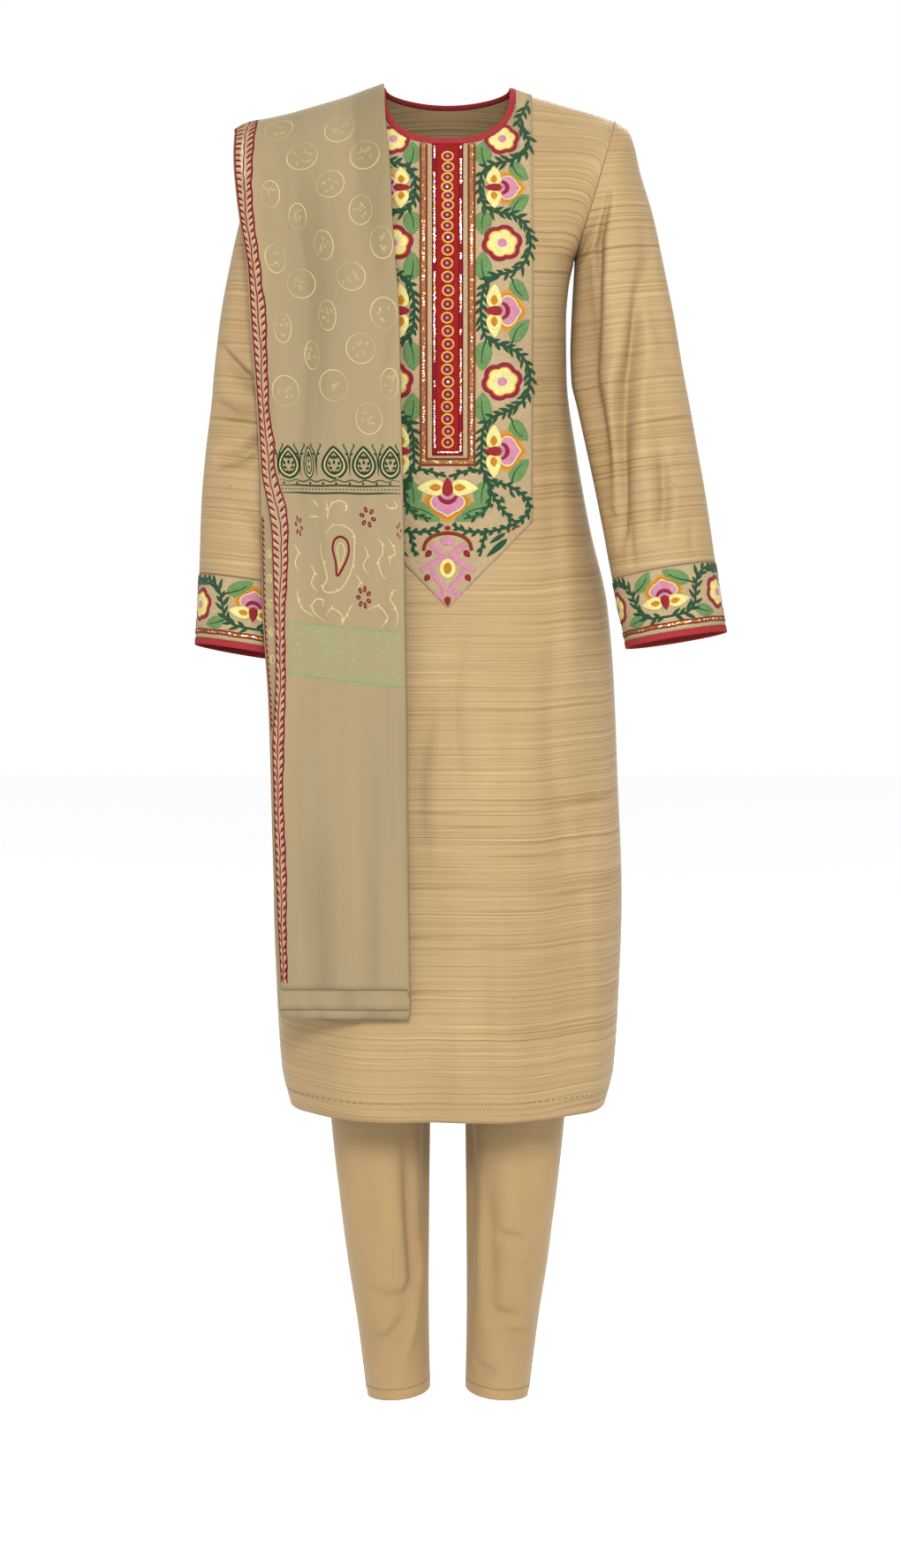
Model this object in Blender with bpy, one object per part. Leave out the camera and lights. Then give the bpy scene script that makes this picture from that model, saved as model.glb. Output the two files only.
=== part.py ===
"""Three-piece suit as worn: kameez tunic, tapered trousers and a folded dupatta.

Metres, +Z up, +X to the wearer's left, the front towards -Y. The origin is at the
middle of the neck opening, at the height of the neck's side points, where the
wearer's shoulders carry the suit. Every cloth piece is a wall with two skins and a
closed rim; neighbours stop a seam's gap apart.
"""
import math
from collections import namedtuple

import bmesh
import bpy
import numpy as np

# ---------------------------------------------------------------- driving sizes
SEAM_GAP = 0.0003            # space left between two pieces at a seam
SILK_WALL = 0.0013           # kameez and sleeve cloth
TRIM_WALL = 0.0010           # cloth of the bib, its band and its braid
TROUSER_WALL = 0.0012
DUPATTA_WALL = 0.0010
BINDING_WALL = 0.0020        # folded bias binding
BINDING_PROUD = 0.0004       # how far a binding stands over the cloth it edges
LAID_ON_GAP = 0.00035        # a piece laid on a panel starts this far out

NECK_HALF_WIDTH = 0.0707
NECK_FRONT_DEPTH = 0.0612
NECK_BACK_DEPTH = 0.018
NECK_FRONT_POWER = 2.5       # squareness of the front neck curve
NECK_BACK_POWER = 2.0
NECK_BINDING_WIDTH = 0.0062

SHOULDER_SLOPE = 0.2944      # fall of the shoulder seam for each metre outwards
NECK_RISE = 0.05             # how the shoulder line turns up into the neck
NECK_SPREAD = 0.035
SHOULDER_TIP_X = 0.176
ARMPIT_X = 0.134
ARMPIT_Z = -0.176
ARMHOLE_FRONT = 0.055        # greatest depth of the armhole before the seam
ARMHOLE_BACK = 0.058
ARMHOLE_SOFTNESS = 5.0       # how fast the armhole's shape dies out over the chest
BODY_POWER = 2.4             # squareness of the body's sections
ARMHOLE_FILL_HEIGHT = 0.4    # share of the armhole over which the chest squares out

HEM_Z = -1.078
SLIT_TOP_Z = -0.62
SLIT_HALF_GAP = 0.004        # half the opening of a side slit at the hem

BIB_HALF_WIDTH = 0.088
BIB_CORNER_Z = -0.450
BIB_POINT_Z = -0.5385
CENTRE_BAND_HALF = 0.016
CENTRE_BAND_END_Z = -0.381
BRAID_INNER_HALF = 0.0205
BRAID_OUTER_HALF = 0.0285
BRAID_END_Z = -0.3915

ARMHOLE_STEPS = 9            # rows of cloth from armpit to shoulder
HALF_TURN = math.pi
SLOPE_STEP = 0.0001          # step over which a surface's slope is taken
FOLD_FADE = 0.35             # share of a fold's length over which it fades in
SEAM_CALM = 0.12             # share of a half's width over which folds die out at the seam

BodyRow = namedtuple("BodyRow", "z half_width front back")
BODY = [
    BodyRow(0.020, 0.1860, 0.080, 0.052),
    BodyRow(-0.030, 0.1760, 0.085, 0.068),
    BodyRow(-0.090, 0.1580, 0.092, 0.086),
    BodyRow(-0.130, 0.1470, 0.101, 0.092),
    BodyRow(-0.176, 0.1340, 0.111, 0.092),
    BodyRow(-0.205, 0.1275, 0.117, 0.088),
    BodyRow(-0.240, 0.1248, 0.119, 0.084),
    BodyRow(-0.300, 0.1256, 0.114, 0.078),
    BodyRow(-0.380, 0.1362, 0.107, 0.080),
    BodyRow(-0.460, 0.1510, 0.106, 0.098),
    BodyRow(-0.540, 0.1695, 0.110, 0.116),
    BodyRow(-0.620, 0.1770, 0.113, 0.123),
    BodyRow(-0.720, 0.1815, 0.116, 0.124),
    BodyRow(-0.860, 0.1868, 0.122, 0.123),
    BodyRow(-0.960, 0.1840, 0.126, 0.121),
    BodyRow(-1.040, 0.1790, 0.130, 0.119),
    BodyRow(-1.078, 0.1705, 0.130, 0.117),
]

# A fold runs from (x_top, z_top) to (x_bottom, z_bottom); a positive depth is a
# ridge standing out, a negative one a trough. A fold that ends at the hem is open.
Fold = namedtuple("Fold", "x_top x_bottom z_top z_bottom width depth")
FRONT_FOLDS = [
    Fold(0.100, 0.118, -0.215, -0.560, 0.013, -0.0045),
    Fold(0.112, 0.140, -0.330, -0.700, 0.014, 0.0035),
    Fold(-0.100, -0.115, -0.230, -0.600, 0.014, -0.0040),
    Fold(0.050, 0.062, -0.600, HEM_Z, 0.026, 0.0050),
    Fold(0.118, 0.128, -0.700, HEM_Z, 0.020, -0.0045),
    Fold(-0.020, -0.018, -0.720, HEM_Z, 0.024, -0.0045),
    Fold(-0.082, -0.092, -0.680, HEM_Z, 0.024, 0.0045),
    Fold(-0.135, -0.146, -0.780, HEM_Z, 0.018, -0.0040),
    Fold(0.155, 0.164, -0.820, HEM_Z, 0.014, 0.0040),
]
BACK_FOLDS = [
    Fold(0.070, 0.058, -0.240, -0.520, 0.020, -0.0050),
    Fold(-0.074, -0.060, -0.260, -0.540, 0.022, -0.0045),
    Fold(0.000, 0.004, -0.300, -0.500, 0.024, 0.0040),
    Fold(0.100, 0.112, -0.640, HEM_Z, 0.024, 0.0050),
    Fold(0.036, 0.044, -0.700, HEM_Z, 0.024, -0.0050),
    Fold(-0.030, -0.026, -0.660, HEM_Z, 0.026, 0.0050),
    Fold(-0.096, -0.106, -0.740, HEM_Z, 0.022, -0.0050),
    Fold(-0.148, -0.156, -0.800, HEM_Z, 0.016, 0.0040),
]

# Sleeve sections run from the armhole (along = 0) over the band seam (1) to the
# cuff's edge. Each joins a point on the outer edge to one on the inner edge.
SleeveRow = namedtuple(
    "SleeveRow", "along outer_x outer_z inner_x inner_z y half_depth tilt")
LEFT_SLEEVE = [
    SleeveRow(0.04, 0.1895, -0.0420, 0.1341, -0.1800, 0.000, 0.0570, 0.0),
    SleeveRow(0.09, 0.1960, -0.0570, 0.1339, -0.1850, 0.000, 0.0575, 0.0),
    SleeveRow(0.16, 0.2025, -0.0850, 0.1334, -0.1945, -0.001, 0.0578, 0.0),
    SleeveRow(0.26, 0.2165, -0.1310, 0.1322, -0.2130, -0.003, 0.0575, 0.0),
    SleeveRow(0.37, 0.2290, -0.1880, 0.1306, -0.2430, -0.006, 0.0565, 0.0),
    SleeveRow(0.48, 0.2395, -0.2400, 0.1294, -0.2760, -0.012, 0.0550, 1.0),
    SleeveRow(0.60, 0.2475, -0.2900, 0.1300, -0.3040, -0.022, 0.0535, 3.0),
    SleeveRow(0.68, 0.2535, -0.3230, 0.1365, -0.3340, -0.030, 0.0520, 5.0),
    SleeveRow(0.78, 0.2615, -0.3700, 0.1475, -0.3850, -0.042, 0.0495, 7.0),
    SleeveRow(0.88, 0.2710, -0.4260, 0.1590, -0.4410, -0.055, 0.0470, 8.0),
    SleeveRow(1.00, 0.2805, -0.4936, 0.1729, -0.5120, -0.068, 0.0440, 9.0),
    SleeveRow(1.143, 0.2916, -0.5657, 0.1871, -0.5825, -0.081, 0.0415, 9.0),
]
RIGHT_SLEEVE = [
    SleeveRow(0.04, 0.1895, -0.0420, 0.1341, -0.1800, 0.000, 0.0570, 0.0),
    SleeveRow(0.09, 0.1960, -0.0570, 0.1339, -0.1850, 0.000, 0.0575, 0.0),
    SleeveRow(0.16, 0.2025, -0.0850, 0.1334, -0.1945, -0.001, 0.0578, 0.0),
    SleeveRow(0.26, 0.2175, -0.1310, 0.1322, -0.2130, -0.003, 0.0575, 0.0),
    SleeveRow(0.37, 0.2305, -0.1860, 0.1306, -0.2430, -0.006, 0.0565, 0.0),
    SleeveRow(0.48, 0.2405, -0.2420, 0.1294, -0.2800, -0.012, 0.0550, 1.0),
    SleeveRow(0.60, 0.2460, -0.2930, 0.1296, -0.3080, -0.022, 0.0535, 3.0),
    SleeveRow(0.68, 0.2490, -0.3300, 0.1345, -0.3430, -0.030, 0.0520, 5.0),
    SleeveRow(0.78, 0.2545, -0.3800, 0.1405, -0.3950, -0.042, 0.0495, 7.0),
    SleeveRow(0.88, 0.2585, -0.4350, 0.1470, -0.4500, -0.055, 0.0470, 8.0),
    SleeveRow(1.00, 0.2605, -0.5065, 0.1535, -0.5235, -0.068, 0.0440, 9.0),
    SleeveRow(1.143, 0.2640, -0.5786, 0.1580, -0.5960, -0.081, 0.0415, 9.0),
]
BAND_SEAM = 1.0
BINDING_SEAM = 1.130
CUFF_END = 1.143
SEAM_STEP = 0.0003           # a seam gap's half, as a share of a sleeve's length
SLEEVE_STEPS = 12
CUFF_STEPS = 3
ARMHOLE_BLEND = 0.16         # where a section has turned from armhole to oval

# Soft troughs along a sleeve: turn is the place round it (0 outer edge, 90 front).
SleeveFold = namedtuple("SleeveFold", "turn start end width depth")
LEFT_SLEEVE_FOLDS = [
    SleeveFold(70, 0.20, 0.98, 20, -0.0045),
    SleeveFold(118, 0.16, 0.90, 18, 0.0035),
    SleeveFold(150, 0.30, 0.85, 16, -0.0035),
    SleeveFold(250, 0.25, 0.90, 20, -0.0040),
]
RIGHT_SLEEVE_FOLDS = [
    SleeveFold(60, 0.25, 0.80, 20, -0.0035),
    SleeveFold(130, 0.40, 0.85, 18, -0.0040),
    SleeveFold(260, 0.25, 0.90, 22, -0.0045),
]

LegRow = namedtuple("LegRow", "z centre half_width half_depth")
LEG = [
    LegRow(-0.700, 0.0800, 0.0780, 0.089),
    LegRow(-0.850, 0.0790, 0.0690, 0.079),
    LegRow(-1.000, 0.0755, 0.0580, 0.065),
    LegRow(-1.104, 0.0725, 0.0535, 0.058),
    LegRow(-1.250, 0.0650, 0.0445, 0.051),
    LegRow(-1.330, 0.0590, 0.0385, 0.046),
    LegRow(-1.408, 0.0535, 0.0345, 0.0425),
]
HipRow = namedtuple("HipRow", "z half_width front back")
HIP = [
    HipRow(-0.350, 0.1200, 0.086, 0.066),
    HipRow(-0.400, 0.1255, 0.087, 0.069),
    HipRow(-0.480, 0.1496, 0.092, 0.088),
    HipRow(-0.550, 0.1682, 0.096, 0.102),
    HipRow(-0.620, 0.1710, 0.098, 0.108),
    HipRow(-0.720, 0.1630, 0.095, 0.105),
]
WAIST_Z = -0.385
WAISTBAND_TOP_Z = -0.350
CROTCH_START_Z = -0.590
CROTCH_END_Z = -0.740
TROUSER_INNER_HEM_Z = -1.398
TROUSER_OUTER_HEM_DROP = 0.010
TROUSER_STEPS = 14
TROUSER_COLUMNS = 8

# The dupatta's inner face: its depth before (or behind) the shoulder line, near
# the neck and out over the sleeve, and its two long edges, at each height.
DrapeRow = namedtuple("DrapeRow", "z neck_depth arm_depth neck_x arm_x")
FRONT_FALL = [
    DrapeRow(0.020, 0.088, 0.066, 0.0680, 0.2200),
    DrapeRow(-0.045, 0.0915, 0.068, 0.0650, 0.2225),
    DrapeRow(-0.100, 0.0985, 0.069, 0.0590, 0.2190),
    DrapeRow(-0.140, 0.1075, 0.071, 0.0570, 0.2145),
    DrapeRow(-0.186, 0.1190, 0.074, 0.0530, 0.2080),
    DrapeRow(-0.240, 0.1245, 0.080, 0.0495, 0.2050),
    DrapeRow(-0.327, 0.1260, 0.090, 0.0480, 0.1982),
    DrapeRow(-0.414, 0.1270, 0.104, 0.0460, 0.1935),
    DrapeRow(-0.466, 0.1280, 0.115, 0.0450, 0.1925),
    DrapeRow(-0.548, 0.1290, 0.1280, 0.0440, 0.1905),
    DrapeRow(-0.640, 0.1300, 0.1310, 0.0425, 0.1850),
    DrapeRow(-0.825, 0.1330, 0.1310, 0.0405, 0.1805),
    DrapeRow(-0.970, 0.1365, 0.1320, 0.0385, 0.1745),
]
BACK_FALL = [
    DrapeRow(0.020, 0.062, 0.060, 0.0680, 0.2200),
    DrapeRow(-0.045, 0.0760, 0.063, 0.0660, 0.2200),
    DrapeRow(-0.100, 0.0925, 0.065, 0.0640, 0.2140),
    DrapeRow(-0.186, 0.0985, 0.072, 0.0600, 0.2020),
    DrapeRow(-0.300, 0.1000, 0.080, 0.0540, 0.1900),
    DrapeRow(-0.430, 0.1060, 0.090, 0.0480, 0.1800),
    DrapeRow(-0.540, 0.1240, 0.104, 0.0430, 0.1720),
    DrapeRow(-0.640, 0.1330, 0.112, 0.0400, 0.1680),
    DrapeRow(-0.980, 0.1350, 0.116, 0.0360, 0.1600),
]
TopLayerRow = namedtuple("TopLayerRow", "z set_back")
TOP_LAYER_EDGE = [               # how far the top layer's border stands in from
    TopLayerRow(-0.400, 0.0),    # the edge of the layer under it
    TopLayerRow(-0.466, 0.0095),
    TopLayerRow(-0.550, 0.0090),
    TopLayerRow(-0.660, 0.0),
]
DUPATTA_LAYERS = 4
LAYER_CELLS = (0.0, 0.10, 0.40, 0.70, 1.0)
LAYER_END_Z = (-0.960, -0.966, -0.956, -0.9345)   # innermost layer first
BACK_END_Z = (-0.950, -0.958, -0.966, -0.972)
LAYER_PITCH_TOP = 0.0014         # layer to layer on the shoulder
LAYER_PITCH_END = 0.0026         # layer to layer at the ends
DRAPE_CLEAR = 0.0012
DRAPE_NECK_X = 0.060             # the stack's depth changes between these places
DRAPE_ARM_X = 0.200
DRAPE_FULLNESS = 0.35            # how much rounder the stack turns over the arm
DRAPE_NECK_LIFT = 0.0026         # the stack rises to pass over the neck binding
DRAPE_LIFT_START_X = 0.080
DRAPE_LIFT_END_X = 0.110
DRAPE_TIP_X = 0.165              # outside this the stack bridges past the shoulder
DRAPE_TIP_SLOPE = 0.22
DRAPE_EDGE_DROP_X = 0.205
DRAPE_EDGE_DROP = 22.0
DRAPE_EDGE_SHARE = 0.985          # the drape is held off the cloth up to this share of it
DRAPE_MIDDLE = (-0.13, 0.0, -0.35)
FALL_STEPS = 11
BACK_STEPS = 8
SHOULDER_FRONT_ANGLE = 62.0      # where the shoulder stretch gives way to a fall
SHOULDER_BACK_ANGLE = 62.0
SHOULDER_STEPS = 12

MATERIALS = {                    # colour, roughness
    "raw_silk": ((0.565, 0.402, 0.216), 0.60),
    "bib_cotton": ((0.515, 0.376, 0.220), 0.85),
    "red_binding": ((0.515, 0.050, 0.090), 0.70),
    "red_band": ((0.402, 0.020, 0.045), 0.75),
    "braid": ((0.360, 0.150, 0.050), 0.55),
    "trouser_satin": ((0.502, 0.342, 0.165), 0.45),
    "chiffon": ((0.491, 0.381, 0.223), 0.75),
}


# ---------------------------------------------------------------- small helpers
def smooth_curve(knots, values):
    """Return a smooth function through the knots that never overshoots them."""
    order = np.argsort(knots)
    knots = np.asarray(knots, dtype=float)[order]
    values = np.asarray(values, dtype=float)[order]
    steps = np.diff(knots)
    rises = np.diff(values) / steps
    slopes = np.zeros(len(knots))
    slopes[0] = rises[0]
    slopes[-1] = rises[-1]
    for i in range(1, len(steps)):
        if rises[i - 1] * rises[i] > 0:
            slopes[i] = 2 * rises[i - 1] * rises[i] / (rises[i - 1] + rises[i])

    def value(at):
        at = np.clip(at, knots[0], knots[-1])
        i = np.clip(np.searchsorted(knots, at) - 1, 0, len(steps) - 1)
        t = (at - knots[i]) / steps[i]
        start = (1 + 2 * t) * (1 - t) ** 2 * values[i] + t * (1 - t) ** 2 * steps[i] * slopes[i]
        end = t * t * (3 - 2 * t) * values[i + 1] - t * t * (1 - t) * steps[i] * slopes[i + 1]
        return start + end

    return value


def columns_of(rows):
    """Return one smooth function for each column of a table, by its name."""
    key = rows[0]._fields[0]
    knots = [getattr(row, key) for row in rows]
    return {name: smooth_curve(knots, [getattr(row, name) for row in rows])
            for name in rows[0]._fields[1:]}


def ease(t):
    """Smooth step from 0 to 1."""
    t = np.clip(t, 0.0, 1.0)
    return t * t * (3 - 2 * t)


def unit(vectors):
    """Scale vectors to length one."""
    length = np.linalg.norm(vectors, axis=-1, keepdims=True)
    return vectors / np.maximum(length, 1e-12)


body = columns_of(BODY)
front_fall = columns_of(FRONT_FALL)
back_fall = columns_of(BACK_FALL)
top_layer_edge = columns_of(TOP_LAYER_EDGE)["set_back"]
leg = columns_of(LEG)
hip = columns_of(HIP)


# ---------------------------------------------------------------- the kameez form
def neck_turn_up(x):
    """Extra height of the shoulder line close to the neck."""
    return NECK_RISE * np.exp(-(x / NECK_SPREAD) ** 2)


def shoulder_height(x):
    """Height of the shoulder seam at x; zero at the side of the neck."""
    fall = SHOULDER_SLOPE * (np.abs(x) - NECK_HALF_WIDTH)
    return neck_turn_up(x) - neck_turn_up(NECK_HALF_WIDTH) - fall


SHOULDER_TIP_Z = float(shoulder_height(SHOULDER_TIP_X))


def edge_x(z):
    """Half the body's width: the side seam, then the armhole's straight line."""
    rise = (z - ARMPIT_Z) / (SHOULDER_TIP_Z - ARMPIT_Z)
    armhole = ARMPIT_X + rise * (SHOULDER_TIP_X - ARMPIT_X)
    return np.where(z > ARMPIT_Z, armhole, body["half_width"](z))


def fold_height(folds, x, z):
    """Sum of the folds' ridges and troughs at a place on a panel."""
    total = np.zeros(np.broadcast(x, z).shape)
    for fold in folds:
        share = (fold.z_top - z) / (fold.z_top - fold.z_bottom)
        centre = fold.x_top + np.clip(share, 0, 1) * (fold.x_bottom - fold.x_top)
        strength = ease(share / FOLD_FADE)
        if fold.z_bottom > HEM_Z:
            strength = strength * ease((1 - share) / FOLD_FADE)
        total = total + fold.depth * strength * np.exp(-((x - centre) / fold.width) ** 2)
    return total


def armhole_depth(rise, side, roundness=0.5):
    """Depth of the armhole's oval at a share of its height."""
    greatest = ARMHOLE_FRONT if side < 0 else ARMHOLE_BACK
    return greatest * (4 * np.clip(rise * (1 - rise), 0, 1)) ** roundness


def body_depth(x, z, side):
    """Depth of the kameez before (side -1) or behind (side 1) the seam plane."""
    centre = body["front" if side < 0 else "back"](z)
    rise = np.clip((z - ARMPIT_Z) / (shoulder_height(x) - ARMPIT_Z), 0, 1)
    across = np.clip(np.abs(x) / edge_x(z), 0, 1)
    full = centre * np.sqrt(1 - rise ** 2)
    edge = armhole_depth(rise, side, 0.5 + ARMHOLE_SOFTNESS * (1 - across))
    flat_power = 1 / BODY_POWER
    power = flat_power + (1 - flat_power) * ease(rise / ARMHOLE_FILL_HEIGHT)
    depth = edge + (full - edge) * (1 - across ** BODY_POWER) ** power
    slit = SLIT_HALF_GAP * ease((SLIT_TOP_Z - z) / (SLIT_TOP_Z - HEM_Z))
    folds = FRONT_FOLDS if side < 0 else BACK_FOLDS
    away_from_seam = ease((1 - across) / SEAM_CALM)
    return SEAM_GAP / 2 + depth + slit + away_from_seam * fold_height(folds, x, z)


def neckline_z(x, side):
    """Height of the neck's cut edge at x."""
    if side < 0:
        depth, power = NECK_FRONT_DEPTH, NECK_FRONT_POWER
    else:
        depth, power = NECK_BACK_DEPTH, NECK_BACK_POWER
    across = np.clip(np.abs(x) / NECK_HALF_WIDTH, 0, 1)
    return -depth * (1 - across ** power) ** (1 / power)


def armhole_rises():
    """Shares of the armhole's height, close together where the oval turns."""
    steps = np.arange(ARMHOLE_STEPS + 1)
    return (1 - np.cos(HALF_TURN * steps / ARMHOLE_STEPS)) / 2


def panel_columns(middle_columns, outer_cells):
    """List a panel's columns from one side seam to the other."""
    half = list(middle_columns)
    last = half[-1]
    for k in range(1, outer_cells + 1):
        half.append(Column(last.top_x, last.low_x, math.sin(HALF_TURN / 2 * k / outer_cells)))
    left = [Column(-c.top_x, -c.low_x, c.share) for c in reversed(half[1:])]
    return left + half


def column_x(column, z):
    """The x of a panel's column at height z, at or under the armpit."""
    return column.low_x + math.copysign(column.share, column.low_x) * (edge_x(z) - abs(column.low_x))


def kameez_grid(side, middle_columns, outer_cells, heights):
    """Points of a body panel: rows from the shoulder to the hem."""
    columns = panel_columns(middle_columns, outer_cells)
    rises = armhole_rises()[::-1]
    grid = np.zeros((len(rises) + len(heights), len(columns), 3))
    for j, column in enumerate(columns):
        low_x = float(column_x(column, ARMPIT_Z))
        span = math.copysign(SHOULDER_TIP_X - abs(column.top_x), column.top_x)
        high_x = column.top_x + column.share * span
        if abs(high_x) < NECK_HALF_WIDTH:
            high_z = float(neckline_z(high_x, side))
        else:
            high_z = float(shoulder_height(high_x))
        x_up = low_x + rises * (high_x - low_x)
        z_up = ARMPIT_Z + rises * (high_z - ARMPIT_Z)
        x = np.concatenate([x_up, column_x(column, heights)])
        z = np.concatenate([z_up, heights])
        grid[:, j, 0] = x
        grid[:, j, 2] = z
        grid[:, j, 1] = side * body_depth(x, z, side)
    return grid


def grid_normals(grid, around=False):
    """Unit normals of a grid; around joins the last column to the first."""
    if around:
        across = np.roll(grid, -1, axis=1) - np.roll(grid, 1, axis=1)
    else:
        across = np.gradient(grid, axis=1)
    down = np.gradient(grid, axis=0)
    return unit(np.cross(down, across))


def facing(normals, grid, centre_of):
    """Turn all normals so that they point away from a centre line."""
    outward = np.sum(normals * (grid - np.asarray(centre_of)), axis=-1)
    return normals if np.sum(outward) > 0 else -normals


ARMHOLE_AXIS = unit(np.array([SHOULDER_TIP_Z - ARMPIT_Z, 0.0,
                              -(SHOULDER_TIP_X - ARMPIT_X)]))


def body_normals(x, z, side):
    """Unit normals of the kameez form, from the slope of its depth."""
    step = SLOPE_STEP
    inside_z = np.minimum(z, shoulder_height(x) - step)
    slope_x = (body_depth(x + step, inside_z, side) - body_depth(x - step, inside_z, side)) / (2 * step)
    slope_z = (body_depth(x, inside_z + step, side) - body_depth(x, inside_z - step, side)) / (2 * step)
    return unit(np.stack([-slope_x, np.full(np.shape(slope_x), float(side)), -slope_z], axis=-1))


def panel_normals(grid, side):
    """Normals of a body panel, kept square to its side and shoulder seams."""
    normals = body_normals(grid[:, :, 0], grid[:, :, 2], side)
    normals[:, [0, -1], 1] = 0
    on_shoulder = np.abs(grid[0, :, 0]) >= NECK_HALF_WIDTH - 1e-6
    normals[0, on_shoulder, 1] = 0
    for column, sign in ((0, -1), (-1, 1)):
        axis = ARMHOLE_AXIS * np.array([sign, 1, 1])
        edge = normals[:ARMHOLE_STEPS, column]
        lean = np.minimum(np.sum(edge * axis, axis=-1, keepdims=True), 0)
        normals[:ARMHOLE_STEPS, column] = edge - lean * axis
    return unit(normals)


# ---------------------------------------------------------------- making solids
def make_material(name):
    """Return the named cloth's material."""
    material = bpy.data.materials.new(name)
    material.use_nodes = True
    colour, roughness = MATERIALS[name]
    shader = material.node_tree.nodes["Principled BSDF"]
    shader.inputs["Base Color"].default_value = (*colour, 1.0)
    shader.inputs["Roughness"].default_value = roughness
    shader.inputs["Metallic"].default_value = 0.0
    return material


def add_object(name, points, faces, material):
    """Make one closed solid from its points and faces."""
    mesh = bpy.data.meshes.new(name)
    mesh.from_pydata([tuple(point) for point in points], [], faces)
    shape = bmesh.new()
    shape.from_mesh(mesh)
    bmesh.ops.recalc_face_normals(shape, faces=shape.faces)
    bmesh.ops.triangulate(shape, faces=shape.faces)
    shape.to_mesh(mesh)
    shape.free()
    mesh.shade_smooth()
    mesh.set_sharp_from_angle(angle=math.radians(50))
    piece = bpy.data.objects.new(name, mesh)
    mesh.materials.append(material)
    suit.objects.link(piece)
    return piece


def cut_cell(points, a, b, c, d):
    """Cut a four-cornered cell along its shorter diagonal into two triangles."""
    if np.linalg.norm(points[a] - points[c]) <= np.linalg.norm(points[b] - points[d]):
        return [(a, b, c), (a, c, d)]
    return [(a, b, d), (b, c, d)]


def wall(name, grid, normals, material, thickness, out=0.0, around=False):
    """Loft a cloth wall whose outer skin is the grid moved out along its normals.

    Both skins are cut along the same diagonals, so that they stay apart.
    """
    rows, columns = grid.shape[:2]
    outer = grid + normals * out
    inner = grid + normals * (out - thickness)
    points = np.concatenate([outer.reshape(-1, 3), inner.reshape(-1, 3)])
    middle = grid.reshape(-1, 3)
    skin = rows * columns
    cells = columns if around else columns - 1
    faces = []
    for i in range(rows - 1):
        for j in range(cells):
            k = (j + 1) % columns
            corners = (i * columns + j, i * columns + k, (i + 1) * columns + k, (i + 1) * columns + j)
            for triangle in cut_cell(middle, *corners):
                faces.append(triangle)
                faces.append(tuple(index + skin for index in reversed(triangle)))
    for i, order in ((0, 1), (rows - 1, -1)):
        for j in range(cells):
            a, b = i * columns + j, i * columns + (j + 1) % columns
            faces.append((a, a + skin, b + skin, b)[::order])
    if not around:
        for j, order in ((0, -1), (columns - 1, 1)):
            for i in range(rows - 1):
                a, b = i * columns + j, (i + 1) * columns + j
                faces.append((a, a + skin, b + skin, b)[::order])
    return add_object(name, points, faces, material)


# ---------------------------------------------------------------- kameez pieces
# A column runs straight down from low_x under the armpit, and leans over to top_x
# at the neck or shoulder; share places it between the last of these and the side.
Column = namedtuple("Column", "top_x low_x share", defaults=(0.0,))
FRONT_COLUMNS = (
    Column(0.0, 0.0),
    Column(CENTRE_BAND_HALF, CENTRE_BAND_HALF),
    Column(BRAID_OUTER_HALF, BRAID_OUTER_HALF),
    Column(0.0460, 0.042),
    Column(0.0600, 0.053),
    Column(0.0675, 0.062),
    Column(0.0699, 0.070),
    Column(0.07055, 0.076),
    Column(NECK_HALF_WIDTH, 0.082),
    Column(BIB_HALF_WIDTH, BIB_HALF_WIDTH),
)
BACK_COLUMNS = (
    Column(0.0, 0.0),
    Column(0.0300, 0.027),
    Column(0.0520, 0.048),
    Column(0.0665, 0.064),
    Column(NECK_HALF_WIDTH, 0.078),
)
FRONT_OUTER_CELLS = 6
BACK_OUTER_CELLS = 6
BIB_STEPS = 7
SKIRT_STEPS = 11


def lower_heights():
    """Heights of the rows under the armpit, with one at the bib's corners."""
    upper = np.linspace(ARMPIT_Z, BIB_CORNER_Z, BIB_STEPS + 1)[1:]
    lower = np.linspace(BIB_CORNER_Z, HEM_Z, SKIRT_STEPS + 1)[1:]
    return np.concatenate([upper, lower])


def make_body_panels(silk):
    """Build the front and back; return the front's points and normals."""
    heights = lower_heights()
    front = kameez_grid(-1, FRONT_COLUMNS, FRONT_OUTER_CELLS, heights)
    front_normals = panel_normals(front, -1)
    wall("kameez_front", front, front_normals, silk, SILK_WALL)
    back = kameez_grid(1, BACK_COLUMNS, BACK_OUTER_CELLS, heights)
    wall("kameez_back", back, panel_normals(back, 1), silk, SILK_WALL)
    return front, front_normals


def on_front(front, normals, x, z):
    """Point and normal on the front panel's own facets at a given x and height."""
    middle = front.shape[1] // 2
    half = len(FRONT_COLUMNS) - 1
    columns = range(middle - half, middle + half + 1)
    places = [front[-1, j, 0] for j in columns]
    k = int(np.clip(np.searchsorted(places, x) - 1, 0, len(places) - 2))
    share = (x - places[k]) / (places[k + 1] - places[k])
    found = []
    for j in (columns[k], columns[k + 1]):
        heights = front[::-1, j, 2]
        found.append([np.array([np.interp(z, heights, field[::-1, j, axis])
                                for axis in range(3)]) for field in (front, normals)])
    point = found[0][0] * (1 - share) + found[1][0] * share
    normal = unit(found[0][1] * (1 - share) + found[1][1] * share)
    return np.array([x, point[1], z]), normal


def laid_grid(front, normals, xs, height_rows):
    """Grid of points on the front: one column for each x, heights given per column."""
    grid = np.zeros((len(height_rows[0]), len(xs), 3))
    grid_normal = np.zeros_like(grid)
    for j, x in enumerate(xs):
        for i, z in enumerate(height_rows[j]):
            grid[i, j], grid_normal[i, j] = on_front(front, normals, x, z)
    return grid, grid_normal


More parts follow.
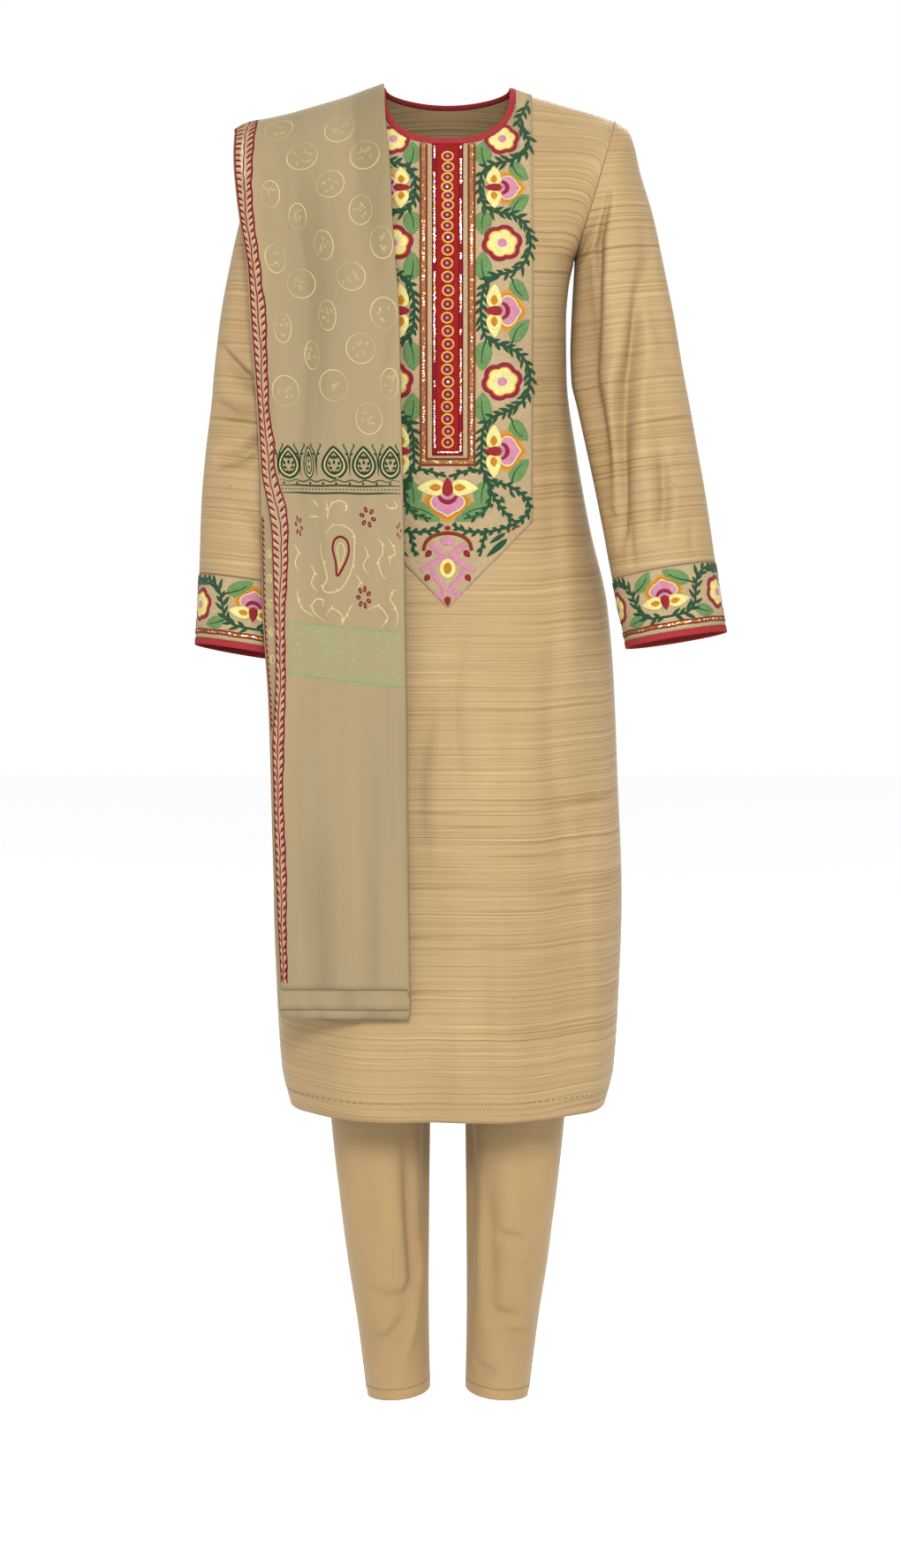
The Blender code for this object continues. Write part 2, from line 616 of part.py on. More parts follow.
def bib_bottom(x):
    """Height of the bib's pointed lower edge."""
    return BIB_POINT_Z + (BIB_CORNER_Z - BIB_POINT_Z) * abs(x) / BIB_HALF_WIDTH


def make_bib(front, normals, cotton):
    """The embroidered bib, made from the front's own rows and columns."""
    middle = front.shape[1] // 2
    half = len(FRONT_COLUMNS) - 1
    last = ARMHOLE_STEPS + 1 + BIB_STEPS
    block = front[:last, middle - half:middle + half + 1]
    block_normals = normals[:last, middle - half:middle + half + 1]
    xs = block[-1, :, 0]
    point_rows = (1 / 3, 2 / 3, 1.0)
    heights = [[BIB_CORNER_Z + share * (bib_bottom(x) - BIB_CORNER_Z) for share in point_rows]
               for x in xs[1:-1]]
    tip, tip_normals = laid_grid(front, normals, xs[1:-1], heights)
    points = [block[i, j] for i in range(last) for j in range(len(xs))]
    directions = [block_normals[i, j] for i in range(last) for j in range(len(xs))]
    cells = []
    width = len(xs)
    for i in range(last - 1):
        for j in range(width - 1):
            a = i * width + j
            cells.append((a, a + 1, a + 1 + width, a + width))
    start = len(points)
    points += [tip[i, j] for i in range(len(point_rows)) for j in range(width - 2)]
    directions += [tip_normals[i, j] for i in range(len(point_rows)) for j in range(width - 2)]
    above = [(last - 1) * width + j for j in range(1, width - 1)]
    corners = ((last - 1) * width, last * width - 1)
    for i in range(len(point_rows)):
        below = [start + i * (width - 2) + j for j in range(width - 2)]
        for j in range(width - 3):
            cells.append((above[j], above[j + 1], below[j + 1], below[j]))
        cells.append((corners[0], above[0], below[0]))
        cells.append((above[-1], corners[1], below[-1]))
        above = below
    left_side = [i * width for i in range(last)]
    right_side = [i * width + width - 1 for i in reversed(range(last))]
    top = list(reversed(range(1, width - 1)))
    edge = left_side + above + right_side + top
    loft_sheet("neck_panel", points, directions, cells, edge, cotton, TRIM_WALL, LAID_ON_GAP)


def loft_sheet(name, points, directions, cells, edge, material, thickness, gap):
    """Thicken a free-form sheet that lies a gap out from the points it is made of."""
    points = np.array(points)
    directions = np.array(directions)
    inner = points + directions * gap
    outer = points + directions * (gap + thickness)
    count = len(points)
    faces = []
    for cell in cells:
        for triangle in (cut_cell(points, *cell) if len(cell) == 4 else [cell]):
            faces.append(triangle)
            faces.append(tuple(index + count for index in reversed(triangle)))
    for a, b in zip(edge, edge[1:] + edge[:1]):
        faces.append((a, b, b + count, a + count))
    add_object(name, np.concatenate([inner, outer]), faces, material)


def make_centre_band(front, normals, red):
    """The ring-embroidered band down the middle of the bib."""
    xs = (-CENTRE_BAND_HALF, 0.0, CENTRE_BAND_HALF)
    rows = band_heights(front, CENTRE_BAND_END_Z)
    heights = [[neck_limit(x, z) for z in rows] for x in xs]
    grid, grid_normal = laid_grid(front, normals, xs, heights)
    level = LAID_ON_GAP + TRIM_WALL + LAID_ON_GAP
    wall("centre_band", grid, grid_normal, red, TRIM_WALL, level + TRIM_WALL)


def band_heights(front, end):
    """Heights down the middle column, from the neck to the band's end."""
    middle = front.shape[1] // 2
    heights = [z for z in front[:, middle, 2] if z > end + 0.004]
    return heights + [end]


def neck_limit(x, z):
    """Keep a height just under the neck's cut edge."""
    return min(z, float(neckline_z(x, -1)) - SEAM_GAP)


def make_braid(front, normals, thread):
    """The U of braid round the centre band, as three joined strips."""
    heights = band_heights(front, BRAID_END_Z + BRAID_OUTER_HALF - BRAID_INNER_HALF)
    path = []
    for sign in (-1, 1):
        leg_rows = [((sign * BRAID_OUTER_HALF, z), (sign * BRAID_INNER_HALF, z)) for z in heights[:-1]]
        path.append(leg_rows)
    inner_end = heights[-1]
    corner = [((-BRAID_OUTER_HALF, BRAID_END_Z), (-BRAID_INNER_HALF, inner_end))]
    across = [((x, BRAID_END_Z), (x, inner_end)) for x in (-CENTRE_BAND_HALF, 0.0, CENTRE_BAND_HALF)]
    far_corner = [((BRAID_OUTER_HALF, BRAID_END_Z), (BRAID_INNER_HALF, inner_end))]
    strip = path[0] + corner + across + far_corner + path[1][::-1]
    grid = np.zeros((len(strip), 2, 3))
    directions = np.zeros_like(grid)
    for i, pair in enumerate(strip):
        for j, (x, z) in enumerate(pair):
            grid[i, j], directions[i, j] = on_front(front, normals, x, neck_limit(x, z))
    level = LAID_ON_GAP + TRIM_WALL + LAID_ON_GAP
    wall("band_border", grid, directions, thread, TRIM_WALL, level + TRIM_WALL)


def neck_edge(side, places):
    """Points and normals along the neck's cut edge of one panel."""
    x = np.array(places)
    z = neckline_z(x, side)
    points = np.stack([x, side * body_depth(x, z, side), z], axis=-1)
    normals = body_normals(x, z, side)
    on_seam = np.abs(x) >= NECK_HALF_WIDTH - 1e-6
    points[on_seam, 1] = 0
    normals[on_seam, 1] = 0
    return points, unit(normals)


def make_neck_binding(red):
    """The bias binding: a flat ring just inside the neck's cut edge."""
    front = [x for x in mirrored(FRONT_COLUMNS) if abs(x) <= NECK_HALF_WIDTH]
    back = [-x for x in mirrored(BACK_COLUMNS) if abs(x) < NECK_HALF_WIDTH]
    front_edge, front_normals = neck_edge(-1, front)
    back_edge, back_normals = neck_edge(1, back)
    edge = np.concatenate([front_edge, back_edge])
    normal = np.concatenate([front_normals, back_normals])
    along = unit(np.roll(edge, -1, axis=0) - np.roll(edge, 1, axis=0))
    inward = unit(np.cross(normal, along))
    if inward[0, 0] < 0:
        inward = -inward
    near = SEAM_GAP
    far = near + NECK_BINDING_WIDTH
    high = BINDING_PROUD
    low = BINDING_PROUD - BINDING_WALL
    bevel = BINDING_WALL * 0.3
    profile = ((near, low), (near, high), (far - bevel, high), (far, high - bevel),
               (far, low + bevel), (far - bevel, low))
    rings = np.array([edge + inward * reach + normal * height for reach, height in profile])
    count = len(edge)
    faces = []
    for i in range(len(profile)):
        for j in range(count):
            k, m = (j + 1) % count, (i + 1) % len(profile)
            faces.append((i * count + j, i * count + k, m * count + k, m * count + j))
    add_object("neck_binding", rings.reshape(-1, 3), faces, red)


def mirrored(columns):
    """Where a panel's middle columns meet the neck, from side to side."""
    tops = [column.top_x for column in columns]
    return [-x for x in reversed(tops[1:])] + tops


# ---------------------------------------------------------------- sleeves
def armhole_row(row_type):
    """The sleeve's first row: the armhole of the body."""
    return row_type(0.0, SHOULDER_TIP_X, SHOULDER_TIP_Z, ARMPIT_X, ARMPIT_Z, 0.0,
                    (ARMHOLE_FRONT + ARMHOLE_BACK) / 2, 0.0)


def sleeve_grid(rows, folds, side, places):
    """Rings of a sleeve at the given places along it; side is 1 for the left."""
    sleeve = columns_of([armhole_row(SleeveRow)] + rows)
    turns = HALF_TURN * np.arange(2 * ARMHOLE_STEPS) / ARMHOLE_STEPS
    grid = np.zeros((len(places), len(turns), 3))
    front = np.sin(turns) > 0
    for i, along in enumerate(places):
        at = {name: float(curve(along)) for name, curve in sleeve.items()}
        outer = np.array([at["outer_x"], 0.0, at["outer_z"]])
        inner = np.array([at["inner_x"], 0.0, at["inner_z"]])
        centre = (outer + inner) / 2 + np.array([0.0, at["y"], 0.0])
        lean = math.radians(at["tilt"])
        forward = np.array([0.0, -math.cos(lean), math.sin(lean)])
        line = (1 + np.cos(turns)) / 2
        z = ARMPIT_Z + line * (SHOULDER_TIP_Z - ARMPIT_Z)
        rise = (z - ARMPIT_Z) / (shoulder_height(edge_x(z)) - ARMPIT_Z)
        seam = np.where(front, armhole_depth(rise, -1), -armhole_depth(rise, 1))
        seam = seam + np.where(front, 1, -1) * SEAM_GAP / 2 * (np.abs(np.sin(turns)) > 1e-6)
        oval = at["half_depth"] * np.sin(turns)
        blend = ease(along / ARMHOLE_BLEND)
        reach = seam * (1 - blend) + oval * blend
        crease = 1 + sleeve_crease(folds, np.degrees(turns), along) / at["half_depth"]
        grid[i] = (centre + np.outer(np.cos(turns) * crease, (outer - inner) / 2)
                   + np.outer(reach * crease, forward))
    grid[:, :, 0] *= side
    return grid


def sleeve_crease(folds, turns, along):
    """Depth of the sleeve's troughs and ridges round one ring."""
    total = np.zeros(len(turns))
    for fold in folds:
        share = (along - fold.start) / (fold.end - fold.start)
        strength = ease(share / FOLD_FADE) * ease((1 - share) / FOLD_FADE)
        apart = (turns - fold.turn + 180) % 360 - 180
        total += fold.depth * strength * np.exp(-(apart / fold.width) ** 2)
    return total


def make_sleeve(name, rows, folds, side, silk, cotton, red):
    """Build one sleeve, its cuff band and its binding from one run of rings."""
    first = SEAM_STEP * 2
    places = [
        list(np.linspace(0, 1, SLEEVE_STEPS + 1) ** 1.15 * (BAND_SEAM - SEAM_STEP - first) + first),
        list(np.linspace(BAND_SEAM + SEAM_STEP, BINDING_SEAM - SEAM_STEP, CUFF_STEPS + 1)),
        [BINDING_SEAM + SEAM_STEP, CUFF_END],
    ]
    grid = sleeve_grid(rows, folds, side, sum(places, []))
    middle = grid.mean(axis=1, keepdims=True)
    normals = facing(grid_normals(grid, around=True), grid, middle)
    axis = ARMHOLE_AXIS * np.array([side, 1, 1])
    into_body = np.maximum(np.sum(normals[0] * axis, axis=-1, keepdims=True), 0)
    normals[0] = unit(normals[0] - into_body * axis)
    grid[0] += axis * SEAM_GAP
    parts = (("sleeve_" + name, silk, SILK_WALL, 0.0),
             ("cuff_band_" + name, cotton, SILK_WALL, 0.0),
             ("cuff_binding_" + name, red, BINDING_WALL, BINDING_PROUD))
    start = 0
    for (part, material, thickness, out), rows_here in zip(parts, places):
        end = start + len(rows_here)
        wall(part, grid[start:end], normals[start:end], material, thickness, out, around=True)
        start = end


# ---------------------------------------------------------------- trousers
def trouser_grid(side, leg_side, heights):
    """Points of one quarter of the trousers; side -1 is the front."""
    shares = np.linspace(0, 1, TROUSER_COLUMNS + 1)
    grid = np.zeros((len(heights), len(shares), 3))
    for i, height in enumerate(heights):
        hem = TROUSER_INNER_HEM_Z - TROUSER_OUTER_HEM_DROP * (1 - shares)
        z = WAIST_Z + (hem - WAIST_Z) * height
        below = ease((CROTCH_START_Z - z) / (CROTCH_START_Z - CROTCH_END_Z))
        hip_x = hip["half_width"](z) * np.cos(shares * HALF_TURN / 2)
        hip_y = hip["front" if side < 0 else "back"](z) * np.sin(shares * HALF_TURN / 2)
        leg_x = leg["centre"](z) + leg["half_width"](z) * np.cos(shares * HALF_TURN)
        leg_y = leg["half_depth"](z) * np.sin(shares * HALF_TURN)
        x = hip_x * (1 - below) + leg_x * below
        y = hip_y * (1 - below) + leg_y * below
        grid[i, :, 0] = leg_side * np.maximum(x, SEAM_GAP)
        grid[i, :, 1] = side * (y + SEAM_GAP / 2)
        grid[i, :, 2] = z
    return grid


def make_trousers(satin):
    """Build the four leg panels and the waistband."""
    heights = np.linspace(0, 1, TROUSER_STEPS + 1)
    for leg_side, leg_name in ((1, "left"), (-1, "right")):
        for side, side_name in ((-1, "front"), (1, "back")):
            grid = trouser_grid(side, leg_side, heights)
            low = ease((CROTCH_START_Z - grid[:, :, 2:]) / (CROTCH_START_Z - CROTCH_END_Z))
            centre = grid * np.array([0, 0, 1.0])
            centre[:, :, 0] = leg_side * leg["centre"](grid[:, :, 2]) * low[:, :, 0]
            normals = facing(grid_normals(grid), grid, centre)
            normals[:, 0, 1] = 0
            across_seam = unit(np.concatenate(
                [1 - low[:, -1], low[:, -1], np.zeros_like(low[:, -1])], axis=-1))
            slip = np.sum(normals[:, -1] * across_seam, axis=-1, keepdims=True)
            normals[:, -1] -= slip * across_seam
            normals = unit(normals)
            wall(f"trouser_{side_name}_{leg_name}", grid, normals, satin, TROUSER_WALL)
    turns = 2 * HALF_TURN * np.arange(4 * TROUSER_COLUMNS) / (4 * TROUSER_COLUMNS)
    band_rows = np.linspace(WAISTBAND_TOP_Z, WAIST_Z + SEAM_GAP, 3)
    grid = np.zeros((len(band_rows), len(turns), 3))
    for i, z in enumerate(band_rows):
        depth = np.where(np.sin(turns) < 0, hip["front"](z), hip["back"](z))
        grid[i, :, 0] = hip["half_width"](z) * np.cos(turns)
        grid[i, :, 1] = depth * np.sin(turns)
        grid[i, :, 2] = z
    normals = facing(grid_normals(grid, around=True), grid, grid * np.array([0, 0, 1.0]))
    normals[:, :, 2] = 0
    wall("trouser_waistband", grid, unit(normals), satin, BINDING_WALL, BINDING_PROUD, around=True)


# ---------------------------------------------------------------- dupatta
def drape_top(x):
    """Height of the dupatta's inner face where it crosses the shoulder."""
    reach = np.abs(x)
    on_cloth = shoulder_height(np.minimum(reach, DRAPE_TIP_X))
    past_tip = DRAPE_TIP_SLOPE * np.maximum(reach - DRAPE_TIP_X, 0)
    edge = DRAPE_EDGE_DROP * np.maximum(reach - DRAPE_EDGE_DROP_X, 0) ** 2
    lift = DRAPE_NECK_LIFT * (1 - ease((reach - DRAPE_LIFT_START_X)
                                       / (DRAPE_LIFT_END_X - DRAPE_LIFT_START_X)))
    return on_cloth - past_tip - edge + DRAPE_CLEAR + lift


def drape_point(share, angle, fall, side, fall_z=None):
    """Point on the dupatta's inner face.

    share runs from its outer edge (0) to the edge by the neck (1). The angle is 0
    on top of the shoulder and 90 degrees where the fall hangs free; lower points
    are given by fall_z.
    """
    low = ARMPIT_Z
    if fall_z is None:
        guess_z = np.full(np.shape(share), low + (drape_top(0.14) - low) * math.cos(angle))
    else:
        guess_z = fall_z
    outer = fall["arm_x"](guess_z)
    inner = fall["neck_x"](guess_z)
    x = outer + share * (inner - outer)
    if fall_z is None:
        z = low + (drape_top(x) - low) * math.cos(angle)
        dome = math.sin(angle)
    else:
        z = fall_z
        dome = 1.0
    across = ease((x - DRAPE_NECK_X) / (DRAPE_ARM_X - DRAPE_NECK_X))
    depth = fall["neck_depth"](z) * (1 - across) + fall["arm_depth"](z) * across
    depth = depth * dome ** (1 - DRAPE_FULLNESS * across)
    cloth = body_depth(np.minimum(x, DRAPE_EDGE_SHARE * edge_x(z)), z, side) + DRAPE_CLEAR
    depth = np.where(z > ARMPIT_Z, np.maximum(depth, cloth * (dome > 0)), depth)
    return np.stack([-x, side * depth, z], axis=-1)


def strip_places():
    """Across the strip: layer number, share of the width and turning share."""
    places = []
    for layer in range(DUPATTA_LAYERS - 1, -1, -1):
        cells = list(LAYER_CELLS)
        rightwards = (DUPATTA_LAYERS - 1 - layer) % 2 == 0
        if not rightwards:
            cells = cells[::-1]
        for share in cells:
            places.append((float(layer), share))
        if layer > 0:
            turn_share = cells[-1]
            places.append((layer - 0.5, turn_share))
    return places


def dupatta_rows():
    """Rows of the whole drape, from the front end over the shoulder to the back end."""
    rows = []
    for step in range(FALL_STEPS):
        rows.append(("front", 1 - step / FALL_STEPS, None))
    front_angles = np.linspace(90, SHOULDER_FRONT_ANGLE, 3)[:-1]
    shoulder = np.linspace(SHOULDER_FRONT_ANGLE, -SHOULDER_BACK_ANGLE, SHOULDER_STEPS + 1)
    back_angles = np.linspace(-SHOULDER_BACK_ANGLE, -90, 3)[1:]
    for angle in np.concatenate([front_angles, shoulder, back_angles]):
        rows.append(("arc", None, math.radians(angle)))
    for step in range(1, BACK_STEPS + 1):
        rows.append(("back", step / BACK_STEPS, None))
    return rows


def dupatta_grid():
    """Middle surface of the folded sheet, as rows along it and places across it."""
    places = strip_places()
    rows = dupatta_rows()
    shares = np.array(LAYER_CELLS)
    layers = np.array([layer for layer, _ in places])
    share_of = np.array([share for _, share in places])
    grid = np.zeros((len(rows), len(places), 3))
    base = {}
    for layer in range(DUPATTA_LAYERS):
        master = np.zeros((len(rows), len(shares), 3))
        for i, (kind, step, angle) in enumerate(rows):
            if kind == "arc":
                fall, side = (front_fall, -1) if angle > 0 else (back_fall, 1)
                master[i] = drape_point(shares, abs(angle), fall, side)
            else:
                fall, side, ends = ((front_fall, -1, LAYER_END_Z) if kind == "front"
                                    else (back_fall, 1, BACK_END_Z))
                z = np.full(len(shares), ARMPIT_Z + step * (ends[layer] - ARMPIT_Z))
                master[i] = drape_point(shares, None, fall, side, z)
        normals = facing(grid_normals(master), master, DRAPE_MIDDLE)
        base[layer] = (master, normals)
    ends_at = np.array([1.0 if kind != "arc" else 0.0 for kind, _, _ in rows])
    for i, (kind, step, angle) in enumerate(rows):
        spread = ends_at[i] * (step or 0.0)
        pitch = LAYER_PITCH_TOP + (LAYER_PITCH_END - LAYER_PITCH_TOP) * spread
        for j, (layer, share) in enumerate(places):
            grid[i, j] = layer_point(base, i, layer, share, pitch, kind)
    return grid


def layer_point(base, i, layer, share, pitch, kind):
    """One point of the folded sheet: in a layer, or out on a turn between two."""
    height = DUPATTA_WALL / 2 + layer * pitch
    low, high = base[int(math.floor(layer))], base[int(math.ceil(layer))]
    master = (low[0][i] + high[0][i]) / 2
    normals = unit(low[1][i] + high[1][i])
    width = np.linalg.norm(master[-1] - master[0])
    tuck = (pitch / 2 + 0.0004) / width
    place = share
    if layer == int(layer):
        place = min(max(share, tuck), 1 - tuck)
        if layer == DUPATTA_LAYERS - 1 and share == 0.0 and kind == "front":
            place = max(place, float(top_layer_edge(master[0][2])) / width)
            place = min(place, LAYER_CELLS[1] - tuck)
    point = [np.interp(place, LAYER_CELLS, master[:, axis]) for axis in range(3)]
    normal = unit(np.array([np.interp(place, LAYER_CELLS, normals[:, axis]) for axis in range(3)]))
    return np.array(point) + normal * height


def make_dupatta(chiffon):
    """Split the folded sheet into its three stretches."""
    grid = dupatta_grid()
    normals = grid_normals(grid)
    arc_start = FALL_STEPS + 2
    arc_end = arc_start + SHOULDER_STEPS
    stretches = (("dupatta_front", 0, arc_start), ("dupatta_shoulder", arc_start, arc_end),
                 ("dupatta_back", arc_end, len(grid) - 1))
    for name, start, end in stretches:
        rows = grid[start:end + 1].copy()
        directions = normals[start:end + 1]
        if start > 0:
            rows[0] += unit(rows[1] - rows[0]) * SEAM_GAP / 2
        if end < len(grid) - 1:
            rows[-1] += unit(rows[-2] - rows[-1]) * SEAM_GAP / 2
        wall(name, rows, directions, chiffon, DUPATTA_WALL, DUPATTA_WALL / 2)


# ---------------------------------------------------------------- assembly
for old in list(bpy.data.objects):
    bpy.data.objects.remove(old, do_unlink=True)
suit = bpy.data.collections.new("salwar_kameez_suit")
bpy.context.scene.collection.children.link(suit)
cloth = {name: make_material(name) for name in MATERIALS}

front_points, front_directions = make_body_panels(cloth["raw_silk"])
make_bib(front_points, front_directions, cloth["bib_cotton"])
make_centre_band(front_points, front_directions, cloth["red_band"])
make_braid(front_points, front_directions, cloth["braid"])
make_neck_binding(cloth["red_binding"])
make_sleeve("left", LEFT_SLEEVE, LEFT_SLEEVE_FOLDS, 1,
            cloth["raw_silk"], cloth["bib_cotton"], cloth["red_binding"])
make_sleeve("right", RIGHT_SLEEVE, RIGHT_SLEEVE_FOLDS, -1,
            cloth["raw_silk"], cloth["bib_cotton"], cloth["red_binding"])
make_trousers(cloth["trouser_satin"])
make_dupatta(cloth["chiffon"])
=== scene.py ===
"""Salwar kameez suit: a raw silk kameez, tapered trousers and a folded dupatta.

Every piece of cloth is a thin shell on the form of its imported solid. Embroidery
and prints are drawn in each cloth's own coordinates and laid on it.
"""
import math
from collections import namedtuple

import bpy
import numpy as np
from bpy.props import FloatProperty, FloatVectorProperty, IntProperty, PointerProperty
from bpy.types import Operator, Panel, PropertyGroup
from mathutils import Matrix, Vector


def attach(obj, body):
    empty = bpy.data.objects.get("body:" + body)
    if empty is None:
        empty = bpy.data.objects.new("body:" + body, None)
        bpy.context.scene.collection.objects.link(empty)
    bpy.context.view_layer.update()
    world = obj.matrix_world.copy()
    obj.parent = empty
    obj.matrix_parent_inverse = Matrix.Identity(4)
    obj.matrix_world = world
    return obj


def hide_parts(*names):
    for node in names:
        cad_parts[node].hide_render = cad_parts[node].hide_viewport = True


bl_info = {
    "name": "Salwar Kameez Suit",
    "version": (1, 0, 0),
    "blender": (4, 5, 0),
    "location": "View3D > Sidebar > Suit",
    "description": "Builds the cloth, embroidery and prints of a salwar kameez suit",
    "category": "Object",
}

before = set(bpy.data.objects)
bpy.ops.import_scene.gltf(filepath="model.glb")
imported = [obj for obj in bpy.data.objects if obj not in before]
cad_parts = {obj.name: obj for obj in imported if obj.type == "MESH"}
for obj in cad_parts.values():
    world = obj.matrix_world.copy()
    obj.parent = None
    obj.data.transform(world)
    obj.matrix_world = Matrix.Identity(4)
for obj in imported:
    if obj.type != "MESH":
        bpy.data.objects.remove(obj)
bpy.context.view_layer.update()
FLOOR_Z = -1.50

# ---------------------------------------------------------------- driving sizes
HALF_TURN = math.pi
FULL_TURN = 2 * HALF_TURN
QUARTER_TURN = HALF_TURN / 2
FRONT, BACK = -1, 1          # side of the seam plane that a panel lies on
SEAM_GAP = 0.0003
SLOPE_STEP = 0.0001
FOLD_FADE = 0.35             # share of a fold over which it rises and dies away
SEAM_CALM = 0.12             # share of the width where folds die away at a seam
TOP_CALM = 0.2               # share of the armhole where creases die away at the top
CREASE_BOW = 0.05            # a crease bends aside by this share of its length
CREASE_END = 0.35            # share of a crease's depth that is left at its ends
CREASE_POWER = 0.7           # how fast creases and troughs deepen from their ends
TROUGH_POWER = 0.6
TROUGH_TIP = 0.02            # the depth at this share of a trough goes on to its tips
SAME_PLACE = 1e-6

NECK_HALF_WIDTH = 0.0707
NECK_FRONT_DEPTH = 0.0612
NECK_BACK_DEPTH = 0.018
NECK_FRONT_POWER = 2.5
NECK_BACK_POWER = 2.0
NECK_BINDING_WIDTH = 0.0062
SHOULDER_SLOPE = 0.2944
NECK_RISE = 0.05
NECK_SPREAD = 0.035
SHOULDER_TIP_X = 0.176
ARMPIT_X = 0.134
ARMPIT_Z = -0.176
ARMHOLE_FRONT = 0.055
ARMHOLE_BACK = 0.058
ARMHOLE_SOFTNESS = 5.0
ARMHOLE_FILL_HEIGHT = 0.4
BODY_POWER = 2.4
HEM_Z = -1.078
SLIT_TOP_Z = -0.62
SLIT_HALF_GAP = 0.004

BIB_HALF_WIDTH = 0.088
BIB_CORNER_Z = -0.450
BIB_POINT_Z = -0.5385
CENTRE_BAND_HALF = 0.0160
CENTRE_BAND_END_Z = -0.381
BRAID_INNER_HALF = 0.0205
BRAID_OUTER_HALF = 0.0285
BRAID_END_Z = -0.3915
HEM_TURN = 0.020
TROUSER_HEM = 0.012

# Walls, and how far the inner face of what lies on the front stands off it.
BIB_SHELL = 0.0005
BRAID_SHELL = 0.0006
BINDING_SHELL = 0.0014
DUPATTA_WALL = 0.0005
BIB_LIFT = 0.0009
BAND_LIFT = 0.0015
BRAID_LIFT = 0.0017
NECK_EDGE_CLEAR = 0.0012     # the panel's needlework stays this far under the neck's edge

BodyRow = namedtuple("BodyRow", "z half_width front back")
BODY = [
    BodyRow(0.020, 0.1860, 0.080, 0.052),
    BodyRow(-0.030, 0.1760, 0.085, 0.068),
    BodyRow(-0.090, 0.1580, 0.092, 0.086),
    BodyRow(-0.130, 0.1470, 0.101, 0.092),
    BodyRow(-0.176, 0.1340, 0.111, 0.092),
    BodyRow(-0.205, 0.1275, 0.117, 0.088),
    BodyRow(-0.240, 0.1248, 0.119, 0.084),
    BodyRow(-0.300, 0.1256, 0.114, 0.078),
    BodyRow(-0.380, 0.1362, 0.107, 0.080),
    BodyRow(-0.460, 0.1510, 0.106, 0.098),
    BodyRow(-0.540, 0.1695, 0.110, 0.116),
    BodyRow(-0.620, 0.1770, 0.113, 0.123),
    BodyRow(-0.720, 0.1815, 0.116, 0.124),
    BodyRow(-0.860, 0.1868, 0.122, 0.123),
    BodyRow(-0.960, 0.1840, 0.126, 0.121),
    BodyRow(-1.040, 0.1790, 0.130, 0.119),
    BodyRow(-1.078, 0.1705, 0.130, 0.117),
]

# Where a column of the front panel meets the neck or shoulder, for where it runs
# below the armpit.
ColumnLean = namedtuple("ColumnLean", "low_x top_x")
COLUMN_LEAN = [
    ColumnLean(0.0, 0.0),
    ColumnLean(0.0160, 0.0160),
    ColumnLean(0.0285, 0.0285),
    ColumnLean(0.0420, 0.0460),
    ColumnLean(0.0530, 0.0600),
    ColumnLean(0.0620, 0.0675),
    ColumnLean(0.0700, 0.0699),
    ColumnLean(0.0760, 0.07055),
    ColumnLean(0.0820, 0.0707),
    ColumnLean(0.0880, 0.0880),
]
NECK_SIDE_LOW_X = 0.0820     # the column that runs up to the neck's side

# A fold runs from (x_top, z_top) to (x_bottom, z_bottom); a positive depth is a
# ridge standing out, a negative one a trough. A fold that ends at the hem is open.
Fold = namedtuple("Fold", "x_top x_bottom z_top z_bottom width depth")
FRONT_FOLDS = [
    Fold(0.100, 0.118, -0.215, -0.560, 0.013, -0.0045),
    Fold(0.112, 0.140, -0.330, -0.700, 0.014, 0.0035),
    Fold(-0.100, -0.115, -0.230, -0.600, 0.014, -0.0040),
    Fold(0.050, 0.062, -0.600, HEM_Z, 0.026, 0.0050),
    Fold(0.118, 0.128, -0.700, HEM_Z, 0.020, -0.0045),
    Fold(-0.020, -0.018, -0.720, HEM_Z, 0.024, -0.0045),
    Fold(-0.082, -0.092, -0.680, HEM_Z, 0.024, 0.0045),
    Fold(-0.135, -0.146, -0.780, HEM_Z, 0.018, -0.0040),
    Fold(0.155, 0.164, -0.820, HEM_Z, 0.014, 0.0040),
    Fold(0.012, 0.014, -0.940, HEM_Z, 0.011, 0.0012),
    Fold(0.086, 0.090, -0.960, HEM_Z, 0.010, -0.0014),
    Fold(-0.052, -0.056, -0.930, HEM_Z, 0.011, 0.0013),
]
BACK_FOLDS = [
    Fold(0.070, 0.058, -0.240, -0.520, 0.020, -0.0050),
    Fold(-0.074, -0.060, -0.260, -0.540, 0.022, -0.0045),
    Fold(0.000, 0.004, -0.300, -0.500, 0.024, 0.0040),
    Fold(0.100, 0.112, -0.640, HEM_Z, 0.024, 0.0050),
    Fold(0.036, 0.044, -0.700, HEM_Z, 0.024, -0.0050),
    Fold(-0.030, -0.026, -0.660, HEM_Z, 0.026, 0.0050),
    Fold(-0.096, -0.106, -0.740, HEM_Z, 0.022, -0.0050),
    Fold(-0.148, -0.156, -0.800, HEM_Z, 0.016, 0.0040),
]

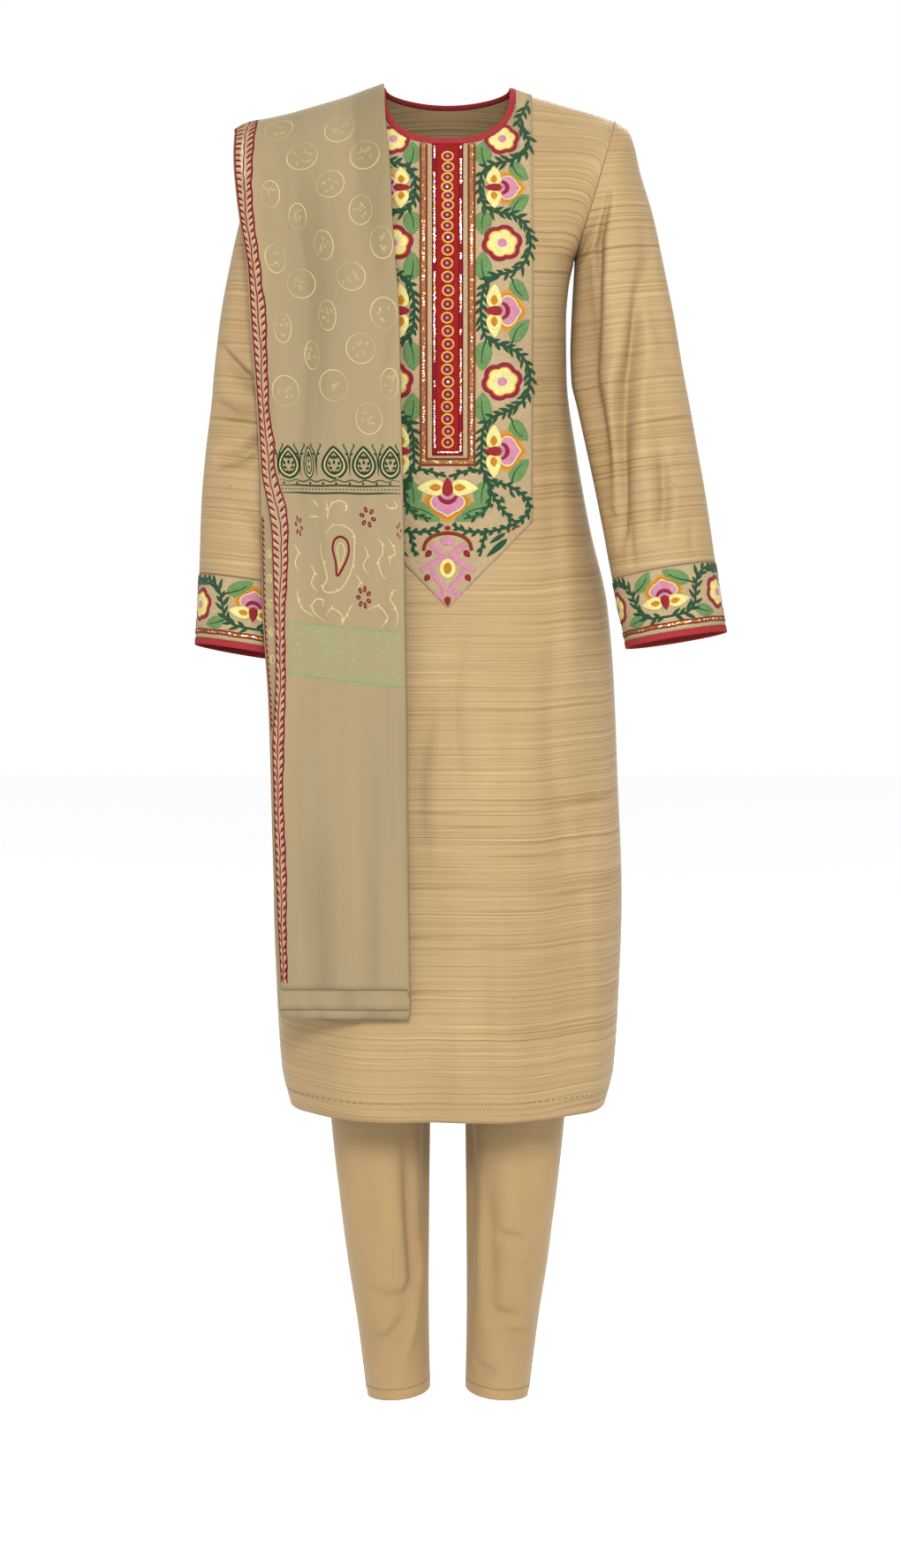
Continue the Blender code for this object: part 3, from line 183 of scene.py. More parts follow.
# A trough is a long soft fold along a path of flat places; lean makes one of its
# walls steeper than the other.
Trough = namedtuple("Trough", "path width depth lean")
LEFT_SLEEVE_TROUGHS = [
    Trough(((0.083, 0.046), (0.104, 0.092), (0.114, 0.150), (0.119, 0.205), (0.124, 0.270)),
           0.0085, -0.0150, 0.25),
    Trough(((0.058, 0.170), (0.070, 0.215), (0.086, 0.292), (0.106, 0.362), (0.124, 0.425),
            (0.136, 0.480)), 0.0105, -0.0190, -0.25),
    Trough(((0.126, 0.070), (0.134, 0.160), (0.136, 0.260), (0.140, 0.360), (0.148, 0.455)),
           0.0200, -0.0180, 0.0),
    Trough(((0.066, 0.392), (0.074, 0.440), (0.092, 0.486)), 0.0080, -0.0090, 0.2),
    Trough(((0.040, 0.110), (0.046, 0.200), (0.040, 0.300)), 0.0130, -0.0060, 0.0),
    Trough(((0.226, 0.100), (0.216, 0.240), (0.230, 0.400)), 0.0110, -0.0150, 0.2),
    Trough(((0.280, 0.160), (0.268, 0.300), (0.276, 0.470)), 0.0110, -0.0130, -0.2),
]
RIGHT_SLEEVE_TROUGHS = [
    Trough(((0.074, 0.050), (0.096, 0.100), (0.112, 0.180), (0.120, 0.262)), 0.0096, -0.0150, 0.2),
    Trough(((0.020, 0.268), (0.056, 0.300), (0.100, 0.330)), 0.0084, -0.0120, -0.2),
    Trough(((0.012, 0.336), (0.050, 0.350), (0.094, 0.350)), 0.0074, -0.0099, 0.2),
    Trough(((0.030, 0.404), (0.070, 0.392), (0.108, 0.366)), 0.0079, -0.0111, 0.2),
    Trough(((0.146, 0.060), (0.144, 0.160), (0.148, 0.380)), 0.0108, -0.0120, 0.0),
    Trough(((0.118, 0.280), (0.122, 0.360), (0.112, 0.450)), 0.0094, -0.0120, -0.2),
    Trough(((0.230, 0.120), (0.220, 0.260), (0.232, 0.420)), 0.0108, -0.0150, 0.2),
    Trough(((0.282, 0.200), (0.266, 0.330), (0.274, 0.460)), 0.0108, -0.0128, -0.2),
]

# A crease is a short soft trough (or ridge) from one place to another, both given
# in the piece's own flat sizes, in metres.
Crease = namedtuple("Crease", "start end width depth")
FRONT_CREASES = [
    Crease((0.131, -0.196), (0.098, -0.150), 0.0050, -0.0022),
    Crease((0.126, -0.222), (0.094, -0.206), 0.0045, -0.0018),
    Crease((0.124, -0.262), (0.097, -0.262), 0.0050, -0.0016),
    Crease((0.126, -0.306), (0.092, -0.318), 0.0060, -0.0022),
    Crease((0.130, -0.350), (0.099, -0.372), 0.0055, -0.0020),
    Crease((-0.128, -0.300), (-0.096, -0.316), 0.0060, -0.0018),
    Crease((-0.132, -0.352), (-0.100, -0.366), 0.0050, -0.0016),
    Crease((0.160, -0.044), (0.120, -0.060), 0.0060, 0.0012),
    Crease((0.150, -0.100), (0.112, -0.106), 0.0060, -0.0014),
    Crease((0.013, -0.566), (0.014, -0.724), 0.0085, -0.0034),
    Crease((0.112, -0.560), (0.136, -0.850), 0.0100, -0.0052),
    Crease((0.068, -0.640), (0.078, -0.910), 0.0140, -0.0036),
    Crease((-0.016, -0.640), (-0.026, -0.800), 0.0100, -0.0046),
    Crease((0.044, -0.860), (0.050, -1.060), 0.0120, -0.0036),
    Crease((0.160, -0.700), (0.152, -0.980), 0.0080, -0.0034),
    Crease((0.094, -0.940), (0.112, -1.066), 0.0100, -0.0034),
    Crease((0.060, -0.700), (0.020, -0.724), 0.0080, -0.0014),
    Crease((0.120, -0.880), (0.070, -0.896), 0.0080, -0.0013),
    Crease((0.170, -0.700), (0.130, -0.730), 0.0070, -0.0016),
]
BACK_CREASES = [
    Crease((0.126, -0.290), (0.070, -0.304), 0.0070, -0.0028),
    Crease((0.122, -0.330), (0.058, -0.352), 0.0070, -0.0030),
    Crease((-0.124, -0.300), (-0.064, -0.322), 0.0070, -0.0028),
    Crease((-0.128, -0.350), (-0.070, -0.366), 0.0060, -0.0026),
    Crease((0.050, -0.380), (-0.020, -0.392), 0.0070, -0.0022),
    Crease((0.150, -0.090), (0.100, -0.120), 0.0070, -0.0022),
    Crease((-0.150, -0.100), (-0.096, -0.124), 0.0070, -0.0022),
    Crease((0.110, -0.620), (0.040, -0.650), 0.0080, -0.0018),
    Crease((-0.150, -0.700), (-0.080, -0.716), 0.0080, -0.0018),
    Crease((0.070, -0.560), (0.084, -0.860), 0.0110, -0.0046),
    Crease((0.010, -0.600), (0.002, -0.900), 0.0120, -0.0042),
    Crease((-0.060, -0.570), (-0.072, -0.840), 0.0100, -0.0044),
    Crease((-0.130, -0.620), (-0.138, -0.960), 0.0100, -0.0040),
    Crease((0.130, -0.760), (0.136, -1.040), 0.0090, -0.0036),
]

SleeveRow = namedtuple(
    "SleeveRow", "along outer_x outer_z inner_x inner_z y half_depth tilt")
SLEEVE_HEAD = [
    SleeveRow(0.04, 0.1895, -0.0420, 0.1341, -0.1800, 0.000, 0.0570, 0.0),
    SleeveRow(0.09, 0.1960, -0.0570, 0.1339, -0.1850, 0.000, 0.0575, 0.0),
    SleeveRow(0.16, 0.2025, -0.0850, 0.1334, -0.1945, -0.001, 0.0578, 0.0),
]
LEFT_SLEEVE = SLEEVE_HEAD + [
    SleeveRow(0.26, 0.2165, -0.1310, 0.1322, -0.2130, -0.003, 0.0575, 0.0),
    SleeveRow(0.37, 0.2290, -0.1880, 0.1306, -0.2430, -0.006, 0.0565, 0.0),
    SleeveRow(0.48, 0.2395, -0.2400, 0.1294, -0.2760, -0.012, 0.0550, 1.0),
    SleeveRow(0.60, 0.2475, -0.2900, 0.1300, -0.3040, -0.022, 0.0535, 3.0),
    SleeveRow(0.68, 0.2535, -0.3230, 0.1365, -0.3340, -0.030, 0.0520, 5.0),
    SleeveRow(0.78, 0.2615, -0.3700, 0.1475, -0.3850, -0.042, 0.0495, 7.0),
    SleeveRow(0.88, 0.2710, -0.4260, 0.1590, -0.4410, -0.055, 0.0470, 8.0),
    SleeveRow(1.00, 0.2805, -0.4936, 0.1729, -0.5120, -0.068, 0.0440, 9.0),
    SleeveRow(1.143, 0.2916, -0.5657, 0.1871, -0.5825, -0.081, 0.0415, 9.0),
]
RIGHT_SLEEVE = SLEEVE_HEAD + [
    SleeveRow(0.26, 0.2175, -0.1310, 0.1322, -0.2130, -0.003, 0.0575, 0.0),
    SleeveRow(0.37, 0.2305, -0.1860, 0.1306, -0.2430, -0.006, 0.0565, 0.0),
    SleeveRow(0.48, 0.2405, -0.2420, 0.1294, -0.2800, -0.012, 0.0550, 1.0),
    SleeveRow(0.60, 0.2460, -0.2930, 0.1296, -0.3080, -0.022, 0.0535, 3.0),
    SleeveRow(0.68, 0.2490, -0.3300, 0.1345, -0.3430, -0.030, 0.0520, 5.0),
    SleeveRow(0.78, 0.2545, -0.3800, 0.1405, -0.3950, -0.042, 0.0495, 7.0),
    SleeveRow(0.88, 0.2585, -0.4350, 0.1470, -0.4500, -0.055, 0.0470, 8.0),
    SleeveRow(1.00, 0.2605, -0.5065, 0.1535, -0.5235, -0.068, 0.0440, 9.0),
    SleeveRow(1.143, 0.2640, -0.5786, 0.1580, -0.5960, -0.081, 0.0415, 9.0),
]
BAND_SEAM = 1.0
BINDING_SEAM = 1.130
CUFF_END = 1.143
ARMHOLE_BLEND = 0.16
SLEEVE_LENGTH = 0.50         # along 0 to 1, shoulder to band seam
SLEEVE_GIRTH_RADIUS = 0.055  # turns a place round the sleeve into a flat width

# Soft troughs along a sleeve: turn is the place round it (0 outer edge, 90 front).
SleeveFold = namedtuple("SleeveFold", "turn start end width depth")
LEFT_SLEEVE_FOLDS = [
    SleeveFold(70, 0.20, 0.98, 20, -0.0045),
    SleeveFold(118, 0.16, 0.90, 18, 0.0035),
    SleeveFold(150, 0.30, 0.85, 16, -0.0035),
    SleeveFold(250, 0.25, 0.90, 20, -0.0040),
]
RIGHT_SLEEVE_FOLDS = [
    SleeveFold(60, 0.25, 0.80, 20, -0.0035),
    SleeveFold(130, 0.40, 0.85, 18, -0.0040),
    SleeveFold(260, 0.25, 0.90, 22, -0.0045),
]
# Smaller creases: (metres round from the outer edge, metres down from the shoulder).
LEFT_SLEEVE_CREASES = [
    Crease((0.096, 0.096), (0.100, 0.190), 0.0080, 0.0020),
    Crease((0.066, 0.290), (0.078, 0.376), 0.0080, 0.0020),
    Crease((0.030, 0.160), (0.062, 0.190), 0.0070, -0.0018),
    Crease((0.030, 0.300), (0.064, 0.288), 0.0070, -0.0022),
    Crease((0.036, 0.398), (0.064, 0.416), 0.0070, -0.0024),
    Crease((0.128, 0.466), (0.156, 0.440), 0.0060, -0.0030),
    Crease((0.048, 0.462), (0.054, 0.492), 0.0050, -0.0020),
    Crease((0.116, 0.456), (0.122, 0.494), 0.0050, -0.0022),
    Crease((0.200, 0.300), (0.260, 0.318), 0.0060, -0.0022),
    Crease((0.300, 0.330), (0.320, 0.352), 0.0060, -0.0016),
]
RIGHT_SLEEVE_CREASES = [
    Crease((0.014, 0.436), (0.076, 0.430), 0.0060, -0.0028),
    Crease((0.060, 0.440), (0.114, 0.468), 0.0056, -0.0032),
    Crease((0.022, 0.482), (0.090, 0.478), 0.0050, -0.0022),
    Crease((0.032, 0.116), (0.050, 0.230), 0.0080, -0.0036),
    Crease((0.060, 0.180), (0.074, 0.250), 0.0070, 0.0020),
    Crease((0.210, 0.330), (0.268, 0.340), 0.0060, -0.0022),
]

LegRow = namedtuple("LegRow", "z centre half_width half_depth")
LEG = [
    LegRow(-0.700, 0.0800, 0.0780, 0.089),
    LegRow(-0.850, 0.0790, 0.0690, 0.079),
    LegRow(-1.000, 0.0755, 0.0580, 0.065),
    LegRow(-1.104, 0.0725, 0.0535, 0.058),
    LegRow(-1.250, 0.0650, 0.0445, 0.051),
    LegRow(-1.330, 0.0590, 0.0385, 0.046),
    LegRow(-1.408, 0.0535, 0.0345, 0.0425),
]
HipRow = namedtuple("HipRow", "z half_width front back")
HIP = [
    HipRow(-0.350, 0.1200, 0.086, 0.066),
    HipRow(-0.400, 0.1255, 0.087, 0.069),
    HipRow(-0.480, 0.1496, 0.092, 0.088),
    HipRow(-0.550, 0.1682, 0.096, 0.102),
    HipRow(-0.620, 0.1710, 0.098, 0.108),
    HipRow(-0.720, 0.1630, 0.095, 0.105),
]
WAIST_Z = -0.385
WAISTBAND_TOP_Z = -0.350
CROTCH_START_Z = -0.590
CROTCH_END_Z = -0.740
TROUSER_INNER_HEM_Z = -1.398
TROUSER_OUTER_HEM_DROP = 0.010

DrapeRow = namedtuple("DrapeRow", "z neck_depth arm_depth neck_x arm_x")
FRONT_FALL = [
    DrapeRow(0.020, 0.088, 0.066, 0.0680, 0.2200),
    DrapeRow(-0.045, 0.0915, 0.068, 0.0650, 0.2225),
    DrapeRow(-0.100, 0.0985, 0.069, 0.0590, 0.2190),
    DrapeRow(-0.140, 0.1075, 0.071, 0.0570, 0.2145),
    DrapeRow(-0.186, 0.1190, 0.074, 0.0530, 0.2080),
    DrapeRow(-0.240, 0.1245, 0.080, 0.0495, 0.2050),
    DrapeRow(-0.327, 0.1260, 0.090, 0.0480, 0.1982),
    DrapeRow(-0.414, 0.1270, 0.104, 0.0460, 0.1935),
    DrapeRow(-0.466, 0.1280, 0.115, 0.0450, 0.1925),
    DrapeRow(-0.548, 0.1290, 0.1280, 0.0440, 0.1905),
    DrapeRow(-0.640, 0.1300, 0.1310, 0.0425, 0.1850),
    DrapeRow(-0.825, 0.1330, 0.1310, 0.0405, 0.1805),
    DrapeRow(-0.970, 0.1365, 0.1320, 0.0385, 0.1745),
]
BACK_FALL = [
    DrapeRow(0.020, 0.062, 0.060, 0.0680, 0.2200),
    DrapeRow(-0.045, 0.0760, 0.063, 0.0660, 0.2200),
    DrapeRow(-0.100, 0.0925, 0.065, 0.0640, 0.2140),
    DrapeRow(-0.186, 0.0985, 0.072, 0.0600, 0.2020),
    DrapeRow(-0.300, 0.1000, 0.080, 0.0540, 0.1900),
    DrapeRow(-0.430, 0.1060, 0.090, 0.0480, 0.1800),
    DrapeRow(-0.540, 0.1240, 0.104, 0.0430, 0.1720),
    DrapeRow(-0.640, 0.1330, 0.112, 0.0400, 0.1680),
    DrapeRow(-0.980, 0.1350, 0.116, 0.0360, 0.1600),
]
TopLayerRow = namedtuple("TopLayerRow", "z set_back")
TOP_LAYER_EDGE = [
    TopLayerRow(-0.400, 0.0),
    TopLayerRow(-0.466, 0.0095),
    TopLayerRow(-0.550, 0.0100),
    TopLayerRow(-0.680, 0.0),
]
DUPATTA_LAYERS = 4
FRONT_END_Z = (-0.9520, -0.9660, -0.9560, -0.9345)   # innermost layer first
BACK_END_Z = (-0.950, -0.958, -0.966, -0.972)
LAYER_PITCH_TOP = 0.0007
LAYER_PITCH_END = 0.0022
DRAPE_CLEAR = 0.0013
DRAPE_NECK_X = 0.060
DRAPE_ARM_X = 0.200
DRAPE_FULLNESS = 0.35
DRAPE_NECK_LIFT = 0.0016
DRAPE_LIFT_START_X = 0.080
DRAPE_LIFT_END_X = 0.110
DRAPE_TIP_X = 0.165
DRAPE_TIP_SLOPE = 0.22
DRAPE_EDGE_DROP_X = 0.205
DRAPE_EDGE_DROP = 22.0


# ---------------------------------------------------------------- small helpers
def smooth_curve(knots, values):
    """Return a smooth function through the knots that never overshoots them."""
    order = np.argsort(knots)
    knots = np.asarray(knots, dtype=float)[order]
    values = np.asarray(values, dtype=float)[order]
    steps = np.diff(knots)
    rises = np.diff(values) / steps
    slopes = np.zeros(len(knots))
    slopes[0] = rises[0]
    slopes[-1] = rises[-1]
    for i in range(1, len(steps)):
        if rises[i - 1] * rises[i] > 0:
            slopes[i] = 2 * rises[i - 1] * rises[i] / (rises[i - 1] + rises[i])

    def value(at):
        at = np.clip(at, knots[0], knots[-1])
        i = np.clip(np.searchsorted(knots, at) - 1, 0, len(steps) - 1)
        t = (at - knots[i]) / steps[i]
        start = (1 + 2 * t) * (1 - t) ** 2 * values[i] + t * (1 - t) ** 2 * steps[i] * slopes[i]
        end = t * t * (3 - 2 * t) * values[i + 1] - t * t * (1 - t) * steps[i] * slopes[i + 1]
        return start + end

    return value


def columns_of(rows):
    """Return one smooth function for each column of a table, by its name."""
    key = rows[0]._fields[0]
    knots = [getattr(row, key) for row in rows]
    return {name: smooth_curve(knots, [getattr(row, name) for row in rows])
            for name in rows[0]._fields[1:]}


def ease(t):
    """Smooth step from 0 to 1."""
    t = np.clip(t, 0.0, 1.0)
    return t * t * (3 - 2 * t)


def even_turns(count):
    """Angles of a full turn in equal steps, from 0."""
    return FULL_TURN * np.arange(count) / count


def circle(angles):
    """Places on a circle of radius one at some angles."""
    return np.stack([np.cos(angles), np.sin(angles)], axis=-1)


def unit(vectors):
    """Scale vectors to length one."""
    length = np.linalg.norm(vectors, axis=-1, keepdims=True)
    return vectors / np.maximum(length, 1e-12)


def uneven(rng, low, spread):
    """A random value from low up to low and spread together."""
    return low + spread * rng.random()


def run_along(path):
    """Distance along a path at each of its points."""
    steps = np.linalg.norm(np.diff(path, axis=0), axis=-1)
    return np.concatenate([[0.0], np.cumsum(steps)])


def path_sides(path, closed=False):
    """Unit vectors square to a flat path, to its left."""
    if closed:
        along = np.roll(path, -1, axis=0) - np.roll(path, 1, axis=0)
    else:
        along = np.gradient(path, axis=0)
    along = unit(along)
    return np.stack([-along[:, 1], along[:, 0]], axis=-1)


def across_distances(grid):
    """Distance across a grid at each point of its rows."""
    steps = np.linalg.norm(np.diff(grid, axis=1), axis=-1)
    return np.concatenate([np.zeros((len(grid), 1)), np.cumsum(steps, axis=1)], axis=1)


def row_distances(grid):
    """Mean distance down a grid at each of its rows."""
    drops = np.linalg.norm(np.diff(grid, axis=0), axis=-1).mean(axis=1)
    return np.concatenate([[0.0], np.cumsum(drops)])


def joined_around(grid):
    """A ring-shaped grid with its first column repeated at its end."""
    return np.concatenate([grid, grid[:, :1]], axis=1)


def grid_normals(grid, around=False):
    """Unit normals of a grid; around joins the last column to the first."""
    if around:
        across = np.roll(grid, -1, axis=1) - np.roll(grid, 1, axis=1)
    else:
        across = np.gradient(grid, axis=1)
    down = np.gradient(grid, axis=0)
    return unit(np.cross(down, across))


def facing(normals, grid, centre_of):
    """Turn all normals so that they point away from a centre line."""
    outward = np.sum(normals * (grid - centre_of), axis=-1)
    return normals if np.sum(outward) > 0 else -normals


def crease_height(creases, u, v):
    """Depth of the small creases at the flat places u, v of a piece."""
    total = np.zeros(np.broadcast(u, v).shape)
    for crease in creases:
        (u0, v0), (u1, v1) = crease.start, crease.end
        run_u, run_v = u1 - u0, v1 - v0
        length = math.hypot(run_u, run_v)
        share = ((u - u0) * run_u + (v - v0) * run_v) / length ** 2
        swell = np.sin(HALF_TURN * np.clip(share, 0, 1))
        bow = CREASE_BOW * length * swell
        aside = ((u - u0) * run_v - (v - v0) * run_u) / length - bow
        past = np.maximum(np.maximum(-share, share - 1), 0) * length
        taper = CREASE_END + (1 - CREASE_END) * swell ** CREASE_POWER
        taper = np.exp(-(past / crease.width) ** 2) * taper
        total = total + crease.depth * taper * np.exp(-(aside / crease.width) ** 2)
    return total


def trough_height(troughs, u, v):
    """Depth of the long folds at the flat places u, v of a piece."""
    total = np.zeros(np.broadcast(u, v).shape)
    for trough in troughs:
        places = np.asarray(trough.path, dtype=float)
        steps = np.diff(places, axis=0)
        lengths = np.linalg.norm(steps, axis=1)
        starts = np.concatenate([[0.0], np.cumsum(lengths)])
        nearest = np.full(total.shape, np.inf)
        side = np.zeros(total.shape)
        share = np.zeros(total.shape)
        for k, (place, step, length) in enumerate(zip(places, steps, lengths)):
            along = np.clip(((u - place[0]) * step[0] + (v - place[1]) * step[1]) / length ** 2, 0, 1)
            off_u = u - place[0] - along * step[0]
            off_v = v - place[1] - along * step[1]
            apart = np.hypot(off_u, off_v)
            closer = apart < nearest
            nearest = np.where(closer, apart, nearest)
            side = np.where(closer, np.sign(off_u * step[1] - off_v * step[0]), side)
            share = np.where(closer, (starts[k] + along * length) / starts[-1], share)
        width = trough.width * (1 + side * trough.lean)
        taper = np.sin(HALF_TURN * np.clip(share, TROUGH_TIP, 1 - TROUGH_TIP)) ** TROUGH_POWER
        total = total + trough.depth * taper * np.exp(-(nearest / width) ** 2)
    return total


body = columns_of(BODY)
front_fall = columns_of(FRONT_FALL)
back_fall = columns_of(BACK_FALL)
top_layer_edge = columns_of(TOP_LAYER_EDGE)["set_back"]
column_lean = columns_of(COLUMN_LEAN)["top_x"]
leg = columns_of(LEG)
hip = columns_of(HIP)


# ---------------------------------------------------------------- the kameez form
def neck_turn_up(x):
    """Extra height of the shoulder line close to the neck."""
    return NECK_RISE * np.exp(-(x / NECK_SPREAD) ** 2)


def shoulder_height(x):
    """Height of the shoulder seam at x; zero at the side of the neck."""
    fall = SHOULDER_SLOPE * (np.abs(x) - NECK_HALF_WIDTH)
    return neck_turn_up(x) - neck_turn_up(NECK_HALF_WIDTH) - fall


SHOULDER_TIP_Z = float(shoulder_height(SHOULDER_TIP_X))


def edge_x(z):
    """Half the body's width: the side seam, then the armhole's straight line."""
    rise = (z - ARMPIT_Z) / (SHOULDER_TIP_Z - ARMPIT_Z)
    armhole = ARMPIT_X + rise * (SHOULDER_TIP_X - ARMPIT_X)
    return np.where(z > ARMPIT_Z, armhole, body["half_width"](z))


def fold_height(folds, x, z):
    """Sum of the folds' ridges and troughs at a place on a panel."""
    total = np.zeros(np.broadcast(x, z).shape)
    for fold in folds:
        share = (fold.z_top - z) / (fold.z_top - fold.z_bottom)
        centre = fold.x_top + np.clip(share, 0, 1) * (fold.x_bottom - fold.x_top)
        strength = ease(share / FOLD_FADE)
        if fold.z_bottom > HEM_Z:
            strength = strength * ease((1 - share) / FOLD_FADE)
        total = total + fold.depth * strength * np.exp(-((x - centre) / fold.width) ** 2)
    return total


def armhole_depth(rise, side, roundness=0.5):
    """Depth of the armhole's oval at a share of its height."""
    greatest = ARMHOLE_FRONT if side < 0 else ARMHOLE_BACK
    return greatest * (4 * np.clip(rise * (1 - rise), 0, 1)) ** roundness


def body_depth(x, z, side):
    """Depth of the kameez before (side -1) or behind (side 1) the seam plane."""
    centre = body["front" if side < 0 else "back"](z)
    rise = np.clip((z - ARMPIT_Z) / (shoulder_height(x) - ARMPIT_Z), 0, 1)
    across = np.clip(np.abs(x) / edge_x(z), 0, 1)
    full = centre * np.sqrt(1 - rise ** 2)
    edge = armhole_depth(rise, side, 0.5 + ARMHOLE_SOFTNESS * (1 - across))
    flat_power = 1 / BODY_POWER
    power = flat_power + (1 - flat_power) * ease(rise / ARMHOLE_FILL_HEIGHT)
    depth = edge + (full - edge) * (1 - across ** BODY_POWER) ** power
    slit = SLIT_HALF_GAP * ease((SLIT_TOP_Z - z) / (SLIT_TOP_Z - HEM_Z))
    folds = FRONT_FOLDS if side < 0 else BACK_FOLDS
    creases = FRONT_CREASES if side < 0 else BACK_CREASES
    away_from_seam = ease((1 - across) / SEAM_CALM)
    relief = fold_height(folds, x, z) + crease_height(creases, x, z) * ease((1 - rise) / TOP_CALM)
    return SEAM_GAP / 2 + depth + slit + away_from_seam * relief


def neckline_z(x, side):
    """Height of the neck's cut edge at x."""
    if side < 0:
        depth, power = NECK_FRONT_DEPTH, NECK_FRONT_POWER
    else:
        depth, power = NECK_BACK_DEPTH, NECK_BACK_POWER
    across = np.clip(np.abs(x) / NECK_HALF_WIDTH, 0, 1)
    return -depth * (1 - across ** power) ** (1 / power)


def body_normals(x, z, side):
    """Unit normals of the kameez form, from the slope of its depth."""
    step = SLOPE_STEP
    inside_z = np.minimum(z, shoulder_height(x) - step)
    slope_x = (body_depth(x + step, inside_z, side) - body_depth(x - step, inside_z, side)) / (2 * step)
    slope_z = (body_depth(x, inside_z + step, side) - body_depth(x, inside_z - step, side)) / (2 * step)
    return unit(np.stack([-slope_x, np.full(np.shape(slope_x), float(side)), -slope_z], axis=-1))


def on_body(x, z, side):
    """Points of the kameez form at places x, z of its front or back."""
    return np.stack([x, side * body_depth(x, z, side), z], axis=-1)


def front_surface(flat):
    """Points and normals of the kameez front at flat places (x, z)."""
    x = flat[:, 0]
    z = flat[:, 1]
    return on_body(x, z, FRONT), body_normals(x, z, FRONT)


# ---------------------------------------------------------------- adjustable values
def colour_of(red, green, blue):
    """Turn 0-255 display values into the linear colour that a shader takes."""
    made = []
    for value in (red, green, blue):
        share = value / 255
        made.append(share / 12.92 if share <= 0.04045 else ((share + 0.055) / 1.055) ** 2.4)
    return tuple(made)


def colour_property(name, description, *display):
    """A colour that a user can change."""
    return FloatVectorProperty(name=name, description=description, subtype="COLOR",
                               size=3, min=0, max=1, default=colour_of(*display))


class SuitColours(PropertyGroup):
    """Colours of the cloths, threads and prints."""
    silk: colour_property("Silk", "Ground of the raw silk", 164, 143, 110)
    silk_dark: colour_property("Silk slub", "Dark slub threads of the raw silk", 145, 122, 87)
    silk_light: colour_property("Silk light", "Light threads of the raw silk", 180, 161, 129)
    bib: colour_property("Panel cloth", "Cotton of the neck panel and cuffs", 172, 154, 124)
    trousers: colour_property("Trouser cloth", "Smooth cloth of the trousers", 164, 141, 106)
    chiffon: colour_property("Chiffon", "Ground of the dupatta", 147, 133, 106)
    binding: colour_property("Binding", "Bias binding of the neck and cuffs", 156, 60, 64)
    band: colour_property("Band", "Ground of the centre band", 143, 38, 40)
    rust: colour_property("Rust thread", "Edge threads of the braid", 128, 52, 34)
    gold: colour_property("Gold thread", "Metal thread of the braid", 206, 164, 104)
    dark_green: colour_property("Vine thread", "Vines and leaflets", 50, 89, 62)
    light_green: colour_property("Leaf thread", "Broad leaves", 111, 140, 92)
    yellow: colour_property("Yellow thread", "Petals", 206, 196, 136)
    orange: colour_property("Orange thread", "Petal edges and rings", 206, 150, 58)
    pink: colour_property("Pink thread", "Flower hearts and scrolls", 186, 134, 152)
    maroon: colour_property("Maroon thread", "Flower outlines", 146, 46, 68)
    red: colour_property("Red thread", "Buds and arches", 154, 48, 54)
    print_green: colour_property("Green print", "Block print of the dupatta", 36, 62, 42)
    print_pale: colour_property("Pale print", "Medallions and scrolls", 182, 170, 124)
    print_maroon: colour_property("Maroon print", "Border and flowers of the dupatta", 112, 36, 42)
    border_ground: colour_property("Border ground", "Ground of the dupatta's border", 158, 138, 112)
    glitter: colour_property("Glitter", "Green glitter of the dupatta's band", 124, 146, 98)


class SuitSizes(PropertyGroup):
    """Sizes of the finish that a user would change."""
    shell: FloatProperty(name="Cloth thickness", description="Thickness of the silk shells",
                         default=0.0006, min=0.0002, max=0.002, unit="LENGTH")
    stitch: FloatProperty(name="Stitch relief", description="How far embroidery stands out",
                          default=0.0005, min=0.0001, max=0.002, unit="LENGTH")
    weft_step: FloatProperty(name="Weft step", description="Typical height of a slub line",
                             default=0.0016, min=0.0005, max=0.01, unit="LENGTH")
    seed: IntProperty(name="Seed", description="Seed of the small unevennesses", default=7)


# ---------------------------------------------------------------- materials
SURFACE_INPUTS = {
    "roughness": "Roughness", "specular": "Specular IOR Level", "metallic": "Metallic",
    "sheen": "Sheen Weight", "sheen_roughness": "Sheen Roughness",
}


def shader_tree(name):
    """Start a material and return it with its node tree and main shader."""
    material = bpy.data.materials.new(name)
    material.use_nodes = True
    tree = material.node_tree
    return material, tree, tree.nodes["Principled BSDF"]


def flat_vector(tree, across, along):
    """The cloth's flat coordinates, stretched by a scale each way (per metre)."""
    place = tree.nodes.new("ShaderNodeUVMap")
    scale = tree.nodes.new("ShaderNodeMapping")
    scale.inputs["Scale"].default_value = (across, along, 1.0)
    tree.links.new(place.outputs["UV"], scale.inputs["Vector"])
    return scale.outputs["Vector"]


def flat_parts(tree, across, along):
    """The two stretched flat coordinates, each by itself."""
    parts = tree.nodes.new("ShaderNodeSeparateXYZ")
    tree.links.new(flat_vector(tree, across, along), parts.inputs["Vector"])
    return parts.outputs["X"], parts.outputs["Y"]


def noise(tree, vector, detail=2.0, roughness=0.5, distortion=0.0):
    """A noise texture read at a vector."""
    node = tree.nodes.new("ShaderNodeTexNoise")
    node.inputs["Scale"].default_value = 1.0
    node.inputs["Detail"].default_value = detail
    node.inputs["Roughness"].default_value = roughness
    node.inputs["Distortion"].default_value = distortion
    tree.links.new(vector, node.inputs["Vector"])
    return node.outputs["Fac"]


def ramp(tree, value, stops):
    """A colour ramp; stops are (place, colour) pairs."""
    node = tree.nodes.new("ShaderNodeValToRGB")
    elements = node.color_ramp.elements
    while len(elements) < len(stops):
        elements.new(0.5)
    for element, (place, colour) in zip(elements, stops):
        element.position = place
        element.color = (*colour, 1.0) if len(colour) == 3 else colour
    tree.links.new(value, node.inputs["Fac"])
    return node.outputs["Color"]


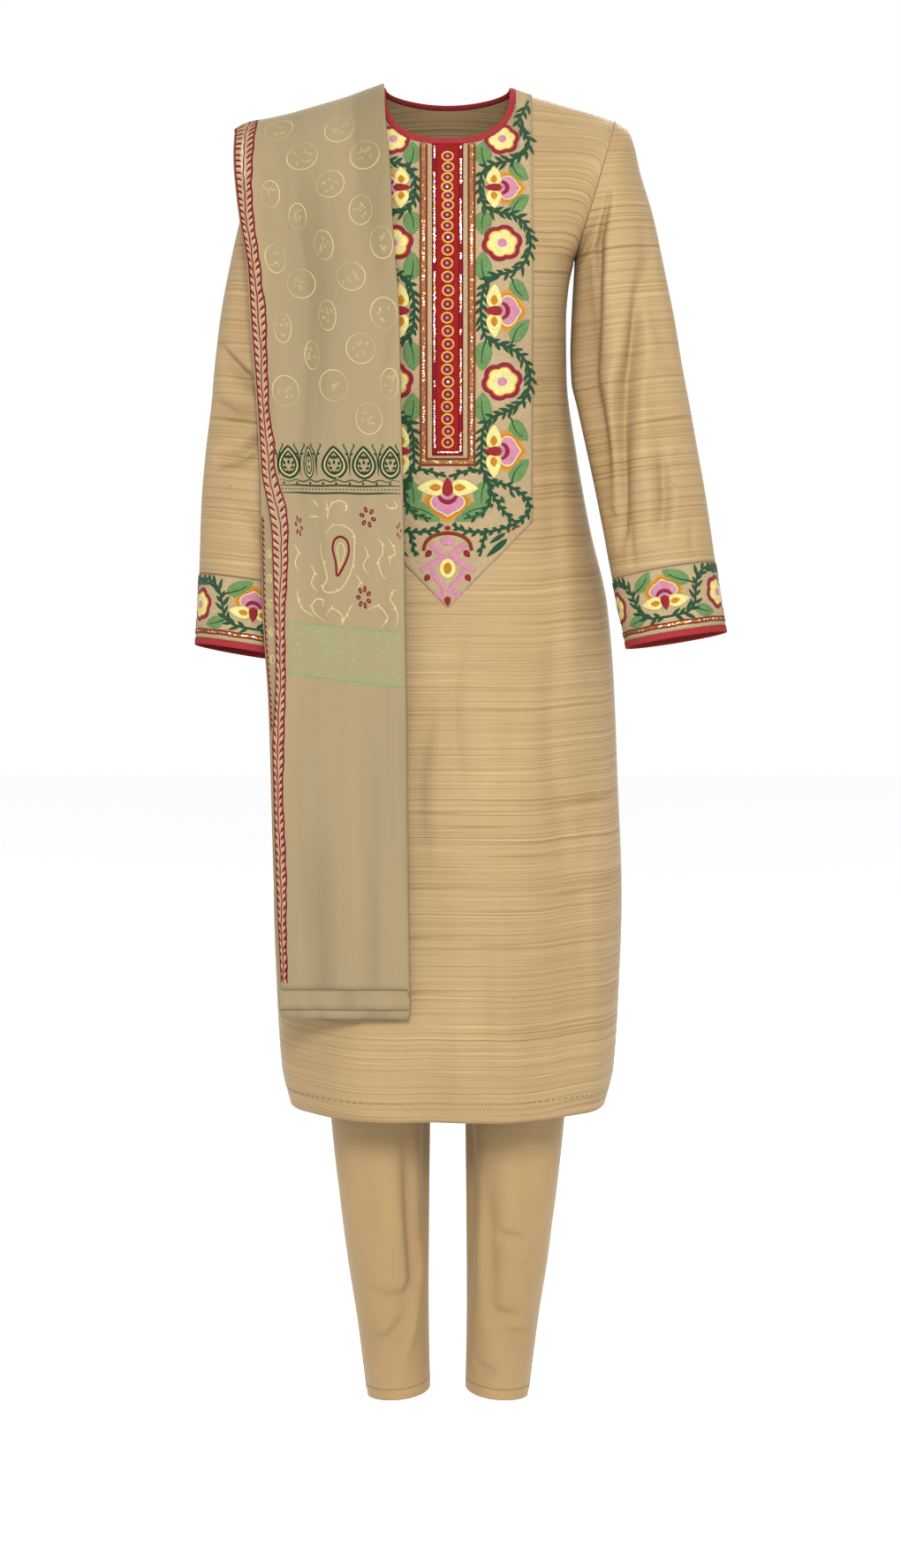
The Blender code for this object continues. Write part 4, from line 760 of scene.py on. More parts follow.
def grey(level):
    """A neutral colour for a ramp's stop."""
    return (level, level, level)


def noise_tint(tree, scale, low, high, detail=2.0, roughness=0.5):
    """A noise with a scale each way, and its grey tint between two levels."""
    value = noise(tree, flat_vector(tree, *scale), detail, roughness)
    return value, ramp(tree, value, [(0.3, grey(low)), (0.7, grey(high))])


def blend_colours(tree, mode, factor, first, second):
    """Mix two colours; factor is a number or a socket."""
    node = tree.nodes.new("ShaderNodeMix")
    node.data_type = "RGBA"
    node.blend_type = mode
    if isinstance(factor, (int, float)):
        node.inputs["Factor"].default_value = factor
    else:
        tree.links.new(factor, node.inputs["Factor"])
    for socket, value in ((node.inputs["A"], first), (node.inputs["B"], second)):
        if isinstance(value, tuple):
            socket.default_value = (*value, 1.0)
        else:
            tree.links.new(value, socket)
    return node.outputs["Result"]


def multiplied(tree, first, *others):
    """Multiply a colour by others in turn."""
    made = first
    for other in others:
        made = blend_colours(tree, "MULTIPLY", 1.0, made, other)
    return made


def arithmetic(tree, operation, first, second=0.0):
    """Combine two values; either may be a number."""
    node = tree.nodes.new("ShaderNodeMath")
    node.operation = operation
    for socket, value in zip(node.inputs, (first, second)):
        if isinstance(value, (int, float)):
            socket.default_value = value
        else:
            tree.links.new(value, socket)
    return node.outputs["Value"]


def add_bump(tree, shader, height, distance):
    """Give a shader a bump of a real height in metres."""
    node = tree.nodes.new("ShaderNodeBump")
    node.inputs["Distance"].default_value = distance
    node.inputs["Strength"].default_value = 1.0
    tree.links.new(height, node.inputs["Height"])
    tree.links.new(node.outputs["Normal"], shader.inputs["Normal"])


def coloured(tree, shader, colour, **values):
    """Link a shader's colour and set its other inputs by their short names."""
    tree.links.new(colour, shader.inputs["Base Color"])
    for name, value in values.items():
        shader.inputs[SURFACE_INPUTS[name]].default_value = value


def weave(tree, thread_step):
    """Height of a plain weave: warp and weft waves of one thread's step."""
    turns = HALF_TURN / thread_step
    across, along = flat_parts(tree, turns, turns)
    return arithmetic(tree, "MULTIPLY", arithmetic(tree, "SINE", across), arithmetic(tree, "SINE", along))


# Uneven lines of the raw silk: stretch across (per metre), share of the weft's
# fineness, then the noise's own values.
SlubLine = namedtuple("SlubLine", "across fineness detail roughness distortion")
SLUB_LINES = {
    "fine": SlubLine(3.0, 1.0, 2.0, 0.5, 0.1),
    "middle": SlubLine(1.3, 0.42, 1.0, 0.5, 0.06),
    "strong": SlubLine(0.7, 0.11, 1.0, 0.3, 0.04),
    "bright": SlubLine(0.9, 0.15, 1.0, 0.3, 0.04),
}
# Tints that the lines give: (noise value, colour).
SLUB_TINTS = {
    "middle": [(0.30, (0.86, 0.83, 0.78)), (0.42, grey(1.0)), (0.62, grey(1.0)),
               (0.74, (1.09, 1.10, 1.12))],
    "strong": [(0.440, grey(1.0)), (0.455, (0.80, 0.75, 0.67)), (0.474, grey(1.0)),
               (0.600, grey(1.0)), (0.612, (0.88, 0.85, 0.79)), (0.626, grey(1.0))],
    "bright": [(0.520, grey(1.0)), (0.535, (1.13, 1.15, 1.18)), (0.550, grey(1.0))],
}
TONE_TINT = [(0.3, (0.95, 0.93, 0.90)), (0.7, (1.05, 1.05, 1.05))]
FLECK_TINT = [(0.195, (0.42, 0.33, 0.22)), (0.222, grey(1.0))]
FLECK_STRENGTH = 0.8
SLUB_HEIGHT = 0.00035


def raw_silk_material(colours, sizes):
    """Hand-woven raw silk: long uneven weft lines, rare dark flecks and a low sheen."""
    material, tree, shader = shader_tree("raw_silk_cloth")
    lines_per_metre = 1.0 / sizes.weft_step
    lines = {}
    for name, line in SLUB_LINES.items():
        vector = flat_vector(tree, line.across, lines_per_metre * line.fineness)
        lines[name] = noise(tree, vector, line.detail, line.roughness, line.distortion)
    ground = ramp(tree, lines["fine"], [
        (0.28, colours.silk_dark[:]), (0.44, colours.silk[:]), (0.60, colours.silk[:]),
        (0.76, colours.silk_light[:])])
    tints = [ramp(tree, lines[name], stops) for name, stops in SLUB_TINTS.items()]
    tone = ramp(tree, noise(tree, flat_vector(tree, 7.0, 4.0)), TONE_TINT)
    flecks = ramp(tree, noise(tree, flat_vector(tree, 150.0, 480.0), 1.0), FLECK_TINT)
    colour = blend_colours(tree, "MULTIPLY", FLECK_STRENGTH, multiplied(tree, ground, *tints, tone), flecks)
    coloured(tree, shader, colour, roughness=0.52, specular=0.22, sheen=0.05, sheen_roughness=0.45)
    height = arithmetic(tree, "ADD", lines["fine"], arithmetic(tree, "MULTIPLY", lines["middle"], 1.5))
    add_bump(tree, shader, height, SLUB_HEIGHT)
    return material


def cotton_material(name, colour):
    """Plain matt cotton under the embroidery."""
    material, tree, shader = shader_tree(name)
    _, mottle = noise_tint(tree, (420.0, 420.0), 0.88, 1.08)
    _, tone = noise_tint(tree, (20.0, 60.0), 0.95, 1.04)
    coloured(tree, shader, multiplied(tree, mottle, tuple(colour), tone), roughness=0.85,
             specular=0.1, sheen=0.04)
    add_bump(tree, shader, weave(tree, 0.0006), 0.00012)
    return material


def thread_material(name, colour, gloss=0.45, step=0.00055):
    """Embroidery thread: stitches lie side by side along the second coordinate."""
    material, tree, shader = shader_tree(name)
    wobble, tint = noise_tint(tree, (260.0, 900.0), 0.82, 1.10)
    _, tone = noise_tint(tree, (90.0, 90.0), 0.92, 1.06)
    _, along = flat_parts(tree, 40.0, FULL_TURN / step)
    shifted = arithmetic(tree, "ADD", along, arithmetic(tree, "MULTIPLY", wobble, 5.0))
    coloured(tree, shader, multiplied(tree, tint, tuple(colour), tone), roughness=1 - gloss,
             specular=0.25, sheen=0.06)
    add_bump(tree, shader, arithmetic(tree, "SINE", shifted), 0.00012)
    return material


def metal_thread_material(name, colour, roughness):
    """Metal-wrapped thread or a sequin, with small bright and dull places painted into its colour as glints.
    """
    material, tree, shader = shader_tree(name)
    glint_and_bump_noise = noise(tree, flat_vector(tree, 700.0, 700.0))
    # Painted glints: the noise makes small places of the metal's colour brighter and duller; the same noise
    # also gives the bump.
    tint = ramp(tree, glint_and_bump_noise, [(0.35, grey(0.55)), (0.62, grey(1.25))])
    coloured(tree, shader, multiplied(tree, tint, tuple(colour)), metallic=0.75, roughness=roughness)
    add_bump(tree, shader, glint_and_bump_noise, 0.0003)
    return material


def print_material(name, colour, fading=0.12):
    """Block-printed colour, a little uneven where the block pressed lightly."""
    material, tree, shader = shader_tree(name)
    _, tint = noise_tint(tree, (500.0, 500.0), 1 - fading, 1 + fading, 3.0)
    coloured(tree, shader, multiplied(tree, tint, tuple(colour)), roughness=0.8, specular=0.15)
    return material


def glitter_ground_material(colours):
    """The chiffon with a thin uneven film of green glitter on it."""
    material, tree, shader = shader_tree("glitter_ground")
    specks = noise(tree, flat_vector(tree, 420.0, 420.0), 3.0, 0.6)
    film = ramp(tree, specks, [(0.42, colours.chiffon[:]), (0.56, colours.glitter[:])])
    _, share = noise_tint(tree, (60.0, 60.0), 0.15, 0.62)
    coloured(tree, shader, blend_colours(tree, "MIX", share, colours.chiffon[:], film),
             roughness=0.55, specular=0.2)
    return material


def satin_material(colours):
    """Smooth trouser cloth with a soft sheen and faint cross lines."""
    material, tree, shader = shader_tree("trouser_cloth")
    lines, tint = noise_tint(tree, (20.0, 520.0), 0.965, 1.02, 3.0, 0.6)
    _, tone = noise_tint(tree, (12.0, 6.0), 0.94, 1.04)
    coloured(tree, shader, multiplied(tree, tint, colours.trousers[:], tone), roughness=0.5,
             specular=0.15, sheen=0.08)
    add_bump(tree, shader, lines, 0.00006)
    return material


def chiffon_material(colours):
    """Fine crepe chiffon, seen in folded layers."""
    material, tree, shader = shader_tree("dupatta_chiffon")
    crepe, tint = noise_tint(tree, (900.0, 1100.0), 0.95, 1.04)
    depth = noise(tree, flat_vector(tree, 22.0, 1.6))
    layers = ramp(tree, depth, [(0.36, (0.88, 0.87, 0.84)), (0.5, grey(1.0)),
                                (0.66, (1.06, 1.05, 1.03))])
    coloured(tree, shader, multiplied(tree, tint, colours.chiffon[:], layers), roughness=0.72,
             specular=0.1, sheen=0.1, sheen_roughness=0.6)
    add_bump(tree, shader, crepe, 0.0001)
    return material


THREADS = {}


def make_threads(colours):
    """Make the materials of every thread, trim and print, by plain names."""
    THREADS.update({
        "dark_green": thread_material("vine_thread", colours.dark_green),
        "light_green": thread_material("leaf_thread", colours.light_green, 0.35, 0.0008),
        "yellow": thread_material("yellow_thread", colours.yellow, 0.35, 0.0011),
        "orange": thread_material("orange_thread", colours.orange),
        "pink": thread_material("pink_thread", colours.pink, 0.4, 0.0009),
        "maroon": thread_material("maroon_thread", colours.maroon),
        "red": thread_material("red_thread", colours.red),
        "rust": thread_material("rust_thread", colours.rust, 0.4, 0.0012),
        "cream": thread_material("cream_thread", colour_of(212, 202, 165)),
        "amber": thread_material("amber_thread", colour_of(190, 136, 48)),
        "gold": metal_thread_material("gold_thread", colours.gold, 0.38),
        "bronze": metal_thread_material("bronze_thread", colour_of(160, 108, 66), 0.5),
        "silver": metal_thread_material("sequin_silver", colour_of(244, 232, 214), 0.22),
        "mirror": metal_thread_material("small_mirror", colour_of(236, 214, 216), 0.12),
        "band": thread_material("band_edge_thread", colour_of(110, 28, 42), 0.3, 0.0009),
        "braid_ground": thread_material("braid_ground", colour_of(150, 122, 84), 0.3, 0.0012),
        "seam": thread_material("seam_thread", colour_of(140, 112, 76), 0.3, 0.0014),
        "print_green": print_material("green_print", colours.print_green),
        "print_pale": print_material("pale_print", colours.print_pale, 0.08),
        "print_maroon": print_material("maroon_print", colours.print_maroon, 0.16),
        "print_ground": print_material("border_print", colours.border_ground, 0.06),
        # The white print gives the border's pale leaves, and also the painted glare along the border's
        # middle.
        "print_white": print_material("white_print", colour_of(180, 164, 146), 0.04),
        "glitter": print_material("green_glitter", colours.glitter, 0.2),
        "glitter_ground": glitter_ground_material(colours),
    })


# ---------------------------------------------------------------- cloth shells
def flat_coordinates(grid, around=False):
    """Flat coordinates of a grid of cloth: metres across and metres along."""
    across = across_distances(grid)
    if not around:
        across -= across[:, -1:] / 2
    return np.stack([across, np.broadcast_to(row_distances(grid)[:, None], across.shape)], axis=-1)


def new_piece(name, points, faces, corner_flats, materials, replaced):
    """Make a piece of the suit, ready on its body, with its flat coordinates."""
    mesh = bpy.data.meshes.new(name)
    mesh.from_pydata([tuple(point) for point in points], [], faces)
    layer = mesh.uv_layers.new(name="flat")
    layer.data.foreach_set("uv", np.asarray(corner_flats, dtype=np.float32).ravel())
    for material in materials:
        mesh.materials.append(material)
    mesh.polygons.foreach_set("use_smooth", [True] * len(mesh.polygons))
    mesh.update()
    piece = bpy.data.objects.new(name, mesh)
    bpy.context.scene.collection.objects.link(piece)
    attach(piece, "root")
    if replaced:
        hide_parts(*replaced)
    return piece


def turned_over(faces, flats):
    """Reverse every face, and the flat places of its corners with it."""
    turned_flats = []
    start = 0
    for face in faces:
        turned_flats.extend(reversed(flats[start:start + len(face)]))
        start += len(face)
    return [tuple(reversed(face)) for face in faces], turned_flats


def faces_inward(points, face, normal):
    """Tell whether a face of a piece looks against a normal."""
    corner = [points[index] for index in face[:3]]
    return np.dot(np.cross(corner[1] - corner[0], corner[2] - corner[0]), normal) < 0


def cloth_piece(name, grid, normals, material, replaced, thickness, around=False, flat=None):
    """A closed thin shell on a grid of points; normals point out of the cloth."""
    rows, columns = grid.shape[:2]
    flat = flat_coordinates(grid, around) if flat is None else flat
    points = np.concatenate([grid.reshape(-1, 3), (grid - normals * thickness).reshape(-1, 3)])
    count = rows * columns
    last = columns if around else columns - 1
    girth = np.linalg.norm(grid[:, 0] - grid[:, -1], axis=-1)
    faces = []
    flats = []
    for i in range(rows - 1):
        for j in range(last):
            k = (j + 1) % columns
            cell = (i * columns + j, i * columns + k, (i + 1) * columns + k, (i + 1) * columns + j)
            corners = [flat[i, j], flat[i, k].copy(), flat[i + 1, k].copy(), flat[i + 1, j]]
            if k == 0:
                corners[1][0] = flat[i, j][0] + girth[i]
                corners[2][0] = flat[i + 1, j][0] + girth[i + 1]
            faces.append(cell)
            flats.extend(corners)
            faces.append(tuple(index + count for index in reversed(cell)))
            flats.extend(reversed(corners))
    edges = []
    for j in range(last):
        k = (j + 1) % columns
        edges.append(((0, k), (0, j)))
        edges.append(((rows - 1, j), (rows - 1, k)))
    if not around:
        for i in range(rows - 1):
            edges.append(((i, 0), (i + 1, 0)))
            edges.append(((i + 1, last), (i, last)))
    for start, end in edges:
        a, b = (row * columns + column for row, column in (start, end))
        faces.append((a, b, b + count, a + count))
        flats.extend([flat[start], flat[end], flat[end], flat[start]])
    if faces_inward(points, faces[0], normals[0, 0]):
        faces, flats = turned_over(faces, flats)
    return new_piece(name, points, faces, flats, [material], replaced)


def half_columns(middle_steps, outer_steps):
    """Columns of half a panel: (low_x, top_x, share towards the side)."""
    low = list(np.linspace(0, NECK_SIDE_LOW_X, middle_steps + 1))
    low += [(NECK_SIDE_LOW_X + BIB_HALF_WIDTH) / 2, BIB_HALF_WIDTH]
    columns = [(x, float(column_lean(x)), 0.0) for x in low]
    for k in range(1, outer_steps + 1):
        columns.append((BIB_HALF_WIDTH, BIB_HALF_WIDTH, math.sin(QUARTER_TURN * k / outer_steps)))
    return columns


def top_height(x, side):
    """Height of a panel's top edge at x: the neck's cut edge or the shoulder seam."""
    if abs(x) < NECK_HALF_WIDTH:
        return float(neckline_z(x, side))
    return float(shoulder_height(x))


def panel_column(low_x, high_x, high_z, rises, x_down, z_down, side):
    """Points of one column: from its top to the armpit's height, then on down."""
    x = np.concatenate([low_x + rises * (high_x - low_x), x_down])
    z = np.concatenate([ARMPIT_Z + rises * (high_z - ARMPIT_Z), z_down])
    return on_body(x, z, side)


def panel_grid(side, half, rises, heights):
    """Points of a body panel, in columns from its top edge down to the hem."""
    columns = [(-low, -top, share) for low, top, share in reversed(half[1:])] + half
    grid = []
    for low, top, share in columns:
        sign = -1.0 if low < 0 else 1.0
        low_x = sign * (abs(low) + share * (ARMPIT_X - abs(low)))
        high_x = sign * (abs(top) + share * (SHOULDER_TIP_X - abs(top)))
        x_down = sign * (abs(low) + share * (edge_x(heights) - abs(low)))
        grid.append(panel_column(low_x, high_x, top_height(high_x, side), rises, x_down, heights, side))
    return np.stack(grid, axis=1)


def panel_normals(grid, side):
    """Normals of a body panel, kept square to its side and shoulder seams."""
    normals = body_normals(grid[:, :, 0], grid[:, :, 2], side)
    normals[:, [0, -1], 1] = 0
    on_shoulder = np.abs(grid[0, :, 0]) >= NECK_HALF_WIDTH - SAME_PLACE
    normals[0, on_shoulder, 1] = 0
    return unit(normals)


def armhole_rises(steps):
    """Shares of the armhole's height from the top, close where its oval turns."""
    return (1 + np.cos(HALF_TURN * np.arange(steps + 1) / steps)) / 2


class GridSurface:
    """A place on cloth, found from its own coordinates on a grid of points."""

    def __init__(self, grid, normals, shares, along, around=False):
        if around:
            grid = joined_around(grid)
            normals = joined_around(normals)
        self.grid = grid
        self.normals = normals
        self.shares = shares
        self.along = along

    def __call__(self, flat):
        """Points and normals at flat places (share across, distance along)."""
        column = np.interp(flat[:, 0], self.shares, np.arange(len(self.shares)))
        row = np.interp(flat[:, 1], self.along, np.arange(len(self.along)))
        j = np.clip(column.astype(int), 0, len(self.shares) - 2)
        i = np.clip(row.astype(int), 0, len(self.along) - 2)
        s = (column - j)[:, None]
        t = (row - i)[:, None]
        found = []
        for field in (self.grid, self.normals):
            top = field[i, j] * (1 - s) + field[i, j + 1] * s
            low = field[i + 1, j] * (1 - s) + field[i + 1, j + 1] * s
            found.append(top * (1 - t) + low * t)
        return found[0], unit(found[1])


# ---------------------------------------------------------------- needlework
LAID = 0.00022               # shapes start this far out from the cloth
DOME = ((1.0, 0.0), (0.93, 0.70), (0.62, 0.96))      # share of the outline, of the height
THREAD_PROFILE = ((-0.5, 0.0), (-0.3, 0.85), (0.0, 1.0), (0.3, 0.85), (0.5, 0.0))
THIN_END_RISE = 1.3          # a strand's narrow ends lie lower, by their width times this
SEQUIN_DOME = 0.12
SEQUIN_RISE = 0.0007
SEQUIN_WANDER = 0.18         # sequins stray from their line by this share of their radius
USUAL_RELIEF = 0.0005        # the stitch relief for which the heights below are given
FACING_SAMPLE = 7            # every seventh face shows which way a piece looks


class Needlework:
    """Shapes drawn in a cloth's own flat coordinates, kept apart by thread."""

    def __init__(self, surface, to_surface=None, lift=0.0, relief=1.0, keep=None):
        self.surface = surface
        self.to_surface = to_surface
        self.lift = lift
        self.relief = relief
        self.keep = keep
        self.threads = []
        self.flats = []
        self.heights = []
        self.stitches = []
        self.faces = []
        self.face_threads = []
        self.count = 0

    def add(self, thread, flat, heights, stitches, faces):
        """Keep one shape: its flat points, heights, stitch places and faces."""
        if thread not in self.threads:
            self.threads.append(thread)
        index = self.threads.index(thread)
        self.flats.append(np.asarray(flat, dtype=float))
        self.heights.append(np.asarray(heights, dtype=float))
        self.stitches.append(np.asarray(stitches, dtype=float))
        self.faces.extend(tuple(corner + self.count for corner in face) for face in faces)
        self.face_threads.extend([index] * len(faces))
        self.count += len(flat)

    def patch(self, thread, outline, height, level=0.0, grain=0.0, hub=None):
        """A filled, softly domed shape; its outline is seen whole from its hub."""
        outline = np.asarray(outline, dtype=float)
        hub = outline.mean(axis=0) if hub is None else np.asarray(hub, dtype=float)
        size = len(outline)
        flat = np.concatenate([hub + (outline - hub) * scale for scale, _ in DOME] + [hub[None]])
        heights = np.concatenate([np.full(size, level + height * rise) for _, rise in DOME]
                                 + [[level + height]])
        faces = []
        for ring in range(len(DOME) - 1):
            for i in range(size):
                k = (i + 1) % size
                faces.append((ring * size + i, ring * size + k,
                              (ring + 1) * size + k, (ring + 1) * size + i))
        base = (len(DOME) - 1) * size
        for i in range(size):
            faces.append((base + i, base + (i + 1) % size, len(flat) - 1))
        cos, sin = math.cos(grain), math.sin(grain)
        stitches = flat @ np.array([[cos, -sin], [sin, cos]])
        self.add(thread, flat, heights, stitches, faces)

    def strand(self, thread, path, width, height, level=0.0, closed=False):
        """A line of thread along a path; width is a number or one for each point."""
        path = np.asarray(path, dtype=float)
        widths = np.broadcast_to(np.asarray(width, dtype=float), (len(path),))
        aside = path_sides(path, closed)
        run = run_along(path)
        thickness = height * np.minimum(1.0, widths / max(widths.max(), 1e-9) * THIN_END_RISE)
        flat = np.concatenate([path + aside * (widths * place)[:, None] for place, _ in THREAD_PROFILE])
        heights = np.concatenate([level + thickness * rise for _, rise in THREAD_PROFILE])
        stitches = np.concatenate([np.stack([widths * place, run], axis=-1)
                                   for place, _ in THREAD_PROFILE])
        size = len(path)
        faces = []
        for lane in range(len(THREAD_PROFILE) - 1):
            for i in range(size if closed else size - 1):
                k = (i + 1) % size
                faces.append((lane * size + i, (lane + 1) * size + i,
                              (lane + 1) * size + k, lane * size + k))
        self.add(thread, flat, heights, stitches, faces)

    def stripe(self, thread, path, width, level=0.0):
        """A flat printed line along a path."""
        path = np.asarray(path, dtype=float)
        widths = np.broadcast_to(np.asarray(width, dtype=float), (len(path),))
        aside = path_sides(path)
        flat = np.concatenate([path + aside * (widths * place)[:, None] for place in (-0.5, 0.5)])
        size = len(path)
        faces = [(i, size + i, size + i + 1, i + 1) for i in range(size - 1)]
        self.add(thread, flat, np.full(len(flat), level), flat, faces)

    def dab(self, thread, outline, level=0.0):
        """A flat printed shape."""
        outline = np.asarray(outline, dtype=float)
        flat = np.concatenate([outline, outline.mean(axis=0)[None]])
        size = len(outline)
        faces = [(i, (i + 1) % size, size) for i in range(size)]
        self.add(thread, flat, np.full(len(flat), level), flat, faces)

    def wash(self, thread, grid, level):
        """A flat printed ground on a grid of flat places."""
        rows, columns = grid.shape[:2]
        faces = [(i * columns + j, i * columns + j + 1, (i + 1) * columns + j + 1, (i + 1) * columns + j)
                 for i in range(rows - 1) for j in range(columns - 1)]
        flat = grid.reshape(-1, 2)
        self.add(thread, flat, np.full(len(flat), level), flat, faces)

    def sequin(self, thread, centre, radius, height, lean, turn, sides):
        """A small round plate, leaning to one side so that it glitters."""
        ring = circle(even_turns(sides)) * radius
        tilt = lean * (ring[:, 0] * math.cos(turn) + ring[:, 1] * math.sin(turn))
        flat = np.concatenate([ring, [[0.0, 0.0]]]) + np.asarray(centre)
        heights = np.concatenate([height + tilt, [height + radius * SEQUIN_DOME]])
        faces = [(i, (i + 1) % sides, sides) for i in range(sides)]
        self.add(thread, flat, heights, flat, faces)

    def build(self, name, slot):
        """Lay everything on the cloth as one piece."""
        flat = np.concatenate(self.flats)
        if self.keep is not None:
            flat = self.keep(flat)
        places = flat if self.to_surface is None else self.to_surface(flat)
        points, normals = self.surface(places)
        heights = self.lift + LAID + self.relief * np.concatenate(self.heights)
        points = points + normals * heights[:, None]
        sample = np.array([face[:3] for face in self.faces[::FACING_SAMPLE]])
        corners = points[sample]
        out = np.cross(corners[:, 1] - corners[:, 0], corners[:, 2] - corners[:, 0])
        facing_out = np.sum(out * normals[sample[:, 0]], axis=-1)
        faces = self.faces
        if np.sum(np.sign(facing_out)) < 0:
            faces = [tuple(reversed(face)) for face in faces]
        stitches = np.concatenate(self.stitches)
        corner_flats = stitches[np.fromiter((c for face in faces for c in face), dtype=int)]
        materials = [THREADS[thread] for thread in self.threads]
        piece = new_piece(name, points, faces, corner_flats, materials, ())
        piece.data.polygons.foreach_set("material_index", self.face_threads)
        return piece


def turned(points, angle, at=(0.0, 0.0), scale=1.0, mirror=1.0):
    """Turn, scale and move flat points; mirror -1 flips them left to right."""
    points = np.asarray(points, dtype=float) * scale
    cos, sin = math.cos(angle), math.sin(angle)
    moved = points @ np.array([[cos, sin], [-sin, cos]])
    moved = moved * np.array([mirror, 1.0])
    return moved + np.asarray(at, dtype=float)


def oval(width, length, points=18):
    """An oval outline about the origin, long along the second coordinate."""
    return circle(even_turns(points)) * (width, length) / 2


def pointed_petal(width, length, points=16, belly=0.42):
    """A petal from the origin up to a point, widest at a share of its length."""
    half = points // 2
    rise = np.linspace(0, 1, half + 1)
    profile = np.sin(HALF_TURN * rise ** (math.log(0.5) / math.log(belly))) ** 0.8
    right = np.stack([profile * width / 2, rise * length], axis=-1)
    left = np.stack([-profile[1:-1] * width / 2, rise[1:-1] * length], axis=-1)[::-1]
    return np.concatenate([right, left])


def lobed_outline(radius, lobes, depth, points=72, phase=0.0):
    """A flower's outline with rounded lobes."""
    angles = even_turns(points)
    swell = np.abs(np.cos(lobes * (angles - phase) / 2)) ** 0.7
    return circle(angles) * (radius * (1 - depth + depth * swell))[:, None]


def smooth_path(knots, points, closed=False):
    """A smooth path through a few flat points."""
    knots = np.asarray(knots, dtype=float)
    if closed:
        knots = np.concatenate([knots[-1:], knots, knots[:2]])
    else:
        knots = np.concatenate([[2 * knots[0] - knots[1]], knots, [2 * knots[-1] - knots[-2]]])
    last = len(knots) - 2
    places = np.linspace(1, last, points + 1)[:-1] if closed else np.linspace(1, last, points)
    i = np.minimum(places.astype(int), last - 1)
    t = (places - i)[:, None]
    a, b, c, d = knots[i - 1], knots[i], knots[i + 1], knots[i + 2]
    return 0.5 * (2 * b + (c - a) * t + (2 * a - 5 * b + 4 * c - d) * t ** 2
                  + (3 * b - a - 3 * c + d) * t ** 3)


# ---------------------------------------------------------------- motifs
MM = 0.001
STITCH_RISE = 0.0005
LEAFLET_RISE = 0.00045
LEAFLET_WIDTH = 0.0036
VINE_BARE_END = 0.5          # a vine's ends are bare for this share of its leaves' spacing
LEAF_FULLNESS = 1.3          # the broad leaf's petal shape is this much wider than its size
LEAF_OVERLAP = 1.06
VEIN_START, VEIN_END = -0.16, 0.80     # shares of the leaf's length
VEIN_POINTS = 11
VEIN_BEND = 1.5
HEART_SHARE = 0.46           # the flower's middle, by its radius
RAY_REACHES = (0.28, 0.42, 0.58)
RAY_WIDTHS = (0.0009, 0.0007, 0.0003)
MIRRORS = (1.0, -1.0)        # the right half of a pattern, then its twin on the left
# Layers of a flower and of a lotus, from below: share of the outline, height, level.
FlowerLayer = namedtuple("FlowerLayer", "thread share depth height level")
FLOWER_LAYERS = [
    FlowerLayer("maroon", 1.0, 0.15, 0.00045, 0.0),
    FlowerLayer("orange", 0.80, 0.17, 0.00030, 0.00025),
    FlowerLayer("yellow", 0.715, 0.19, 0.00040, 0.00042),
]
LotusLayer = namedtuple("LotusLayer", "thread share height level")
LOTUS_LAYERS = [
    LotusLayer("orange", 1.0, 0.0004, 0.0),
    LotusLayer("amber", 0.90, 0.0003, 0.00020),
    LotusLayer("cream", 0.76, 0.0003, 0.00036),
    LotusLayer("pink", 0.68, 0.00035, 0.00050),
]
LOTUS_HEART = (0.0, 0.14)
LotusArc = namedtuple("LotusArc", "radius width thread level")
LOTUS_ARCS = [LotusArc(0.190, 0.110, "maroon", 0.0008), LotusArc(0.100, 0.075, "pink", 0.0009)]
ARC_SWEEP = 1.30
PETAL_LEAN = 1.52
# The outline of the lotus's middle, as shares of its width.
LOTUS_DOME = [
    (-0.36, -0.02), (-0.49, 0.10), (-0.49, 0.26), (-0.36, 0.42), (-0.17, 0.52), (0.0, 0.62),
    (0.17, 0.52), (0.36, 0.42), (0.49, 0.26), (0.49, 0.10), (0.36, -0.02), (0.0, -0.06),
]


def sew_leaflet(work, base, angle, length, width):
    """A small single leaf of straight stitches."""
    outline = turned(pointed_petal(width, length, 12), angle - QUARTER_TURN, base)
    work.patch("dark_green", outline, LEAFLET_RISE, grain=angle + 0.5)


def sew_vine(work, path, rng, spacing=0.0078, length=0.0106, width=0.0027):
    """A stem with leaflets standing off it to both sides in turn."""
    path = np.asarray(path, dtype=float)
    run = run_along(path)
    work.strand("dark_green", path, width, STITCH_RISE)
    place = spacing * VINE_BARE_END
    side = 1
    while place < run[-1] - spacing * VINE_BARE_END:
        at = np.array([np.interp(place, run, path[:, axis]) for axis in (0, 1)])
        ahead = np.array([np.interp(place + MM, run, path[:, axis]) for axis in (0, 1)]) - at
        heading = math.atan2(ahead[1], ahead[0])
        angle = heading + side * uneven(rng, 0.50, 0.30)
        sew_leaflet(work, at, angle, length * uneven(rng, 0.78, 0.44),
                    LEAFLET_WIDTH * uneven(rng, 0.85, 0.3))
        place += spacing * uneven(rng, 0.44, 0.16)
        side = -side


